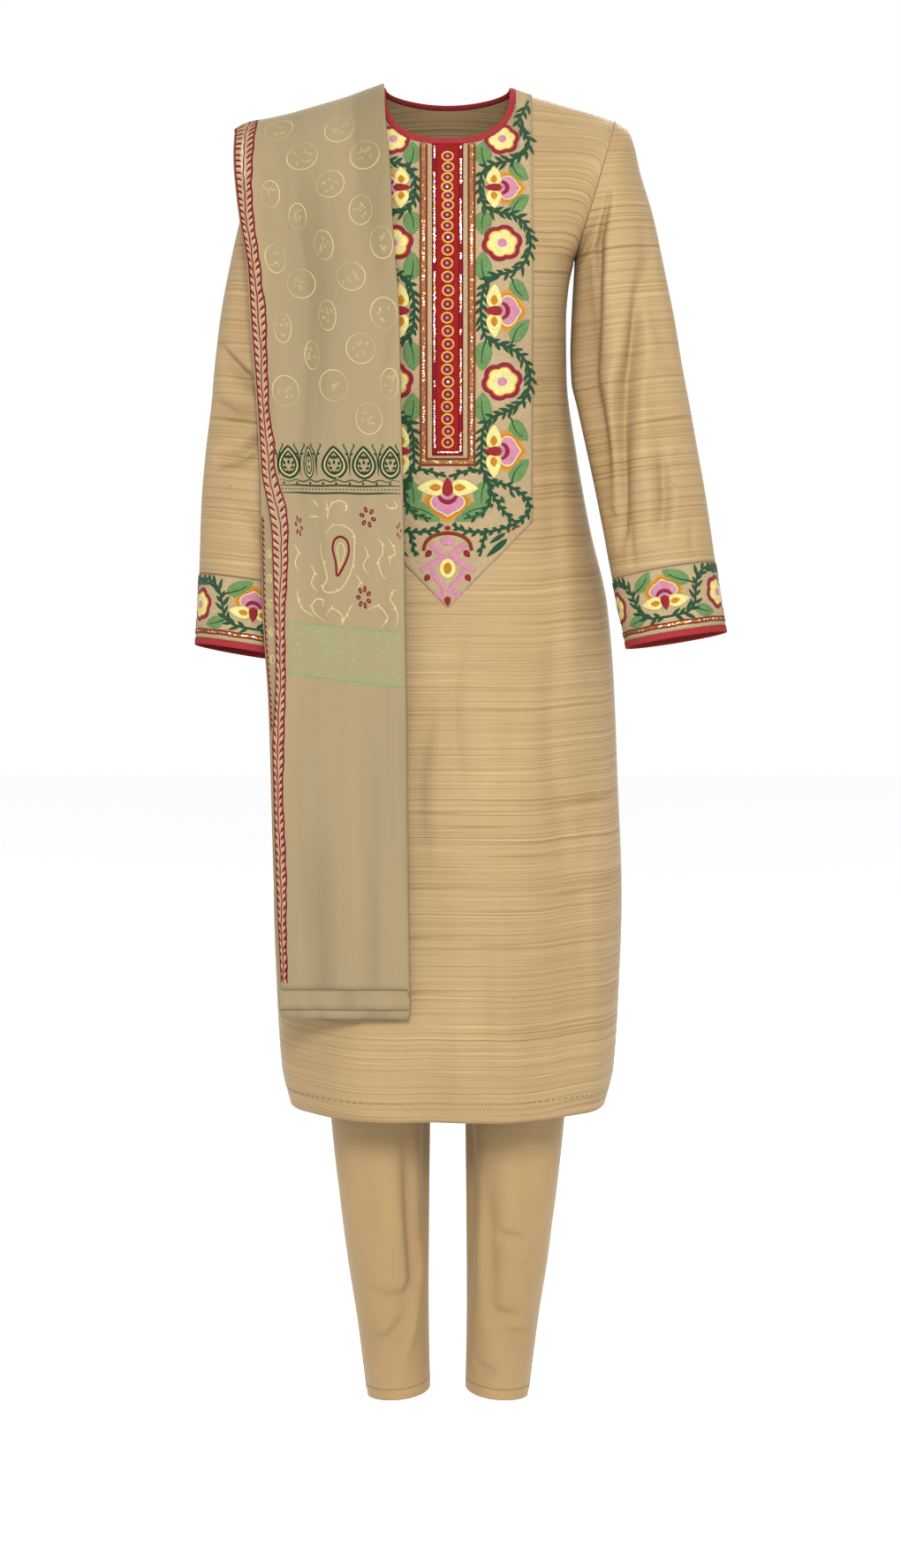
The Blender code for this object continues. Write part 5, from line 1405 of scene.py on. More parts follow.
def sew_broad_leaf(work, base, tip, width, bend):
    """A broad light leaf with a dark vein running into it from its stem."""
    base, tip = np.asarray(base, float), np.asarray(tip, float)
    run = tip - base
    length = np.linalg.norm(run)
    angle = math.atan2(run[1], run[0])
    outline = pointed_petal(width * LEAF_FULLNESS, length * LEAF_OVERLAP, 24)
    outline[:, 0] += bend * np.sin(HALF_TURN * np.clip(outline[:, 1] / length, 0, 1))
    hub = turned([(bend, length * 0.5)], angle - QUARTER_TURN, base)[0]
    work.patch("light_green", turned(outline, angle - QUARTER_TURN, base), 0.00035,
               grain=angle, hub=hub)
    rise = np.linspace(VEIN_START, VEIN_END, VEIN_POINTS)
    vein = np.stack([bend * VEIN_BEND * np.sin(HALF_TURN * np.clip(rise, 0, 1)), rise * length], axis=-1)
    work.strand("dark_green", turned(vein, angle - QUARTER_TURN, base),
                np.linspace(0.0017, 0.0008, VEIN_POINTS), height=0.0004, level=0.0003)


def sew_flower(work, centre, radius, squash=1.0, lobes=6, phase=0.26):
    """A round lobed flower: dark outline, orange edge, pale heart and eye."""
    centre = np.asarray(centre, dtype=float)
    flat_scale = np.array([1.0, squash])
    for thread, share, depth, height, level in FLOWER_LAYERS:
        outline = lobed_outline(radius * share, lobes, depth, 60, phase)
        work.patch(thread, outline * flat_scale + centre, height, level, grain=phase)
    for lobe in range(lobes * 2):
        angle = phase + HALF_TURN * (lobe + 0.5) / lobes
        inner = np.array([math.cos(angle), math.sin(angle)]) * flat_scale
        line = [centre + inner * radius * reach for reach in RAY_REACHES]
        work.strand("cream", line, RAY_WIDTHS, height=0.00020, level=0.00072)
    heart = oval(radius * HEART_SHARE, radius * HEART_SHARE * squash)
    work.patch("pink", heart + centre, height=0.00040, level=0.00075, grain=0.8)


def sew_lotus(work, centre, angle, size, squash=1.0, mirror=1.0):
    """A lotus opening along an angle from its red bud; size is its full width."""
    centre = np.asarray(centre, dtype=float)
    scale = np.array([1.0, squash])

    def place(points):
        return turned(points, angle, (0.0, 0.0), size, mirror) * scale + centre

    heart = np.array(LOTUS_HEART)
    hub = place([heart])[0]
    shape = smooth_path(LOTUS_DOME, 60, closed=True)
    for thread, share, height, level in LOTUS_LAYERS:
        work.patch(thread, place(heart + (shape - heart) * share), height, level, grain=angle,
                   hub=hub)
    sweep = np.linspace(-ARC_SWEEP, ARC_SWEEP, 15)
    for radius, width, thread, level in LOTUS_ARCS:
        arc = np.stack([np.sin(sweep) * radius, np.cos(sweep) * radius - 0.02], axis=-1)
        widths = size * width * (0.40 + 0.60 * np.cos(sweep))
        work.strand(thread, place(arc), widths, 0.0004, level)
    for side in (1, -1):
        lean = -side * PETAL_LEAN
        petal = turned(pointed_petal(0.36, 0.60, 26, belly=0.36), lean, (side * 0.05, -0.165))
        core = turned(pointed_petal(0.17, 0.26, 16, belly=0.45), lean, (side * 0.13, -0.160))
        work.patch("yellow", place(petal), height=0.00050, level=0.00060, grain=angle + side)
        work.patch("amber", place(core), height=0.00030, level=0.00100, grain=angle - side)
    bud = turned(pointed_petal(0.23, 0.42, 22, belly=0.36), HALF_TURN, (0.0, 0.04))
    work.patch("red", place(bud), height=0.00060, level=0.00110, grain=angle + 0.4)


def sew_sequin(work, thread, at, radius, height, rng, lean=0.3, sides=6):
    """A sequin that leans by chance."""
    work.sequin(thread, at, radius, height, lean * rng.random(), FULL_TURN * rng.random(), sides)


def sequin_run(work, start, end, rng, spacing, radius, gaps):
    """Small plates along a line, in runs with bare stretches between."""
    start, end = np.asarray(start, float), np.asarray(end, float)
    length = np.linalg.norm(end - start)
    aside = np.array([-(end - start)[1], (end - start)[0]]) / length
    place = spacing
    bare = 0
    while place < length:
        if bare > 0:
            bare -= 1
        elif rng.random() < gaps:
            bare = rng.integers(2, 9)
        else:
            at = start + (end - start) * place / length + aside * rng.normal() * radius * SEQUIN_WANDER
            thread = ("silver", "silver", "gold", "silver")[rng.integers(0, 4)]
            size = radius * uneven(rng, 0.75, 0.4)
            sew_sequin(work, thread, at, size, SEQUIN_RISE, rng, lean=0.25, sides=8)
        place += spacing * uneven(rng, 0.8, 0.4)


# ---------------------------------------------------------------- the panel's needlework
# Places on the panel are millimetres from its middle and below the side of the neck.
Blossom = namedtuple("Blossom", "x z size squash")
PANEL_FLOWERS = [
    Blossom(55.8, -56.0, 19.0, 0.86), Blossom(55.6, -163.8, 21.3, 0.90),
    Blossom(55.8, -304.8, 21.5, 0.93),
]
PANEL_LOTUSES = [
    Blossom(54.0, -106.7, 43.0, 0.78), Blossom(54.0, -232.8, 43.5, 0.98),
    Blossom(54.0, -376.5, 43.5, 0.98),
]
SIDE_VINE = [
    (84, -14), (79, -25), (73, -38), (79, -48), (84, -60), (77, -72), (62, -79), (46, -83),
    (36, -91), (33, -106), (36, -122), (46, -131), (64, -134), (77, -141), (84, -155), (84, -170),
    (76, -187), (62, -194), (46, -198), (37, -210), (34, -233), (37, -255), (46, -264), (64, -271),
    (77, -280), (84, -296), (83, -313), (76, -326), (60, -336), (46, -342), (37, -353), (35, -376),
    (35, -392), (41, -405),
]
Leaf = namedtuple("Leaf", "base tip width bend")
# Broad leaves round a lotus, from its own place.
LOTUS_LEAVES = [
    Leaf((-15.5, 31), (-18.0, 60), 15.0, -1.5), Leaf((-15.0, -31), (-18.5, -61), 15.0, 1.5),
    Leaf((12.0, 33), (28.0, 12), 13.5, 2.5), Leaf((12.0, -33), (28.5, -10), 13.5, -2.5),
]
CORNER_VINE = [
    (41, -405), (50, -409), (62, -412), (74, -419), (82, -427), (85, -436), (80, -444),
    (71, -451), (59, -456), (46, -459), (33, -460), (20, -459), (11, -456), (5, -452),
]
CORNER_BRANCH = [(42, -407), (46, -420), (53, -432), (62, -443), (70, -450)]
CORNER_SPRIG = [(40, -459), (37, -469), (35, -478), (33, -485)]
Petal = namedtuple("Petal", "base tip width")
CORNER_LEAVES = [
    Petal((60, -461), (43, -472), 4.6), Petal((62, -467), (40, -486), 6.4),
    Petal((64, -418), (70, -425), 3.2), Petal((55, -423), (59, -431), 3.2),
]
LOOP_TOP = [(35, -399), (28, -395.5), (19, -397), (10, -400), (1.5, -402.5)]
LOOP_SIDE = [(39, -405), (43.5, -416), (43.5, -428), (39, -437), (30, -443), (17, -446)]
BASE_LOTUS = Blossom(0.0, -421.0, 49.0, 0.95)
BASE_LEAF = Leaf((42, -434), (9, -447.5), 14.0, 2.0)
ARCH = [(-25, -479), (-22, -470), (-13.5, -463.5), (0, -461), (13.5, -463.5), (22, -470), (25, -479)]
CORNER_DASHES = [(63, -459.5), (68, -457), (73, -454.5)]
CREST_ARMS = [
    [(18.5, -472), (10, -478.5), (2.5, -484)], [(2.5, -483), (9.5, -489), (18.5, -495), (28, -500)],
    [(15.5, -499), (13, -507), (7.5, -513), (3.8, -519), (4.5, -524.5), (9.5, -526), (12.5, -521)],
]
CREST_WIDTHS = (7.2, 7.0, 6.0)
CREST_PETALS = [Petal((17, -479), (23, -486), 6.4), Petal((19, -504), (23.5, -511), 6.4)]
CROWN_Z, EYE_Z, BERRY_Z, DROP_Z = -469.5, -497.5, -455.8, -526.5
RING_REACH = (0.0056, 0.0052)
EARLY_RINGS = 8              # the first rings are a little flatter
EARLY_RING_SHARE = 0.88
RING_WANDER = 0.0006
BandEdge = namedtuple("BandEdge", "x width")
BAND_EDGES = [BandEdge(0.0150, 0.0014), BandEdge(0.0117, 0.0012)]
BAND_SEQUIN_X = 0.0134
BAND_FOOT = 0.0012           # the foot of the edging stands this far above the band's end
BAND_EDGE_FOOT = 0.0016
BAND_SEQUIN_FOOT = 0.0034
FOOT_SEQUIN_X = 0.0120
MIRROR_CHANCE = 0.12
BRAID_EDGE = 0.0010          # the rust edges lie this far in from the braid's sides
BRAID_PITCH = 0.0046
GOLD_CHANCE = 0.3
NEEDLE_TOP_DROP = 0.0016     # the band's and braid's stitches start this far under the neck
RING_HEIGHTS = [
    -74.6, -85.8, -96.6, -106.2, -115.6, -125.2, -135.4, -146.4, -158.4, -171.2, -184.8, -198.6,
    -212.4, -226.2, -240.0, -253.4, -266.6, -279.6, -292.4, -305.2, -318.0, -330.6, -343.2, -355.8,
    -367.4,
]


def in_metres(places):
    """Turn places in millimetres into metres."""
    return np.asarray(places, dtype=float) * MM


def both_sides(places):
    """A path on the right half and its twin on the left."""
    right = in_metres(places)
    return right, right * np.array([-1.0, 1.0])


def petal_between(petal, points):
    """Outline of a straight petal from base to tip, and the angle that it leans to."""
    base = in_metres(petal.base)
    run = in_metres(petal.tip) - base
    angle = math.atan2(run[1], run[0]) - QUARTER_TURN
    outline = pointed_petal(petal.width * MM, float(np.linalg.norm(run)), points)
    return turned(outline, angle, base), angle


def under_neck_edge(flat):
    """Keep flat places of the panel below the neck's cut edge and shoulder seam."""
    x = flat[:, 0]
    inside = np.minimum(np.abs(x), NECK_HALF_WIDTH)
    edge = np.where(np.abs(x) < NECK_HALF_WIDTH, neckline_z(inside, FRONT),
                    shoulder_height(np.abs(x))) - NECK_EDGE_CLEAR
    kept = flat.copy()
    kept[:, 1] = np.minimum(kept[:, 1], edge)
    return kept


def sew_side_border(work, rng):
    """Flowers, lotuses, leaves and the winding vine at both sides of the band."""
    for path in both_sides(SIDE_VINE):
        sew_vine(work, smooth_path(path, 260), rng)
    for mirror in MIRRORS:
        for lotus in PANEL_LOTUSES:
            at = np.array([lotus.x * mirror, lotus.z])
            turn_over = np.array([mirror, lotus.squash])
            for leaf in LOTUS_LEAVES:
                sew_broad_leaf(work, in_metres(at + np.array(leaf.base) * turn_over),
                               in_metres(at + np.array(leaf.tip) * turn_over), leaf.width * MM,
                               leaf.bend * MM * mirror)
            sew_lotus(work, in_metres(at), -QUARTER_TURN, lotus.size * MM, lotus.squash, mirror)
        for flower in PANEL_FLOWERS:
            sew_flower(work, in_metres((flower.x * mirror, flower.z)), flower.size * MM, flower.squash)


def sew_base(work, rng):
    """The hanging lotus, its loop of vine, the corner sprays and the crest."""
    for path in both_sides(LOOP_TOP) + both_sides(LOOP_SIDE):
        sew_vine(work, smooth_path(path, 40), rng, spacing=0.0100, length=0.0074)
    for path in both_sides(CORNER_VINE):
        sew_vine(work, smooth_path(path, 110), rng, spacing=0.0082, length=0.0066)
    for path in both_sides(CORNER_BRANCH) + both_sides(CORNER_SPRIG):
        sew_vine(work, smooth_path(path, 40), rng, spacing=0.0086, length=0.0072)
    for mirror in MIRRORS:
        flip = np.array([mirror, 1.0])
        for leaf in CORNER_LEAVES:
            outline, angle = petal_between(leaf, 18)
            work.patch("dark_green", outline * flip, 0.0005, grain=angle)
        sew_broad_leaf(work, in_metres(BASE_LEAF.base) * flip, in_metres(BASE_LEAF.tip) * flip,
                       BASE_LEAF.width * MM, BASE_LEAF.bend * MM * mirror)
        for dash in CORNER_DASHES:
            outline = turned(oval(0.0024, 0.0040, 12), -1.1, in_metres(dash))
            work.patch("red", outline * flip, 0.0005)
        for arm, width in zip(CREST_ARMS, CREST_WIDTHS):
            path = smooth_path(in_metres(arm) * flip, 24)
            taper = np.concatenate([np.linspace(0.75, 1.0, 12), np.linspace(1.0, 0.62, 12)])
            work.strand("pink", path, width * MM * taper, 0.0005)
        for petal in CREST_PETALS:
            outline, _ = petal_between(petal, 16)
            work.patch("maroon", outline * flip, 0.0005)
    sew_lotus(work, in_metres(BASE_LOTUS[:2]), HALF_TURN, BASE_LOTUS.size * MM, BASE_LOTUS.squash)
    work.strand("rust", smooth_path(in_metres(ARCH), 50), width=0.0036, height=0.0006, level=0.0003)
    crown = lobed_outline(0.0085, 5, 0.28, 50, QUARTER_TURN) * np.array([1.0, 0.62])
    work.patch("pink", crown + in_metres((0, CROWN_Z)), 0.0005)
    work.patch("yellow", oval(0.0165, 0.0200, 26) + in_metres((0, EYE_Z)), 0.0005, 0.0004)
    work.patch("amber", oval(0.0085, 0.0120, 20) + in_metres((0, EYE_Z)), 0.0003, 0.0009)
    work.patch("red", oval(0.0066, 0.0046, 14) + in_metres((0, BERRY_Z)), 0.0005)
    drop = turned(pointed_petal(0.0068, 0.0100, 16, 0.36), HALF_TURN, in_metres((0, DROP_Z)))
    work.patch("red", drop, 0.0006)


def sew_band(work, rng, top, end):
    """Rings down the red band, and its edging with small plates."""
    for k, height in enumerate(RING_HEIGHTS):
        centre = np.array([RING_WANDER * math.sin(k * 1.7), height * MM])
        angles = np.linspace(0, FULL_TURN, 25)[:-1]
        grow = EARLY_RING_SHARE if k < EARLY_RINGS else 1.0
        ring = circle(angles) * RING_REACH * (1.0, grow)
        work.strand("orange", ring + centre, width=0.0021, height=0.0007, closed=True)
        work.strand("yellow", ring * 0.93 + centre, width=0.0008, height=0.0004, level=0.0005, closed=True)
        work.patch("maroon", ring * 0.74 + centre, height=0.0003)
        centre_thread = "mirror" if k % 11 == 8 or rng.random() < MIRROR_CHANCE else "pink"
        work.patch(centre_thread, oval(0.0032, 0.0030, 12) + centre, height=0.0006, level=0.0004)
    for side in (1, -1):
        for x, width in BAND_EDGES:
            heights = np.linspace(top, end + BAND_EDGE_FOOT, 150)
            wander = 0.00012 * np.sin(heights * 900) + 0.0002 * np.sin(heights * 60 + side)
            path = np.stack([side * x + wander, heights], axis=-1)
            work.strand("band", path, width, STITCH_RISE)
        sequin_run(work, (side * BAND_SEQUIN_X, top), (side * BAND_SEQUIN_X, end + 0.004), rng,
                   spacing=0.0021, radius=0.00105, gaps=0.045)
    foot_z = end + BAND_SEQUIN_FOOT
    sequin_run(work, (-FOOT_SEQUIN_X, foot_z), (FOOT_SEQUIN_X, foot_z), rng, spacing=0.0021,
               radius=0.00105, gaps=0.04)
    x, width = BAND_EDGES[0]
    foot = [(across, end + BAND_FOOT) for across in np.linspace(-x, x, 20)]
    work.strand("band", foot, width, STITCH_RISE)


def sew_braid(work, rng, top):
    """Rust edges and a glittering middle along the U of braid."""
    middle = (BRAID_INNER_HALF + BRAID_OUTER_HALF) / 2
    half = (BRAID_OUTER_HALF - BRAID_INNER_HALF) / 2
    for reach in (half - BRAID_EDGE, -half + BRAID_EDGE):
        x, low = middle + reach, BRAID_END_Z + half - reach
        heights = np.linspace(top, low, 110)
        path = [(-x, z) for z in heights] + [(s, low) for s in np.linspace(-x, x, 26)[1:-1]]
        path += [(x, z) for z in heights[::-1]]
        work.strand("rust", path, width=0.0019, height=0.0006)
    low = BRAID_END_Z + half
    for offset in (-BRAID_EDGE, BRAID_EDGE):
        for start, end in (((-middle + offset, top), (-middle + offset, low)),
                           ((middle + offset, top), (middle + offset, low)),
                           ((-middle, low + offset), (middle, low + offset))):
            length = math.dist(start, end)
            for place in np.arange(MM, length, BRAID_PITCH):
                at = np.array(start) + (np.array(end) - np.array(start)) * place / length
                thread = "gold" if rng.random() < GOLD_CHANCE else "bronze"
                sew_sequin(work, thread, at, 0.00095, STITCH_RISE, rng)
    for side in (1, -1):
        sequin_run(work, (side * middle, top - 0.08), (side * middle, low), rng, spacing=0.0030,
                   radius=0.0011, gaps=0.16)
    sequin_run(work, (-middle, low), (middle, low), rng, spacing=0.0034, radius=0.0010, gaps=0.3)


def sew_panel(sizes):
    """All the needlework of the neck panel: its border, the band's and the braid's."""
    rng = np.random.default_rng(sizes.seed)
    relief = sizes.stitch / USUAL_RELIEF
    top = float(neckline_z(0.0, FRONT)) - NEEDLE_TOP_DROP
    border, trim, braid = (Needlework(front_surface, lift=lift, relief=relief, keep=under_neck_edge)
                           for lift in (BIB_LIFT, BAND_LIFT, BRAID_LIFT))
    sew_side_border(border, rng)
    sew_base(border, rng)
    sew_band(trim, rng, top, CENTRE_BAND_END_Z)
    sew_braid(braid, rng, top)
    return (border.build("panel_embroidery", "bib_cotton"), trim.build("band_rings", "red_band"),
            braid.build("braid_sequins", "braid"))


# ---------------------------------------------------------------- the cuffs' needlework
# Places on a cuff are millimetres right of its front and down from its seam.
CUFF_LOTUSES = (-6.9, 117.7)
CUFF_FLOWERS = (-69.3, 55.4, 180.0)
CUFF_VINE = [
    (0, -50.5), (18, -49), (28, -41), (31.5, -28), (36, -14), (47, -5.5), (62.3, -4),
]
CUFF_LEAVES = [
    Leaf((-28, -19), (-11, -2.5), 11.0, 1.5), Leaf((27, -17), (3, -3), 12.0, -1.5),
    Leaf((-23, -46), (-44, -51.5), 10.5, -1.0), Leaf((28, -45), (50, -51.5), 10.5, 1.0),
]
CUFF_RADIUS = 0.0496
CUFF_SEAM_X = -100.5
CUFF_ROUND = 311.6           # the way round a cuff
CUFF_LINES = (-57.2, -61.2)
CUFF_LOTUS_Z, CUFF_FLOWER_Z = -29.0, -31.0
CUFF_VINE_REACH = 62.3       # from a lotus to where its vine ends
CUFF_SEED = 10
CUFF_LIFT = 0.0002
CUFF_EDGE_CLEAR = 0.0008


def sew_cuff(name, grid, normals, sizes):
    """The embroidery of one cuff, on the cuff band's own grid."""
    side = 1 if name == "left" else -1
    rng = np.random.default_rng(sizes.seed + CUFF_SEED + side)
    height = float(np.linalg.norm(np.diff(grid, axis=0), axis=-1).sum(axis=0).mean())
    rows = np.linspace(0, height, len(grid))
    surface = GridSurface(grid, normals, np.linspace(0, 1, SLEEVE_TURNS + 1), rows, around=True)

    def on_cuff(flat):
        turn = 0.25 - side * flat[:, 0] / CUFF_RADIUS / FULL_TURN
        return np.stack([turn % 1.0, -flat[:, 1]], axis=-1)

    def within(flat):
        kept = flat.copy()
        kept[:, 1] = np.clip(kept[:, 1], -height + CUFF_EDGE_CLEAR, -CUFF_EDGE_CLEAR)
        return kept

    def vine(knots, points, length):
        path = smooth_path(in_metres([(x * side, z) for x, z in knots]), points)
        sew_vine(work, path, rng, length=length, width=0.0024)

    work = Needlework(surface, on_cuff, lift=CUFF_LIFT, relief=sizes.stitch / USUAL_RELIEF, keep=within)
    for x in CUFF_LOTUSES:
        for way in (1, -1):
            vine([(way * out + x, z) for out, z in CUFF_VINE], 60, 0.0112)
        for leaf in CUFF_LEAVES:
            base, tip = (in_metres(((x + place[0]) * side, place[1])) for place in (leaf.base, leaf.tip))
            sew_broad_leaf(work, base, tip, leaf.width * MM, leaf.bend * MM * side)
        sew_lotus(work, in_metres((x * side, CUFF_LOTUS_Z)), angle=0.0, size=0.0370)
    for x in CUFF_FLOWERS:
        sew_flower(work, in_metres((x * side, CUFF_FLOWER_Z)), radius=0.0180, squash=1.02)
    for start, end in ((CUFF_LOTUSES[0] - CUFF_VINE_REACH, CUFF_SEAM_X + 1.0),
                       (CUFF_LOTUSES[1] + CUFF_VINE_REACH, 210.0)):
        vine([(start, -4), ((start * 2 + end) / 3, -6), (end, -22)], 24, 0.0108)
    around = np.linspace(CUFF_SEAM_X, CUFF_SEAM_X + CUFF_ROUND, 200)
    for line in CUFF_LINES:
        wander = 0.3 * np.sin(around * 0.21) + 0.15 * np.sin(around * 0.9)
        path = in_metres(np.stack([around, line + wander], axis=-1))
        work.strand("rust", path, width=0.0017, height=0.0006)
    middle = (CUFF_LINES[0] + CUFF_LINES[1]) / 2
    for x in np.arange(CUFF_SEAM_X, CUFF_SEAM_X + CUFF_ROUND, 1.9):
        thread = ("bronze", "gold", "silver", "bronze")[rng.integers(0, 4)]
        at = in_metres((x, middle + 0.35 * math.sin(x * 0.21) + 0.3 * rng.normal()))
        sew_sequin(work, thread, at, 0.0011, STITCH_RISE, rng)
    return work.build(f"cuff_embroidery_{name}", "bib_cotton")


# ---------------------------------------------------------------- the kameez
ARMHOLE_ROWS = 36
ROW_STEP = 0.0055
MIDDLE_COLUMNS, OUTER_COLUMNS = 24, 24
SEAM_STITCHES = 160
SIDE_SEAM_COLUMN = 0.9       # places and widths in columns of the panel's own grid
SEAM_LINE_COLUMNS = 0.28
HEM_LINE_COLUMNS = 0.10


def panel_rows():
    """Shares up the armhole and heights below the armpit of a body panel."""
    count = int(round((ARMPIT_Z - HEM_Z) / ROW_STEP))
    return armhole_rises(ARMHOLE_ROWS), np.linspace(ARMPIT_Z, HEM_Z, count + 1)[1:]


def panel_flat(grid):
    """Flat coordinates of a panel: from its middle across, and down the cloth."""
    across = across_distances(grid)
    across -= across[:, [grid.shape[1] // 2]]
    drops = np.linalg.norm(np.diff(grid, axis=0), axis=-1)
    along = np.concatenate([np.zeros((1, grid.shape[1])), np.cumsum(drops, axis=0)])
    along += -ARMPIT_Z - along[[ARMHOLE_ROWS]]
    return np.stack([across, along], axis=-1)


def make_kameez(colours, sizes):
    """Front and back of the kameez, with their hem and side seams."""
    silk = raw_silk_material(colours, sizes)
    half = half_columns(MIDDLE_COLUMNS, OUTER_COLUMNS)
    rises, heights = panel_rows()
    for side, name in ((FRONT, "front"), (BACK, "back")):
        grid = panel_grid(side, half, rises, heights)
        normals = panel_normals(grid, side)
        shell = cloth_piece(f"kameez_{name}_silk", grid, normals, silk,
                            [f"kameez_{name}"], sizes.shell, flat=panel_flat(grid))
        last_row, last_column = grid.shape[0] - 1, grid.shape[1] - 1
        work = Needlework(GridSurface(grid, normals, np.arange(last_column + 1), np.arange(last_row + 1)))
        run = np.linspace(1.0, last_column - 1.0, SEAM_STITCHES)
        hem_rows = np.full(SEAM_STITCHES, last_row - HEM_TURN / ROW_STEP)
        sew_hem(work, np.stack([run, hem_rows], axis=-1))
        for column in (SIDE_SEAM_COLUMN, last_column - SIDE_SEAM_COLUMN):
            rows = np.linspace(ARMHOLE_ROWS + 1, last_row - 1, SEAM_STITCHES)
            side_path = np.stack([np.full(SEAM_STITCHES, column), rows], axis=-1)
            work.strand("seam", side_path, SEAM_LINE_COLUMNS, 0.00025)
        seams = work.build(f"kameez_{name}_seams", "raw_silk")


def sew_hem(work, path):
    """The line of stitches that holds a turned-up hem, in grid coordinates."""
    for start, end in zip(path[:-1:2], path[1::2]):
        stitch = np.array([start, (start + end) / 2, end * 0.9 + start * 0.1])
        work.strand("seam", stitch, HEM_LINE_COLUMNS, 0.0002)


# ---------------------------------------------------------------- the neck panel
BAND_COLUMNS = 17
BRAID_COLUMNS = 7
BRAID_ROWS = 64
BRAID_TURN_ROWS = 22
# Rows of what is laid on the front, up the armhole's height and below it, and how far
# its top edge stays under the neck's edge.
LaidRows = namedtuple("LaidRows", "up down top_drop")
BIB_ROWS = LaidRows(36, 72, 0.0004)
BAND_ROWS = LaidRows(12, 40, 0.0006)
BRAID_TOP_DROP = 0.0012


def bib_bottom(x):
    """Height of the neck panel's lower edge at x: a shallow point."""
    across = np.clip(np.abs(x) / BIB_HALF_WIDTH, 0, 1)
    return BIB_POINT_Z + (BIB_CORNER_Z - BIB_POINT_Z) * across


def laid_columns(lows, bottoms, rows):
    """A grid laid on the front: given columns, from the neckline down to bottoms."""
    rises = armhole_rises(rows.up)
    grid = []
    for low, bottom in zip(lows, bottoms):
        sign = -1.0 if low < 0 else 1.0
        high_x = sign * float(column_lean(abs(low)))
        high_z = top_height(high_x, FRONT) - rows.top_drop
        down = np.linspace(ARMPIT_Z, bottom, rows.down + 1)[1:]
        grid.append(panel_column(low, high_x, high_z, rises, np.full(rows.down, low), down, FRONT))
    grid = np.stack(grid, axis=1)
    return grid, body_normals(grid[:, :, 0], grid[:, :, 2], FRONT)


def braid_lines(middle, width):
    """Flat places of the braid's U, in lines from its inner edge to its outer one."""
    top = float(neckline_z(BRAID_OUTER_HALF, FRONT)) - BRAID_TOP_DROP
    low = BRAID_END_Z + width / 2
    lines = []
    for share in np.linspace(-0.5, 0.5, BRAID_COLUMNS):
        x, z = middle + share * width, low - share * width
        left = [(-x, height) for height in np.linspace(top, z, BRAID_ROWS)]
        foot = [(place, z) for place in np.linspace(-x, x, BRAID_TURN_ROWS)[1:-1]]
        lines.append(left + foot + [(-across, height) for across, height in reversed(left)])
    return np.stack(lines, axis=1)


def make_bib(colours, sizes):
    """The panel's cloth, its red band and the braid that frames the band."""
    half = [low for low, _, share in half_columns(MIDDLE_COLUMNS, 1) if share == 0.0]
    lows = np.array([-low for low in reversed(half[1:])] + half)
    grid, normals = laid_columns(lows, bib_bottom(lows), BIB_ROWS)
    cotton = cotton_material("panel_cotton", colours.bib)
    panel = cloth_piece("neck_panel_cotton", grid + normals * BIB_LIFT, normals, cotton,
                        ["neck_panel"], BIB_SHELL)
    border, rings, sequins = sew_panel(sizes)
    lows = np.linspace(-CENTRE_BAND_HALF, CENTRE_BAND_HALF, BAND_COLUMNS)
    grid, normals = laid_columns(lows, np.full(BAND_COLUMNS, CENTRE_BAND_END_Z), BAND_ROWS)
    cotton = cotton_material("band_cotton", colours.band)
    band = cloth_piece("neck_band_red", grid + normals * BAND_LIFT, normals, cotton,
                       ["centre_band"], BIB_SHELL)
    flat = braid_lines((BRAID_INNER_HALF + BRAID_OUTER_HALF) / 2, BRAID_OUTER_HALF - BRAID_INNER_HALF)
    points, normals = front_surface(flat.reshape(-1, 2))
    points = (points + normals * BRAID_LIFT).reshape(*flat.shape[:2], 3)
    normals = normals.reshape(points.shape)
    braid = cloth_piece("neck_braid", points, normals, THREADS["braid_ground"], ["band_border"],
                        BRAID_SHELL)


def neck_edge():
    """Points of the neck's cut edge all round, and the cloth's normals along it."""
    half = np.sin(np.linspace(0, QUARTER_TURN, 61)) * NECK_HALF_WIDTH
    front = np.concatenate([-half[::-1], half[1:]])
    stretches = []
    for x, side in ((front, FRONT), (front[::-1][1:-1], BACK)):
        z = neckline_z(x, side)
        points = on_body(x, z, side)
        normals = body_normals(x, z, side)
        on_seam = np.abs(x) >= NECK_HALF_WIDTH - SAME_PLACE
        points[on_seam, 1] = 0
        normals[on_seam, 1] = 0
        stretches.append((points, unit(normals)))
    return [np.concatenate(both) for both in zip(*stretches)]


# The binding in section: reach in from just outside the edge, and height off the cloth.
BINDING_HALF = 0.0007
BINDING_PROFILE = (
    (-0.0008, BINDING_HALF + 0.0002), (0.0010, BINDING_HALF + 0.0005),
    (NECK_BINDING_WIDTH * 0.5, BINDING_HALF + 0.0004), (NECK_BINDING_WIDTH - 0.0012, BINDING_HALF),
    (NECK_BINDING_WIDTH - 0.0002, BINDING_HALF * 0.4), (NECK_BINDING_WIDTH, -BINDING_HALF * 0.5),
    (NECK_BINDING_WIDTH - 0.0010, -BINDING_HALF), (NECK_BINDING_WIDTH * 0.5, -BINDING_HALF),
    (SEAM_GAP, -BINDING_HALF),
)


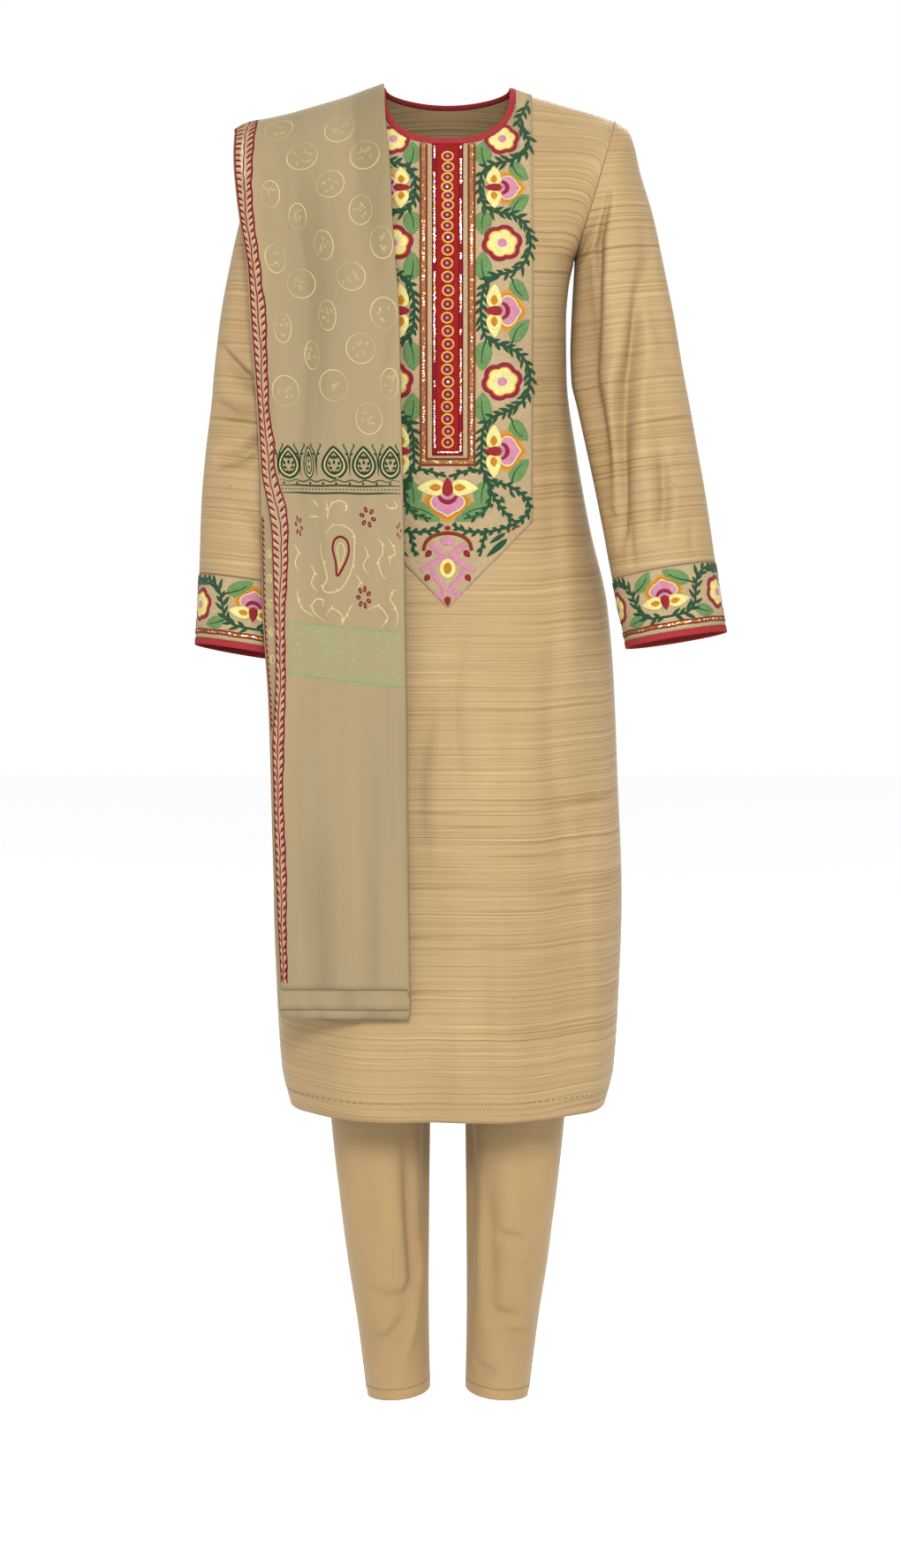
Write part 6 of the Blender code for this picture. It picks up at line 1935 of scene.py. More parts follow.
def make_neck_binding(colours):
    """The folded red binding round the neck's cut edge, a little puckered."""
    edge, normal = neck_edge()
    count = len(edge)
    along = unit(np.roll(edge, -1, axis=0) - np.roll(edge, 1, axis=0))
    inward = unit(np.cross(normal, along))
    if inward[0, 0] < 0:
        inward = -inward
    steps = np.arange(count)
    pucker = 0.00012 * np.sin(steps * 2.4) + 0.00008 * np.sin(steps * 5.1)
    grid = np.array([edge + inward * reach + normal * (height + pucker * (height > 0))[:, None]
                     for reach, height in BINDING_PROFILE])
    across = np.linalg.norm(np.roll(edge, -1, axis=0) - edge, axis=-1)
    run = np.concatenate([[0.0], np.cumsum(across[:-1]), [across.sum()]])
    reach = [place for place, _ in BINDING_PROFILE]
    faces = []
    flats = []
    for i in range(len(reach)):
        m = (i + 1) % len(reach)
        for j in range(count):
            k = (j + 1) % count
            faces.append((i * count + j, m * count + j, m * count + k, i * count + k))
            flats.extend([(reach[i], run[j]), (reach[m], run[j]), (reach[m], run[j + 1]),
                          (reach[i], run[j + 1])])
    points = grid.reshape(-1, 3)
    if faces_inward(points, faces[0], normal[0]):
        faces, flats = turned_over(faces, flats)
    cotton = cotton_material("binding_cotton", colours.binding)
    binding = new_piece("neck_binding_cloth", points, faces, flats, [cotton], ["neck_binding"])


# ---------------------------------------------------------------- the sleeves
SLEEVE_TURNS = 144
SLEEVE_ROWS = 156
CUFF_ROWS = 20
SLEEVE_GRAIN = (0.13, -0.10, -0.985)   # direction of the warp of the left sleeve
ARMHOLE_START = 0.0012
TOP_CROWDING = 1.1           # rows lie closer near the shoulder
BAND_GAP = 0.0004            # half the gaps at the cuff band's two seams, in shares along
BINDING_GAP = 0.0002
BINDING_FOLD = 0.003         # the binding's rows by its edges, in shares along
CUFF_CALM = 0.10             # share above the cuff band over which folds die away
SleevePart = namedtuple("SleevePart", "name material slot start end thickness out width length")


def sleeve_crease(folds, turns, along):
    """Depth of the sleeve's troughs and ridges round one ring."""
    total = np.zeros(len(turns))
    for fold in folds:
        share = (along - fold.start) / (fold.end - fold.start)
        strength = ease(share / FOLD_FADE) * ease((1 - share) / FOLD_FADE)
        apart = (turns - fold.turn + 180) % 360 - 180
        total += fold.depth * strength * np.exp(-(apart / fold.width) ** 2)
    return total


def above_cuff(along):
    """Folds die away at the stiff embroidered band of the cuff."""
    return ease((BAND_SEAM - along) / CUFF_CALM)


def sleeve_grid(rows, folds, creases, troughs, side, places, count):
    """Rings of a sleeve at the given places along it; side is 1 for the left."""
    armhole = SleeveRow(0.0, SHOULDER_TIP_X, SHOULDER_TIP_Z, ARMPIT_X, ARMPIT_Z, 0.0,
                        (ARMHOLE_FRONT + ARMHOLE_BACK) / 2, 0.0)
    sleeve = columns_of([armhole] + rows)
    turns = even_turns(count)
    grid = np.zeros((len(places), count, 3))
    front = np.sin(turns) > 0
    for i, along in enumerate(places):
        at = {name: float(curve(along)) for name, curve in sleeve.items()}
        outer = np.array([at["outer_x"], 0.0, at["outer_z"]])
        inner = np.array([at["inner_x"], 0.0, at["inner_z"]])
        centre = (outer + inner) / 2 + np.array([0.0, at["y"], 0.0])
        lean = math.radians(at["tilt"])
        forward = np.array([0.0, -math.cos(lean), math.sin(lean)])
        line = (1 + np.cos(turns)) / 2
        z = ARMPIT_Z + line * (SHOULDER_TIP_Z - ARMPIT_Z)
        rise = (z - ARMPIT_Z) / (shoulder_height(edge_x(z)) - ARMPIT_Z)
        seam = np.where(front, armhole_depth(rise, FRONT), -armhole_depth(rise, BACK))
        oval_reach = at["half_depth"] * np.sin(turns)
        blend = ease(along / ARMHOLE_BLEND)
        reach = seam * (1 - blend) + oval_reach * blend
        relief = sleeve_crease(folds, np.degrees(turns), along)
        run = np.full(count, along * SLEEVE_LENGTH)
        relief = relief + crease_height(creases, turns * SLEEVE_GIRTH_RADIUS, run)
        relief = relief + trough_height(troughs, turns * SLEEVE_GIRTH_RADIUS, run) * above_cuff(along)
        crease = 1 + relief / at["half_depth"]
        grid[i] = (centre + np.outer(np.cos(turns) * crease, (outer - inner) / 2)
                   + np.outer(reach * crease, forward))
    grid[:, :, 0] *= side
    return grid


def sleeve_places():
    """Places of a sleeve's rings along it: silk, cuff band, then the binding."""
    silk_length = BAND_SEAM - BAND_GAP - ARMHOLE_START
    upper = np.linspace(0, 1, SLEEVE_ROWS) ** TOP_CROWDING * silk_length + ARMHOLE_START
    cuff = np.linspace(BAND_SEAM + BAND_GAP, BINDING_SEAM - BINDING_GAP, CUFF_ROWS)
    binding = [BINDING_SEAM + BINDING_GAP, BINDING_SEAM + BINDING_FOLD, CUFF_END - BINDING_FOLD, CUFF_END]
    return np.concatenate([upper, cuff, binding])


def make_sleeve(name, sizes, silk, cotton, red):
    """One sleeve with its embroidered cuff band and its binding."""
    rows, folds, creases, troughs, side = (
        (LEFT_SLEEVE, LEFT_SLEEVE_FOLDS, LEFT_SLEEVE_CREASES, LEFT_SLEEVE_TROUGHS, 1)
        if name == "left" else
        (RIGHT_SLEEVE, RIGHT_SLEEVE_FOLDS, RIGHT_SLEEVE_CREASES, RIGHT_SLEEVE_TROUGHS, -1))
    places = sleeve_places()
    grid = sleeve_grid(rows, folds, creases, troughs, side, places, SLEEVE_TURNS)
    normals = grid_normals(grid, around=True)
    normals = facing(normals, grid, grid.mean(axis=1, keepdims=True))
    band_end = SLEEVE_ROWS + CUFF_ROWS
    parts = (
        SleevePart("sleeve", silk, "raw_silk", 0, SLEEVE_ROWS, sizes.shell, 0.0, 0.37, 0.55),
        SleevePart("cuff_band", cotton, "bib_cotton", SLEEVE_ROWS, band_end, sizes.shell, 0.0002,
                   0.315, 0.066),
        SleevePart("cuff_binding", red, "red_binding", band_end, len(places), BINDING_SHELL, 0.0008,
                   0.31, 0.010),
    )
    for part in parts:
        rings, out = grid[part.start:part.end], normals[part.start:part.end]
        flat = flat_coordinates(rings, around=True)
        if part.name == "sleeve":
            flat[:, :, 1] = rings @ (np.array(SLEEVE_GRAIN) * (side, 1, 1))
        shell = cloth_piece(f"{part.name}_{name}_cloth", rings + out * part.out, out, part.material,
                            [f"{part.name}_{name}"], part.thickness, around=True, flat=flat)
        if part.name == "cuff_band":
            sew_cuff(name, rings, out, sizes)


# ---------------------------------------------------------------- the trousers
TROUSER_COLUMNS = 52
WAISTBAND_COLUMNS, WAISTBAND_ROWS = 104, 8
HEM_MARKS, SEAM_MARKS = 70, 120
OUTSEAM_SHARE = 0.020        # the outseam's stitches lie this share of a panel in
EDGE_CALM = 0.4              # how fast a leg's folds rise from its seams
LEG_GIRTH = 0.17             # width of a leg panel, to turn shares into metres
TROUSER_HEIGHTS = np.concatenate([np.linspace(0, 0.63, 60, endpoint=False), np.linspace(0.63, 1, 190)])


def trouser_grid(side, leg_side, heights):
    """Points of one quarter of the trousers; side -1 is the front."""
    shares = np.linspace(0, 1, TROUSER_COLUMNS + 1)
    grid = np.zeros((len(heights), len(shares), 3))
    for i, height in enumerate(heights):
        hem = TROUSER_INNER_HEM_Z - TROUSER_OUTER_HEM_DROP * (1 - shares)
        z = WAIST_Z + (hem - WAIST_Z) * height
        below = ease((CROTCH_START_Z - z) / (CROTCH_START_Z - CROTCH_END_Z))
        hip_x = hip["half_width"](z) * np.cos(shares * QUARTER_TURN)
        hip_y = hip["front" if side < 0 else "back"](z) * np.sin(shares * QUARTER_TURN)
        leg_x = leg["centre"](z) + leg["half_width"](z) * np.cos(shares * HALF_TURN)
        leg_y = leg["half_depth"](z) * np.sin(shares * HALF_TURN)
        x = hip_x * (1 - below) + leg_x * below
        y = hip_y * (1 - below) + leg_y * below
        grid[i, :, 0] = leg_side * np.maximum(x, SEAM_GAP)
        grid[i, :, 1] = side * (y + SEAM_GAP / 2)
        grid[i, :, 2] = z
    return grid


# Folds of a leg by the panel's side and the leg's: paths are (share of the way from
# the outseam to the inseam, height).
TROUSER_TROUGHS = {
    (FRONT, 1): [
        Trough(((0.62, -1.217), (0.48, -1.222), (0.34, -1.226)), 0.0094, -0.0066, -0.25),
        Trough(((0.66, -1.304), (0.50, -1.309), (0.33, -1.313)), 0.0107, -0.0080, -0.25),
        Trough(((0.57, -1.325), (0.40, -1.331), (0.19, -1.335)), 0.0094, -0.0066, -0.25),
        Trough(((0.82, -1.361), (0.68, -1.369), (0.52, -1.372)), 0.0083, -0.0053, -0.25),
        Trough(((0.70, -1.150), (0.68, -1.220), (0.62, -1.315)), 0.0148, -0.0078, 0.2),
        Trough(((0.30, -1.090), (0.38, -1.140), (0.36, -1.190)), 0.0174, -0.0044, 0.0),
        Trough(((0.88, -1.070), (0.86, -1.180), (0.90, -1.300)), 0.0121, -0.0078, 0.0),
        Trough(((0.14, -1.240), (0.30, -1.256), (0.46, -1.262)), 0.0121, -0.0038, 0.0),
    ],
    (FRONT, -1): [
        Trough(((0.68, -1.110), (0.70, -1.180), (0.735, -1.272), (0.650, -1.288), (0.48, -1.291),
                (0.28, -1.281)), 0.0118, -0.0102, -0.2),
        Trough(((0.17, -1.342), (0.45, -1.336), (0.70, -1.302)), 0.0110, -0.0078, 0.2),
        Trough(((0.86, -1.250), (0.70, -1.320), (0.53, -1.374)), 0.0094, 0.0038, 0.0),
        Trough(((0.20, -1.130), (0.36, -1.160), (0.40, -1.230)), 0.0161, -0.0044, 0.0),
        Trough(((0.88, -1.060), (0.90, -1.170), (0.86, -1.240)), 0.0121, -0.0078, 0.0),
    ],
    (BACK, 1): [
        Trough(((0.30, -0.760), (0.42, -0.900), (0.48, -1.060)), 0.0201, -0.0095, 0.2),
        Trough(((0.10, -1.080), (0.45, -1.110), (0.82, -1.098)), 0.0134, -0.0095, 0.2),
        Trough(((0.20, -1.150), (0.50, -1.168), (0.84, -1.152)), 0.0121, -0.0095, -0.2),
        Trough(((0.08, -1.216), (0.40, -1.204), (0.70, -1.224)), 0.0121, -0.0081, 0.2),
        Trough(((0.30, -1.290), (0.60, -1.278), (0.88, -1.296)), 0.0107, -0.0068, 0.2),
        Trough(((0.20, -1.340), (0.50, -1.352), (0.70, -1.346)), 0.0107, -0.0054, 0.0),
    ],
    (BACK, -1): [
        Trough(((0.60, -0.780), (0.50, -0.920), (0.54, -1.050)), 0.0201, -0.0095, -0.2),
        Trough(((0.12, -1.066), (0.42, -1.088), (0.74, -1.070)), 0.0134, -0.0095, 0.2),
        Trough(((0.24, -1.122), (0.56, -1.140), (0.90, -1.124)), 0.0121, -0.0095, 0.2),
        Trough(((0.10, -1.186), (0.38, -1.172), (0.66, -1.190)), 0.0121, -0.0086, -0.2),
        Trough(((0.30, -1.240), (0.62, -1.256), (0.90, -1.244)), 0.0116, -0.0076, 0.2),
        Trough(((0.12, -1.312), (0.40, -1.322), (0.64, -1.310)), 0.0107, -0.0062, 0.0),
    ],
}


def trouser_panel(side, leg_side):
    """Points and normals of one quarter of the trousers, with its folds."""
    shares = np.linspace(0, 1, TROUSER_COLUMNS + 1)
    grid = trouser_grid(side, leg_side, TROUSER_HEIGHTS)
    low = ease((CROTCH_START_Z - grid[:, :, 2:]) / (CROTCH_START_Z - CROTCH_END_Z))
    centre = grid * np.array([0, 0, 1.0])
    centre[:, :, 0] = leg_side * leg["centre"](grid[:, :, 2]) * low[:, :, 0]
    normals = facing(grid_normals(grid), grid, centre)
    troughs = [trough._replace(path=[(share * LEG_GIRTH, z) for share, z in trough.path])
               for trough in TROUSER_TROUGHS[(side, leg_side)]]
    relief = trough_height(troughs, shares * LEG_GIRTH + grid[:, :, 2] * 0, grid[:, :, 2])
    relief = relief * np.sin(HALF_TURN * shares) ** EDGE_CALM
    grid = grid + normals * relief[:, :, None]
    return grid, facing(grid_normals(grid), grid, centre)


def sew_leg(name, grid, normals):
    """The hem's stitches and the outseam's line on one leg panel."""
    shares = np.linspace(0, 1, TROUSER_COLUMNS + 1)
    work = Needlework(GridSurface(grid, normals, shares, TROUSER_HEIGHTS))
    hem = 1 - TROUSER_HEM / (WAIST_Z - TROUSER_INNER_HEM_Z)
    run = np.linspace(0.01, 0.99, HEM_MARKS)
    for k in range(0, HEM_MARKS - 1, 2):
        stitch = [(run[k], hem), (run[k] / 2 + run[k + 1] / 2, hem), (run[k + 1], hem)]
        work.strand("seam", stitch, 0.0006, 0.0002)
    seam = np.stack([np.full(SEAM_MARKS, OUTSEAM_SHARE), np.linspace(0.02, 0.995, SEAM_MARKS)], axis=-1)
    work.strand("seam", seam, 0.0065, 0.0003)
    return work.build(f"trouser_{name}_stitches", "trouser_satin")


def make_trousers(colours, sizes):
    """The four leg panels with their stitches, and the waistband."""
    satin = satin_material(colours)
    for leg_side, leg_name in ((1, "left"), (-1, "right")):
        for side, side_name in ((FRONT, "front"), (BACK, "back")):
            name = f"{side_name}_{leg_name}"
            grid, normals = trouser_panel(side, leg_side)
            shell = cloth_piece(f"trouser_{name}_cloth", grid, normals, satin,
                                [f"trouser_{name}"], sizes.shell)
            stitches = sew_leg(name, grid, normals)
    turns = even_turns(WAISTBAND_COLUMNS)
    rows = []
    for z in np.linspace(WAISTBAND_TOP_Z, WAIST_Z + SEAM_GAP, WAISTBAND_ROWS):
        depth = np.where(np.sin(turns) < 0, hip["front"](z), hip["back"](z))
        rows.append(np.stack([hip["half_width"](z) * np.cos(turns), depth * np.sin(turns),
                              np.full(WAISTBAND_COLUMNS, z)], axis=-1))
    grid = np.array(rows)
    normals = facing(grid_normals(grid, around=True), grid, grid * np.array([0, 0, 1.0]))
    band = cloth_piece("trouser_waistband_cloth", grid, normals, satin,
                       ["trouser_waistband"], BINDING_SHELL, around=True)


# ---------------------------------------------------------------- the dupatta
LAYER_SHARES = tuple(np.linspace(0, 1, 41))
FRONT_FALL_ROWS = 110
BACK_FALL_ROWS = 84
RIPPLE_START = 0.25          # share of a fall over which its ripples grow
DRAPE_GUESS_X = 0.14         # where the drape's height is first guessed
DRAPE_EDGE_SHARE = 0.985
DRAPE_CENTRE = (-0.13, 0.0, -0.35)     # inside the shoulder and the falls
TURN_CLEAR = 0.0003          # a fold's turn stays this far within the fall's width
ARC_ROWS = 51                # odd, so that one row runs along the ridge
# Long shallow ripples down the fall: (share of the width at top and end, width, depth).
Ripple = namedtuple("Ripple", "top end width depth")
FRONT_RIPPLES = [
    Ripple(0.16, 0.20, 0.040, 0.0013),
    Ripple(0.34, 0.31, 0.050, -0.0012),
    Ripple(0.52, 0.58, 0.035, 0.0010),
    Ripple(0.70, 0.66, 0.050, -0.0013),
    Ripple(0.86, 0.88, 0.040, 0.0011),
]
BACK_RIPPLES = [
    Ripple(0.20, 0.14, 0.045, -0.0012),
    Ripple(0.38, 0.44, 0.050, 0.0014),
    Ripple(0.60, 0.56, 0.040, -0.0010),
    Ripple(0.78, 0.84, 0.050, 0.0012),
]


def drape_top(x):
    """Height of the dupatta's inner face where it crosses the shoulder."""
    reach = np.abs(x)
    on_cloth = shoulder_height(np.minimum(reach, DRAPE_TIP_X))
    past_tip = DRAPE_TIP_SLOPE * np.maximum(reach - DRAPE_TIP_X, 0)
    edge = DRAPE_EDGE_DROP * np.maximum(reach - DRAPE_EDGE_DROP_X, 0) ** 2
    lift = DRAPE_NECK_LIFT * (1 - ease((reach - DRAPE_LIFT_START_X)
                                       / (DRAPE_LIFT_END_X - DRAPE_LIFT_START_X)))
    return on_cloth - past_tip - edge + DRAPE_CLEAR + lift


def drape_point(share, angle, fall, side, fall_z=None):
    """Point on the dupatta's inner face.

    share runs from its outer edge (0) to the edge by the neck (1). The angle is 0
    on top of the shoulder and 90 degrees where the fall hangs free; lower points
    are given by fall_z.
    """
    guess_z = fall_z
    if fall_z is None:
        guess_z = np.full(np.shape(share), ARMPIT_Z + (drape_top(DRAPE_GUESS_X) - ARMPIT_Z) * math.cos(angle))
    outer = fall["arm_x"](guess_z)
    x = outer + share * (fall["neck_x"](guess_z) - outer)
    if fall_z is None:
        z = ARMPIT_Z + (drape_top(x) - ARMPIT_Z) * math.cos(angle)
        dome = math.sin(angle)
    else:
        z = fall_z
        dome = 1.0
    across = ease((x - DRAPE_NECK_X) / (DRAPE_ARM_X - DRAPE_NECK_X))
    depth = fall["neck_depth"](z) * (1 - across) + fall["arm_depth"](z) * across
    depth = depth * dome ** (1 - DRAPE_FULLNESS * across)
    cloth = body_depth(np.minimum(x, DRAPE_EDGE_SHARE * edge_x(z)), z, side) + DRAPE_CLEAR
    depth = np.where(z > ARMPIT_Z, np.maximum(depth, cloth * (dome > 0)), depth)
    return np.stack([-x, side * depth, z], axis=-1)


def dupatta_rows():
    """Rows of the whole drape, from the front end over the shoulder to the back end."""
    rows = [("front", 1 - step / FRONT_FALL_ROWS, None) for step in range(FRONT_FALL_ROWS)]
    rows += [("arc", None, math.radians(angle)) for angle in np.linspace(90, -90, ARC_ROWS)]
    rows += [("back", step / BACK_FALL_ROWS, None) for step in range(1, BACK_FALL_ROWS + 1)]
    return rows


def ripple_height(ripples, share, step):
    """Height of the long ripples at shares of the width, growing down the fall."""
    total = np.zeros(np.shape(share))
    for ripple in ripples:
        wander = 0.02 * math.sin(9 * step + ripple.top * 20)
        centre = ripple.top + (ripple.end - ripple.top) * step + wander
        total += ripple.depth * np.exp(-((share - centre) / ripple.width) ** 2)
    return total * float(ease(step / RIPPLE_START)) * np.sin(HALF_TURN * share) ** 0.5


def dupatta_masters(rows):
    """The inner face's points and normals for each layer, along every row."""
    shares = np.array(LAYER_SHARES)
    base = []
    for layer in range(DUPATTA_LAYERS):
        master = np.zeros((len(rows), len(shares), 3))
        relief = np.zeros((len(rows), len(shares)))
        for i, (kind, step, angle) in enumerate(rows):
            in_front = kind == "front" or (kind == "arc" and angle > 0)
            fall, side, ends, ripples = ((front_fall, FRONT, FRONT_END_Z, FRONT_RIPPLES) if in_front
                                         else (back_fall, BACK, BACK_END_Z, BACK_RIPPLES))
            if kind == "arc":
                master[i] = drape_point(shares, abs(angle), fall, side)
            else:
                z = np.full(len(shares), ARMPIT_Z + step * (ends[layer] - ARMPIT_Z))
                master[i] = drape_point(shares, None, fall, side, z)
                relief[i] = ripple_height(ripples, shares, step)
        normals = facing(grid_normals(master), master, np.array(DRAPE_CENTRE))
        base.append((master + normals * relief[:, :, None], normals))
    return base


def layer_points(base, i, row, layer, shares):
    """Points of one layer, or of a turn between two, along a row."""
    kind, step, _ = row
    spread = 0.0 if kind == "arc" else step
    pitch = LAYER_PITCH_TOP + (LAYER_PITCH_END - LAYER_PITCH_TOP) * spread
    low, high = base[int(math.floor(layer))], base[int(math.ceil(layer))]
    master = (low[0][i] + high[0][i]) / 2
    normals = unit(low[1][i] + high[1][i])
    width = np.linalg.norm(master[-1] - master[0])
    tuck = (pitch / 2 + TURN_CLEAR) / width
    places = np.asarray(shares, dtype=float)
    if layer == int(layer):
        places = np.clip(places, tuck, 1 - tuck)
        if layer == DUPATTA_LAYERS - 1 and kind == "front":
            start = tuck + float(top_layer_edge(master[0][2])) / width
            places = start + places * (1 - tuck - start)
    master_at, normal_at = (
        np.stack([np.interp(places, LAYER_SHARES, field[:, axis]) for axis in range(3)], axis=-1)
        for field in (master, normals))
    return master_at + unit(normal_at) * (DUPATTA_WALL / 2 + layer * pitch)


def dupatta_grid():
    """Middle surface of the folded sheet, and where its top layer lies in it."""
    rows = dupatta_rows()
    base = dupatta_masters(rows)
    grid = []
    for i, row in enumerate(rows):
        line = []
        for layer in range(DUPATTA_LAYERS - 1, -1, -1):
            shares = list(LAYER_SHARES)
            if (DUPATTA_LAYERS - 1 - layer) % 2 == 1:
                shares = shares[::-1]
            line.extend(layer_points(base, i, row, float(layer), shares))
            if layer > 0:
                line.extend(layer_points(base, i, row, layer - 0.5, [shares[-1]]))
        grid.append(line)
    return np.array(grid)


# ---------------------------------------------------------------- the dupatta's prints
# Places on the dupatta are millimetres in from its outer edge and down from the ridge
# of the shoulder, on a width of 150.
PRINT_WIDTH = 0.150
# How far the prints stand off the cloth, one over another, so that none hides in it.
WASH_LEVEL = 0.00002
PALE_LEVEL = 0.00004
PRINT_LEVEL = 0.00006
HEART_LEVEL = 0.00009
PRINT_SINK = 0.00012
SOFT_END = 0.2               # share of a printed line over which each end narrows
END_WIDTH = 0.35
TOP_LAYER_PROBE = (20, 10)   # a row and column of the front fall's top layer
RIDGE_ROW = FRONT_FALL_ROWS + ARC_ROWS // 2
BORDER_EDGE = [
    (0, 23), (25, 23), (69, 20), (115, 15.5), (158, 14), (201, 13.5), (233, 14), (255, 17), (266, 17),
    (299, 15), (365, 13), (394, 17), (419, 15.5), (441, 19), (464, 22), (531, 18), (576, 13),
    (622, 12.5), (713, 14.5), (759, 11.5), (805, 13), (851, 13.5), (898, 11), (963, 9.5),
]
BORDER_MIDDLE = [
    (0, 14), (25, 14), (61, 10.5), (91, 9.5), (136, 7), (172, 6.5), (210, 6), (266, 8.5), (299, 8.5),
    (353, 6), (397, 8.5), (441, 9.5), (475, 11.5), (495, 12.5), (531, 10), (576, 6.5), (667, 6.5),
    (713, 7), (759, 5.8), (851, 6.8), (898, 5.4), (963, 4.8),
]
BORDER_LINE = 1.1            # the outermost line
BORDER_STEP = 4.0
BORDER_START = 3.0
BORDER_END_CLEAR = 10
PALE_LEAF_CHANCE = 0.75
# The paler stretch along the border's middle is a painted highlight: the lamp's glare on the pale print, laid
# as a white wash.
PAINTED_GLARE_TOP, PAINTED_GLARE_FOOT = 36, 112          # a paler stretch along the border's middle
PAINTED_GLARE_SWELL = 2.6
MEDALLION_CURLS = 7
Medallion = namedtuple("Medallion", "across down half_width half_length")
MEDALLIONS = [Medallion(*row) for row in (
    (45, 49, 14.0, 14.0), (105, 68, 14.5, 14.5), (67, 90, 15.0, 15.0), (127, 103, 14.0, 14.0),
    (92, 126, 13.5, 14.0), (33, 128, 9.0, 16.0), (120, 157, 11.0, 14.5), (58, 157, 8.5, 15.0),
    (138, 190, 11.0, 15.0), (81, 190, 9.5, 15.5), (30, 203, 10.5, 15.5), (106, 223, 14.0, 14.5),
    (55, 230, 14.5, 15.0), (136, 261, 13.0, 16.0), (80, 263, 8.5, 15.5), (33, 275, 9.0, 16.0),
    (112, 297, 14.5, 15.5), (62, 304, 7.5, 14.5), (32, 341, 14.0, 16.0), (83, 335, 14.5, 16.0),
    (140, 333, 9.0, 15.5), (118, 369, 13.5, 16.0),
)]
Arch = namedtuple("Arch", "across width")
ARCHES = [Arch(31, 23.0), Arch(52.5, 10.5), Arch(80, 25.5), Arch(111, 23.5), Arch(138.5, 21.5)]
NARROW_ARCH = 15             # a narrower arch has a row of leaf marks only
ARCH_TOP, ARCH_FOOT = 398.0, 431.0
ArchLine = namedtuple("ArchLine", "wide tall rise thread line")
ARCH_LINES = [
    ArchLine(1.0, 1.0, 0.0, "print_green", 2.1), ArchLine(0.82, 0.84, 2.4, "print_pale", 0.8),
    ArchLine(0.66, 0.70, 4.6, "print_green", 1.7),
]
# Leaf marks in an arch, and its crown, as shares of its width and height.
LeafMark = namedtuple("LeafMark", "aside rise lean")
ARCH_MARKS = [LeafMark(*row) for row in (
    (0.0, 0.60, 0.0), (-0.05, 0.62, 0.8), (0.05, 0.62, -0.8), (-0.16, 0.42, 0.5),
    (0.16, 0.42, -0.5), (-0.08, 0.30, 1.1), (0.08, 0.30, -1.1), (0.0, 0.44, 0.0),
)]
ARCH_CROWN = [
    (-0.24, 0.26), (-0.15, 0.17), (-0.07, 0.22), (0.0, 0.15), (0.07, 0.22), (0.15, 0.17), (0.24, 0.26),
]
BAND_LEFT, BAND_RIGHT = 19.0, 149.0
BAND_LINES = (438.6, 446.4)
DOTS_DOWN, SCALLOP_DOWN = 442.4, 433.6
# The curl that stands between two arches: aside from its stem, and down.
CURL = [(0.0, 428), (0.4, 414), (1.6, 405), (4.2, 399.5), (5.6, 396.5), (3.9, 395.0)]
RingFlower = namedtuple("RingFlower", "across down half_width half_length petals")
RING_FLOWERS = [
    RingFlower(111.5, 471, 10.5, 13.0, 6), RingFlower(33, 481, 5.0, 13.0, 6),
    RingFlower(146, 485, 4.0, 11.0, 5), RingFlower(104.5, 554, 10.0, 14.0, 7),
]
LOOP = [(75, 532), (73.5, 518), (70.5, 504), (73, 495), (80, 491.5), (87, 496), (88.5, 507), (84, 519)]
PETAL_REACH = 0.62           # a ring flower's petals stand at this share of its half size
PETAL_HEART = (0.22, 0.40)
LOOP_MIDDLE = np.array([80, 509])
LOOP_INNER = (0.45, 0.62)    # the pale loop inside, as a share of the dark one
PALE_SCROLLS = [
    [(66, 473), (68, 465), (67, 454)], [(68, 466), (73, 458), (82, 454), (89, 458), (88, 464), (84, 463)],
    [(53, 453), (58, 461)], [(46, 471), (57, 471)],
    [(62, 489), (71, 481), (84, 480), (95, 489), (95, 504), (93, 520), (86, 536), (76, 547), (62, 549),
     (58, 544), (63, 535), (60, 520), (57, 508), (57, 497)],
    [(131, 457), (137, 462), (144, 460), (141, 454)],
    [(121, 492), (126, 498), (127, 508), (122, 517), (125, 529), (130, 536)],
    [(132, 492), (138, 500), (141, 509), (136, 512), (134.5, 520)],
    [(144, 546), (137, 548), (135, 556), (140, 564), (143, 573), (141, 584)],
    [(57, 564), (58, 557), (51, 556), (45, 562), (47, 570), (59, 579)],
    [(29, 546), (29, 556), (35, 567), (47, 574)], [(60, 573), (67, 566), (75, 569), (80, 575), (78, 583)],
    [(92, 560), (85, 571), (78, 583)], [(109, 567), (120, 563), (128, 569), (131, 577), (124, 585)],
    [(26, 500), (31, 508), (27, 519), (31, 529)], [(44, 520), (49, 529), (45, 540), (52, 549)],
    [(96, 531), (101, 538), (97, 545)], [(106, 500), (110, 510), (105, 521), (110, 531)],
]
GLITTER_TOP = [(-5, 579), (20, 581), (80, 585), (155, 591.5)]
GLITTER_FOOT = [(-5, 631), (20, 633), (80, 640), (155, 648.5)]
GLITTER_COLUMNS, GLITTER_ROWS = 24, 10
GLITTER_SPECKS = 420
UNDER_TOP, UNDER_FOOT = 470, 690
UNDER_MEDALLIONS = (508, 534, 560, 588, 617)


def profile_at(profile, place):
    """Read a profile of (place down, value) pairs."""
    table = np.asarray(profile, dtype=float)
    return np.interp(place, table[:, 0], table[:, 1])


def print_wash(work, thread, left, right, downs, level, columns):
    """A tinted ground between two edges, laid close along the cloth."""
    shares = np.linspace(0, 1, columns)
    flat = left[:, None] + (right - left)[:, None] * shares
    flat = np.stack([flat, np.broadcast_to(downs[:, None], flat.shape)], axis=-1) * MM
    work.wash(thread, flat, level)


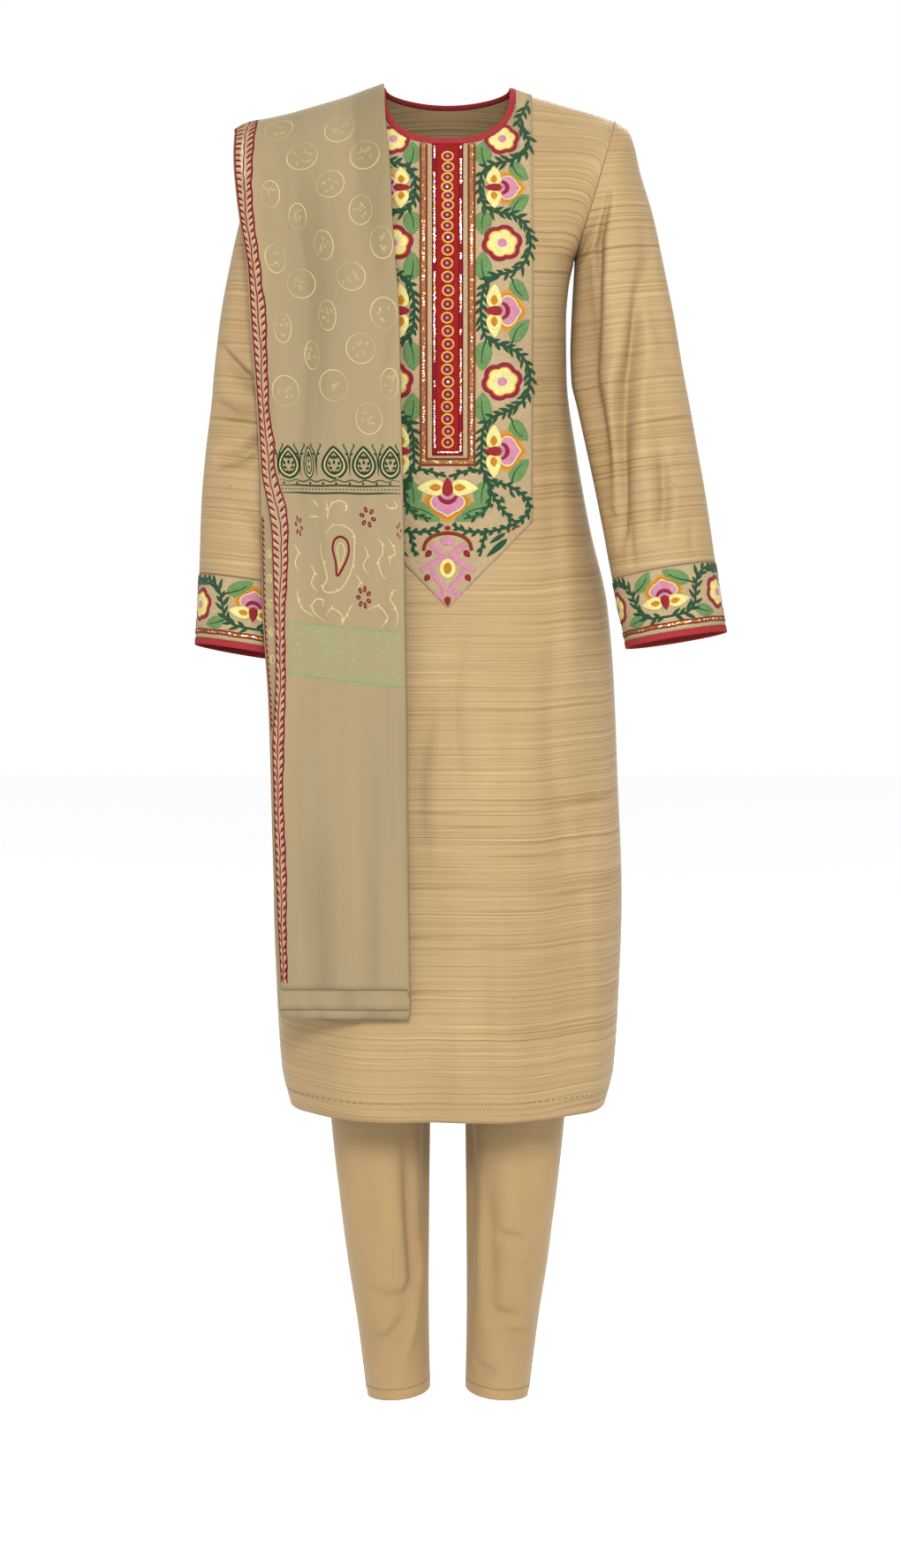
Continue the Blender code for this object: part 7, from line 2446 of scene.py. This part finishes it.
def print_line(work, thread, knots, width, points=40, level=PRINT_LEVEL, closed=False):
    """A printed line with soft ends."""
    path = smooth_path(in_metres(knots), points, closed)
    if closed:
        path = np.concatenate([path, path[:1]])
        widths = np.full(len(path), width * MM)
    else:
        ends = np.minimum(np.arange(points), np.arange(points)[::-1]) / (points * SOFT_END)
        widths = width * MM * (END_WIDTH + (1 - END_WIDTH) * np.clip(ends, 0, 1))
    work.stripe(thread, path, widths, level)


def print_leaf(work, thread, base, angle, length, width, level=PRINT_LEVEL):
    """A small printed leaf; angle 0 points down the cloth."""
    outline = turned(pointed_petal(width * MM, length * MM, 10), -angle, in_metres(base))
    work.dab(thread, outline, level)


def print_border(work, rng, end):
    """The leafy border along the outer edge: three lines and slanting strokes."""
    downs = np.arange(0.0, end, BORDER_STEP)
    edge = profile_at(BORDER_EDGE, downs)
    print_wash(work, "print_ground", np.full(len(downs), 0.6), edge, downs, WASH_LEVEL, 7)
    middle = profile_at(BORDER_MIDDLE, downs) + 0.5 * np.sin(downs * 0.11) + 0.3 * np.sin(downs * 0.37)
    ripple = 0.35 * np.sin(downs * 0.21) + 0.2 * np.sin(downs * 0.67 + 1)
    for line, width in ((BORDER_LINE + 0 * ripple, 1.6), (middle, 1.2), (edge - 0.7 + ripple, 1.7)):
        path = np.stack([line, downs], axis=-1) * MM
        work.stripe("print_maroon", path, width * MM * (0.9 + 0.2 * rng.random(len(path))), PRINT_LEVEL)
    place = BORDER_START
    while place < end - BORDER_END_CLEAR:
        low, centre, high = BORDER_LINE, profile_at(BORDER_MIDDLE, place + 4), profile_at(BORDER_EDGE, place)
        for start, stop in ((low, centre - 0.9), (high - 0.7, centre + 0.9)):
            drop = uneven(rng, 7.0, 1.6)
            lean = math.atan2(stop - start, drop)
            length = math.hypot(stop - start, drop) * 0.86
            base = (start, place + 0.9 * rng.random())
            print_leaf(work, "print_maroon", base, lean, length, uneven(rng, 2.3, 0.5))
            if rng.random() < PALE_LEAF_CHANCE:
                pale = (start + (stop - start) * 0.15, base[1] + 4.2)
                print_leaf(work, "print_white", pale, lean, length * 0.62, 1.1, PALE_LEVEL)
        place += uneven(rng, 7.6, 1.3)
    # Painted highlight: a pale wash along the border's middle stands in for the lamp's glare on the pale
    # print.
    pale = np.linspace(PAINTED_GLARE_TOP, PAINTED_GLARE_FOOT, 20)
    middle = profile_at(BORDER_MIDDLE, pale)
    swell = PAINTED_GLARE_SWELL * np.sin(HALF_TURN * (pale - PAINTED_GLARE_TOP) / (PAINTED_GLARE_FOOT - PAINTED_GLARE_TOP)) ** 0.7
    print_wash(work, "print_white", middle - swell * 1.25, middle + swell * 0.75, pale, PALE_LEVEL, 5)


def print_medallion(work, rng, across, down, half_width, half_length):
    """A pale ring with small curls inside."""
    half = np.array([half_width, half_length])
    angles = np.linspace(0, FULL_TURN, 41)
    phase = FULL_TURN * rng.random()
    wear = 0.35 + 0.65 * np.clip(0.6 + np.cos(angles - phase), 0, 1)
    work.stripe("print_pale", (circle(angles) * half + (across, down)) * MM, 1.0 * MM * wear, PALE_LEVEL)
    for _ in range(MEDALLION_CURLS):
        spot = np.array([across, down]) + (rng.random(2) - 0.5) * half * 1.05
        curl = np.linspace(0, 3.6, 9)
        turn = 6.3 * rng.random()
        reach = 2.1 * (1 - curl / 6)
        path = spot + circle(curl + turn) * reach[:, None]
        work.stripe("print_pale", path * MM, 0.55 * MM, PALE_LEVEL)


def print_arch(work, across, width):
    """A pointed arch of the printed band, with leaf marks inside."""
    height = ARCH_FOOT - ARCH_TOP
    flip = np.array([1.0, -1.0])
    for wide, tall, rise, thread, line in ARCH_LINES:
        outline = pointed_petal(width * wide, height * tall, 36, 0.40) * flip
        outline = outline + np.array([across, ARCH_FOOT - rise])
        path = np.concatenate([outline, outline[:1]]) * MM
        work.stripe(thread, path, min(line, width * 0.12) * MM, PRINT_LEVEL)
    if width < NARROW_ARCH:
        for rise in (0.3, 0.5, 0.66):
            print_leaf(work, "print_green", (across, ARCH_FOOT - height * rise), HALF_TURN, 3.4, 1.8)
        return
    for aside, rise, lean in ARCH_MARKS:
        base = (across + aside * width, ARCH_FOOT - rise * height)
        print_leaf(work, "print_green", base, HALF_TURN + lean, length=4.6, width=2.6)
    knots = [(across + aside * width, ARCH_FOOT - rise * height) for aside, rise in ARCH_CROWN]
    print_line(work, "print_green", knots, width=1.4, points=30)


def curl_stems():
    """Places of the curls' stems, in the gaps beside the arches."""
    stems = []
    for (here, wide), (there, _) in zip([(14, 10)] + ARCHES, ARCHES + [(152, 10)]):
        gap = here + wide / 2 + 0.5 if here > 14 else BAND_LEFT
        stem = (gap + (there - (21 if there > 140 else 10))) / 2 if there < 152 else gap
        stems.append(min(max(stem, gap), gap + 2.5))
    return stems


def print_band(work, rng):
    """The band of arches with its lines and dots."""
    for arch in ARCHES:
        print_arch(work, arch.across, arch.width)
    for stem in curl_stems():
        for side in (1, -1):
            knots = [(stem + side * aside, down) for aside, down in CURL]
            print_line(work, "print_green", knots, width=1.1, points=24)
            print_leaf(work, "print_green", (stem + side * 1.2, 407), -side * 0.9 + HALF_TURN, 4.0, 1.7)
    scallop = [(across, SCALLOP_DOWN + 1.0 * math.cos(across * 0.42))
               for across in np.linspace(BAND_LEFT, BAND_RIGHT, 50)]
    print_line(work, "print_green", scallop, width=1.1, points=160)
    for down in BAND_LINES:
        knots = [(across, down + 0.3 * math.sin(across * 0.13)) for across in np.linspace(19, 149.5, 24)]
        print_line(work, "print_green", knots, width=1.7, points=120)
    for across in np.arange(21, 149, 3.7):
        thread = "print_green" if rng.random() < 0.6 else "print_maroon"
        spot = turned(oval(0.0014, 0.0018, 8), rng.random(), in_metres((across, DOTS_DOWN)))
        work.dab(thread, spot, PRINT_LEVEL)
    for across in np.arange(24, 148, 14.2):
        print_leaf(work, "print_green", (across, 437.6), HALF_TURN, length=3.0, width=2.4)


def print_field(work):
    """Ring flowers, a paisley loop and pale scrolls below the band."""
    for across, down, half_width, half_length, petals in RING_FLOWERS:
        for k in range(petals):
            angle = FULL_TURN * (k + 0.25) / petals
            spot = np.array([across + PETAL_REACH * half_width * math.sin(angle),
                             down + PETAL_REACH * half_length * math.cos(angle)])
            petal = turned(oval(4.2, 6.2, 14), -angle) * [half_width / 11.5, half_length / 12.5]
            work.dab("print_maroon", (spot + petal) * MM, PRINT_LEVEL)
            work.dab("print_ground", (spot + petal * PETAL_HEART) * MM, HEART_LEVEL)
    print_line(work, "print_maroon", LOOP, 2.3, 60, closed=True)
    inner = LOOP_MIDDLE + (np.array(LOOP) - LOOP_MIDDLE) * LOOP_INNER
    print_line(work, "print_pale", inner, 1.0, 40, closed=True)
    for scroll in PALE_SCROLLS:
        print_line(work, "print_pale", scroll, 1.25, 12 * len(scroll))
        knots = np.asarray(scroll, dtype=float)
        for k in range(1, len(knots) - 1, 2):
            run = knots[k + 1] - knots[k - 1]
            angle = math.atan2(run[0], run[1]) + (0.8 if k % 4 == 1 else -0.8)
            print_leaf(work, "print_pale", knots[k], angle, 4.2, 1.5, PALE_LEVEL)


def print_glitter(work, rng):
    """A faint green band of glitter between two uneven lines."""
    acrosses = np.linspace(15.5, 149.2, GLITTER_COLUMNS)
    top = np.interp(acrosses, *np.array(GLITTER_TOP, dtype=float).T)
    foot = np.interp(acrosses, *np.array(GLITTER_FOOT, dtype=float).T)
    downs = top[:, None] + (foot - top)[:, None] * np.linspace(0, 1, GLITTER_ROWS)
    flat = np.stack([np.broadcast_to(acrosses[:, None], downs.shape), downs], axis=-1) * MM
    work.wash("glitter_ground", flat, WASH_LEVEL)
    for edge, width in ((top, 1.5), (foot, 1.8)):
        path = np.stack([acrosses, edge + 0.3 * np.sin(acrosses * 0.5)], axis=-1) * MM
        work.stripe("glitter", path, width * MM * (0.6 + 0.6 * rng.random(GLITTER_COLUMNS)), PRINT_LEVEL)
    for _ in range(GLITTER_SPECKS):
        across = uneven(rng, 17, 131)
        share = rng.random()
        down = np.interp(across, acrosses, top) * (1 - share) + np.interp(across, acrosses, foot) * share
        thread = "print_pale" if rng.random() < 0.55 else "glitter"
        size = uneven(rng, 0.0005, 0.0007)
        work.dab(thread, oval(size, size, 5) + in_metres((across, down)), PRINT_LEVEL)


def print_under_strip(work, rng):
    """The edge of the layer beneath, where it shows beside the top one."""
    downs = np.linspace(UNDER_TOP, UNDER_FOOT, 60)
    work.stripe("print_maroon", np.stack([np.full(60, 0.9), downs], axis=-1) * MM, 0.0013, PALE_LEVEL)
    for down in np.arange(UNDER_TOP + 2, UNDER_FOOT - 4, 6.4):
        print_leaf(work, "print_maroon", (BORDER_LINE, down), 0.55, 5.4, 1.7, PALE_LEVEL)
    for down in UNDER_MEDALLIONS:
        print_medallion(work, rng, 8.0, down, 2.6, 4.2)


def print_dupatta(name, grid, normals, sizes, way, under=False):
    """Print one fall of the dupatta: way 1 is down the front, -1 down the back."""
    rng = np.random.default_rng(sizes.seed + (3 if way > 0 else 4) + (2 if under else 0))
    along = row_distances(grid)
    surface = GridSurface(grid, normals, np.array(LAYER_SHARES) * PRINT_WIDTH, along)
    ridge = along[RIDGE_ROW]
    reach = ridge if way > 0 else along[-1] - ridge

    def on_cloth(flat):
        return np.stack([flat[:, 0], ridge - way * flat[:, 1]], axis=-1)

    def within(flat):
        kept = flat.copy()
        kept[:, 0] = np.clip(kept[:, 0], 0.0002, PRINT_WIDTH - 0.0003)
        return kept

    work = Needlework(surface, on_cloth, lift=DUPATTA_WALL / 2 - PRINT_SINK, keep=within)
    if under:
        print_under_strip(work, rng)
    else:
        print_border(work, rng, reach * 1000 - 3)
        for medallion in MEDALLIONS:
            print_medallion(work, rng, *medallion)
        print_band(work, rng)
        print_field(work)
        print_glitter(work, rng)
    return work.build(name, "chiffon")


def make_dupatta(colours, sizes):
    """The folded dupatta, one sheet in four layers over the right shoulder."""
    grid = dupatta_grid()
    normals = grid_normals(grid)
    if normals[TOP_LAYER_PROBE][1] > 0:
        normals = -normals
    shell_grid = grid + normals * DUPATTA_WALL / 2
    sheet = cloth_piece("dupatta_cloth", shell_grid, normals, chiffon_material(colours),
                        ["dupatta_front", "dupatta_shoulder", "dupatta_back"], DUPATTA_WALL)
    columns = len(LAYER_SHARES)
    top, under = (slice(0, columns), slice(columns + 1, 2 * columns + 1))
    prints = [
        print_dupatta("dupatta_print_front", grid[:, top], normals[:, top], sizes, 1),
        print_dupatta("dupatta_print_back", grid[:, top], normals[:, top], sizes, -1),
        print_dupatta("dupatta_print_under", grid[:, under][:, ::-1], -normals[:, under][:, ::-1],
                      sizes, 1, under=True)]


# ---------------------------------------------------------------- the stage
CAMERA_PLACE = (0.003, -3.7, -0.3165)
CAMERA_PITCH = 6.45          # degrees down
CAMERA_LENS = 79.45
SENSOR = 36.0
VIEW_GAMMA = 0.8
FLOOR_SIZE = 14
AIM = (0.0, 0.0, -0.6)
Lamp = namedtuple("Lamp", "name place size power")
LAMPS = [
    Lamp("key_lamp", (0.1, -3.4, 1.05), 0.9, 102.0),
    Lamp("back_lamp", (0.6, 2.4, 1.4), 1.6, 55.0),
]


def make_stage():
    """A pale floor, a white surround, soft lamps and the camera."""
    bpy.ops.mesh.primitive_plane_add(size=FLOOR_SIZE, location=(0, 0, FLOOR_Z))
    floor = bpy.context.object
    floor.name = "floor"
    material, _, shader = shader_tree("pale_floor")
    shader.inputs["Base Color"].default_value = (0.96, 0.96, 0.96, 1)
    shader.inputs["Roughness"].default_value = 0.9
    floor.data.materials.append(material)
    world = bpy.data.worlds.new("studio")
    bpy.context.scene.world = world
    world.use_nodes = True
    background = world.node_tree.nodes["Background"]
    background.inputs["Color"].default_value = (1.0, 1.0, 1.0, 1)
    background.inputs["Strength"].default_value = 1.0
    for name, place, size, power in LAMPS:
        lamp = bpy.data.lights.new(name, "AREA")
        lamp.size = size
        lamp.energy = power
        holder = bpy.data.objects.new(name, lamp)
        holder.location = place
        aim = Vector(AIM) - Vector(place)
        holder.rotation_euler = aim.to_track_quat("-Z", "Y").to_euler()
        bpy.context.scene.collection.objects.link(holder)
    camera = bpy.data.cameras.new("camera")
    camera.sensor_width = SENSOR
    camera.lens = CAMERA_LENS
    holder = bpy.data.objects.new("camera", camera)
    holder.location = CAMERA_PLACE
    holder.rotation_euler = (math.radians(90 - CAMERA_PITCH), 0, 0)
    bpy.context.scene.collection.objects.link(holder)
    bpy.context.scene.camera = holder
    view = bpy.context.scene.view_settings
    view.view_transform = "Standard"
    view.gamma = VIEW_GAMMA


# ---------------------------------------------------------------- operators
def settings():
    """The scene's adjustable values."""
    return bpy.context.scene.suit_colours, bpy.context.scene.suit_sizes


class SUIT_OT_kameez(Operator):
    """Make the kameez's front and back"""
    bl_idname = "suit.kameez"
    bl_label = "Kameez"

    def execute(self, context):
        colours, sizes = settings()
        make_threads(colours)
        make_kameez(colours, sizes)
        return {"FINISHED"}


class SUIT_OT_neck_panel(Operator):
    """Make the embroidered neck panel, its band, braid and binding"""
    bl_idname = "suit.neck_panel"
    bl_label = "Neck panel"

    def execute(self, context):
        colours, sizes = settings()
        make_bib(colours, sizes)
        make_neck_binding(colours)
        return {"FINISHED"}


class SUIT_OT_sleeves(Operator):
    """Make both sleeves with their embroidered cuffs"""
    bl_idname = "suit.sleeves"
    bl_label = "Sleeves"

    def execute(self, context):
        colours, sizes = settings()
        silk = bpy.data.materials["raw_silk_cloth"]
        cotton = cotton_material("cuff_cotton", colours.bib)
        red = cotton_material("cuff_binding_cotton", colours.binding)
        for name in ("left", "right"):
            make_sleeve(name, sizes, silk, cotton, red)
        return {"FINISHED"}


class SUIT_OT_trousers(Operator):
    """Make the trousers"""
    bl_idname = "suit.trousers"
    bl_label = "Trousers"

    def execute(self, context):
        make_trousers(*settings())
        return {"FINISHED"}


class SUIT_OT_dupatta(Operator):
    """Make the folded dupatta with its prints"""
    bl_idname = "suit.dupatta"
    bl_label = "Dupatta"

    def execute(self, context):
        make_dupatta(*settings())
        return {"FINISHED"}


class SUIT_OT_stage(Operator):
    """Make the floor, the lamps and the camera"""
    bl_idname = "suit.stage"
    bl_label = "Stage"

    def execute(self, context):
        make_stage()
        return {"FINISHED"}


OPERATORS = (SUIT_OT_kameez, SUIT_OT_neck_panel, SUIT_OT_sleeves, SUIT_OT_trousers,
             SUIT_OT_dupatta, SUIT_OT_stage)


class SUIT_PT_panel(Panel):
    """Lists the suit's values and its makers"""
    bl_label = "Salwar kameez suit"
    bl_idname = "SUIT_PT_panel"
    bl_space_type = "VIEW_3D"
    bl_region_type = "UI"
    bl_category = "Suit"

    def draw(self, context):
        for group in (context.scene.suit_colours, context.scene.suit_sizes):
            box = self.layout.box()
            for name in group.__annotations__:
                box.prop(group, name)
        for operator in OPERATORS:
            self.layout.operator(operator.bl_idname)


CLASSES = (SuitColours, SuitSizes) + OPERATORS + (SUIT_PT_panel,)


def register():
    for made in CLASSES:
        bpy.utils.register_class(made)
    bpy.types.Scene.suit_colours = PointerProperty(type=SuitColours)
    bpy.types.Scene.suit_sizes = PointerProperty(type=SuitSizes)


def unregister():
    del bpy.types.Scene.suit_sizes
    del bpy.types.Scene.suit_colours
    for made in reversed(CLASSES):
        bpy.utils.unregister_class(made)


def main():
    """Register the add-on and make everything in order."""
    register()
    bpy.ops.suit.kameez()
    bpy.ops.suit.neck_panel()
    bpy.ops.suit.sleeves()
    bpy.ops.suit.trousers()
    bpy.ops.suit.dupatta()
    bpy.ops.suit.stage()


if __name__ == "__main__":
    main()
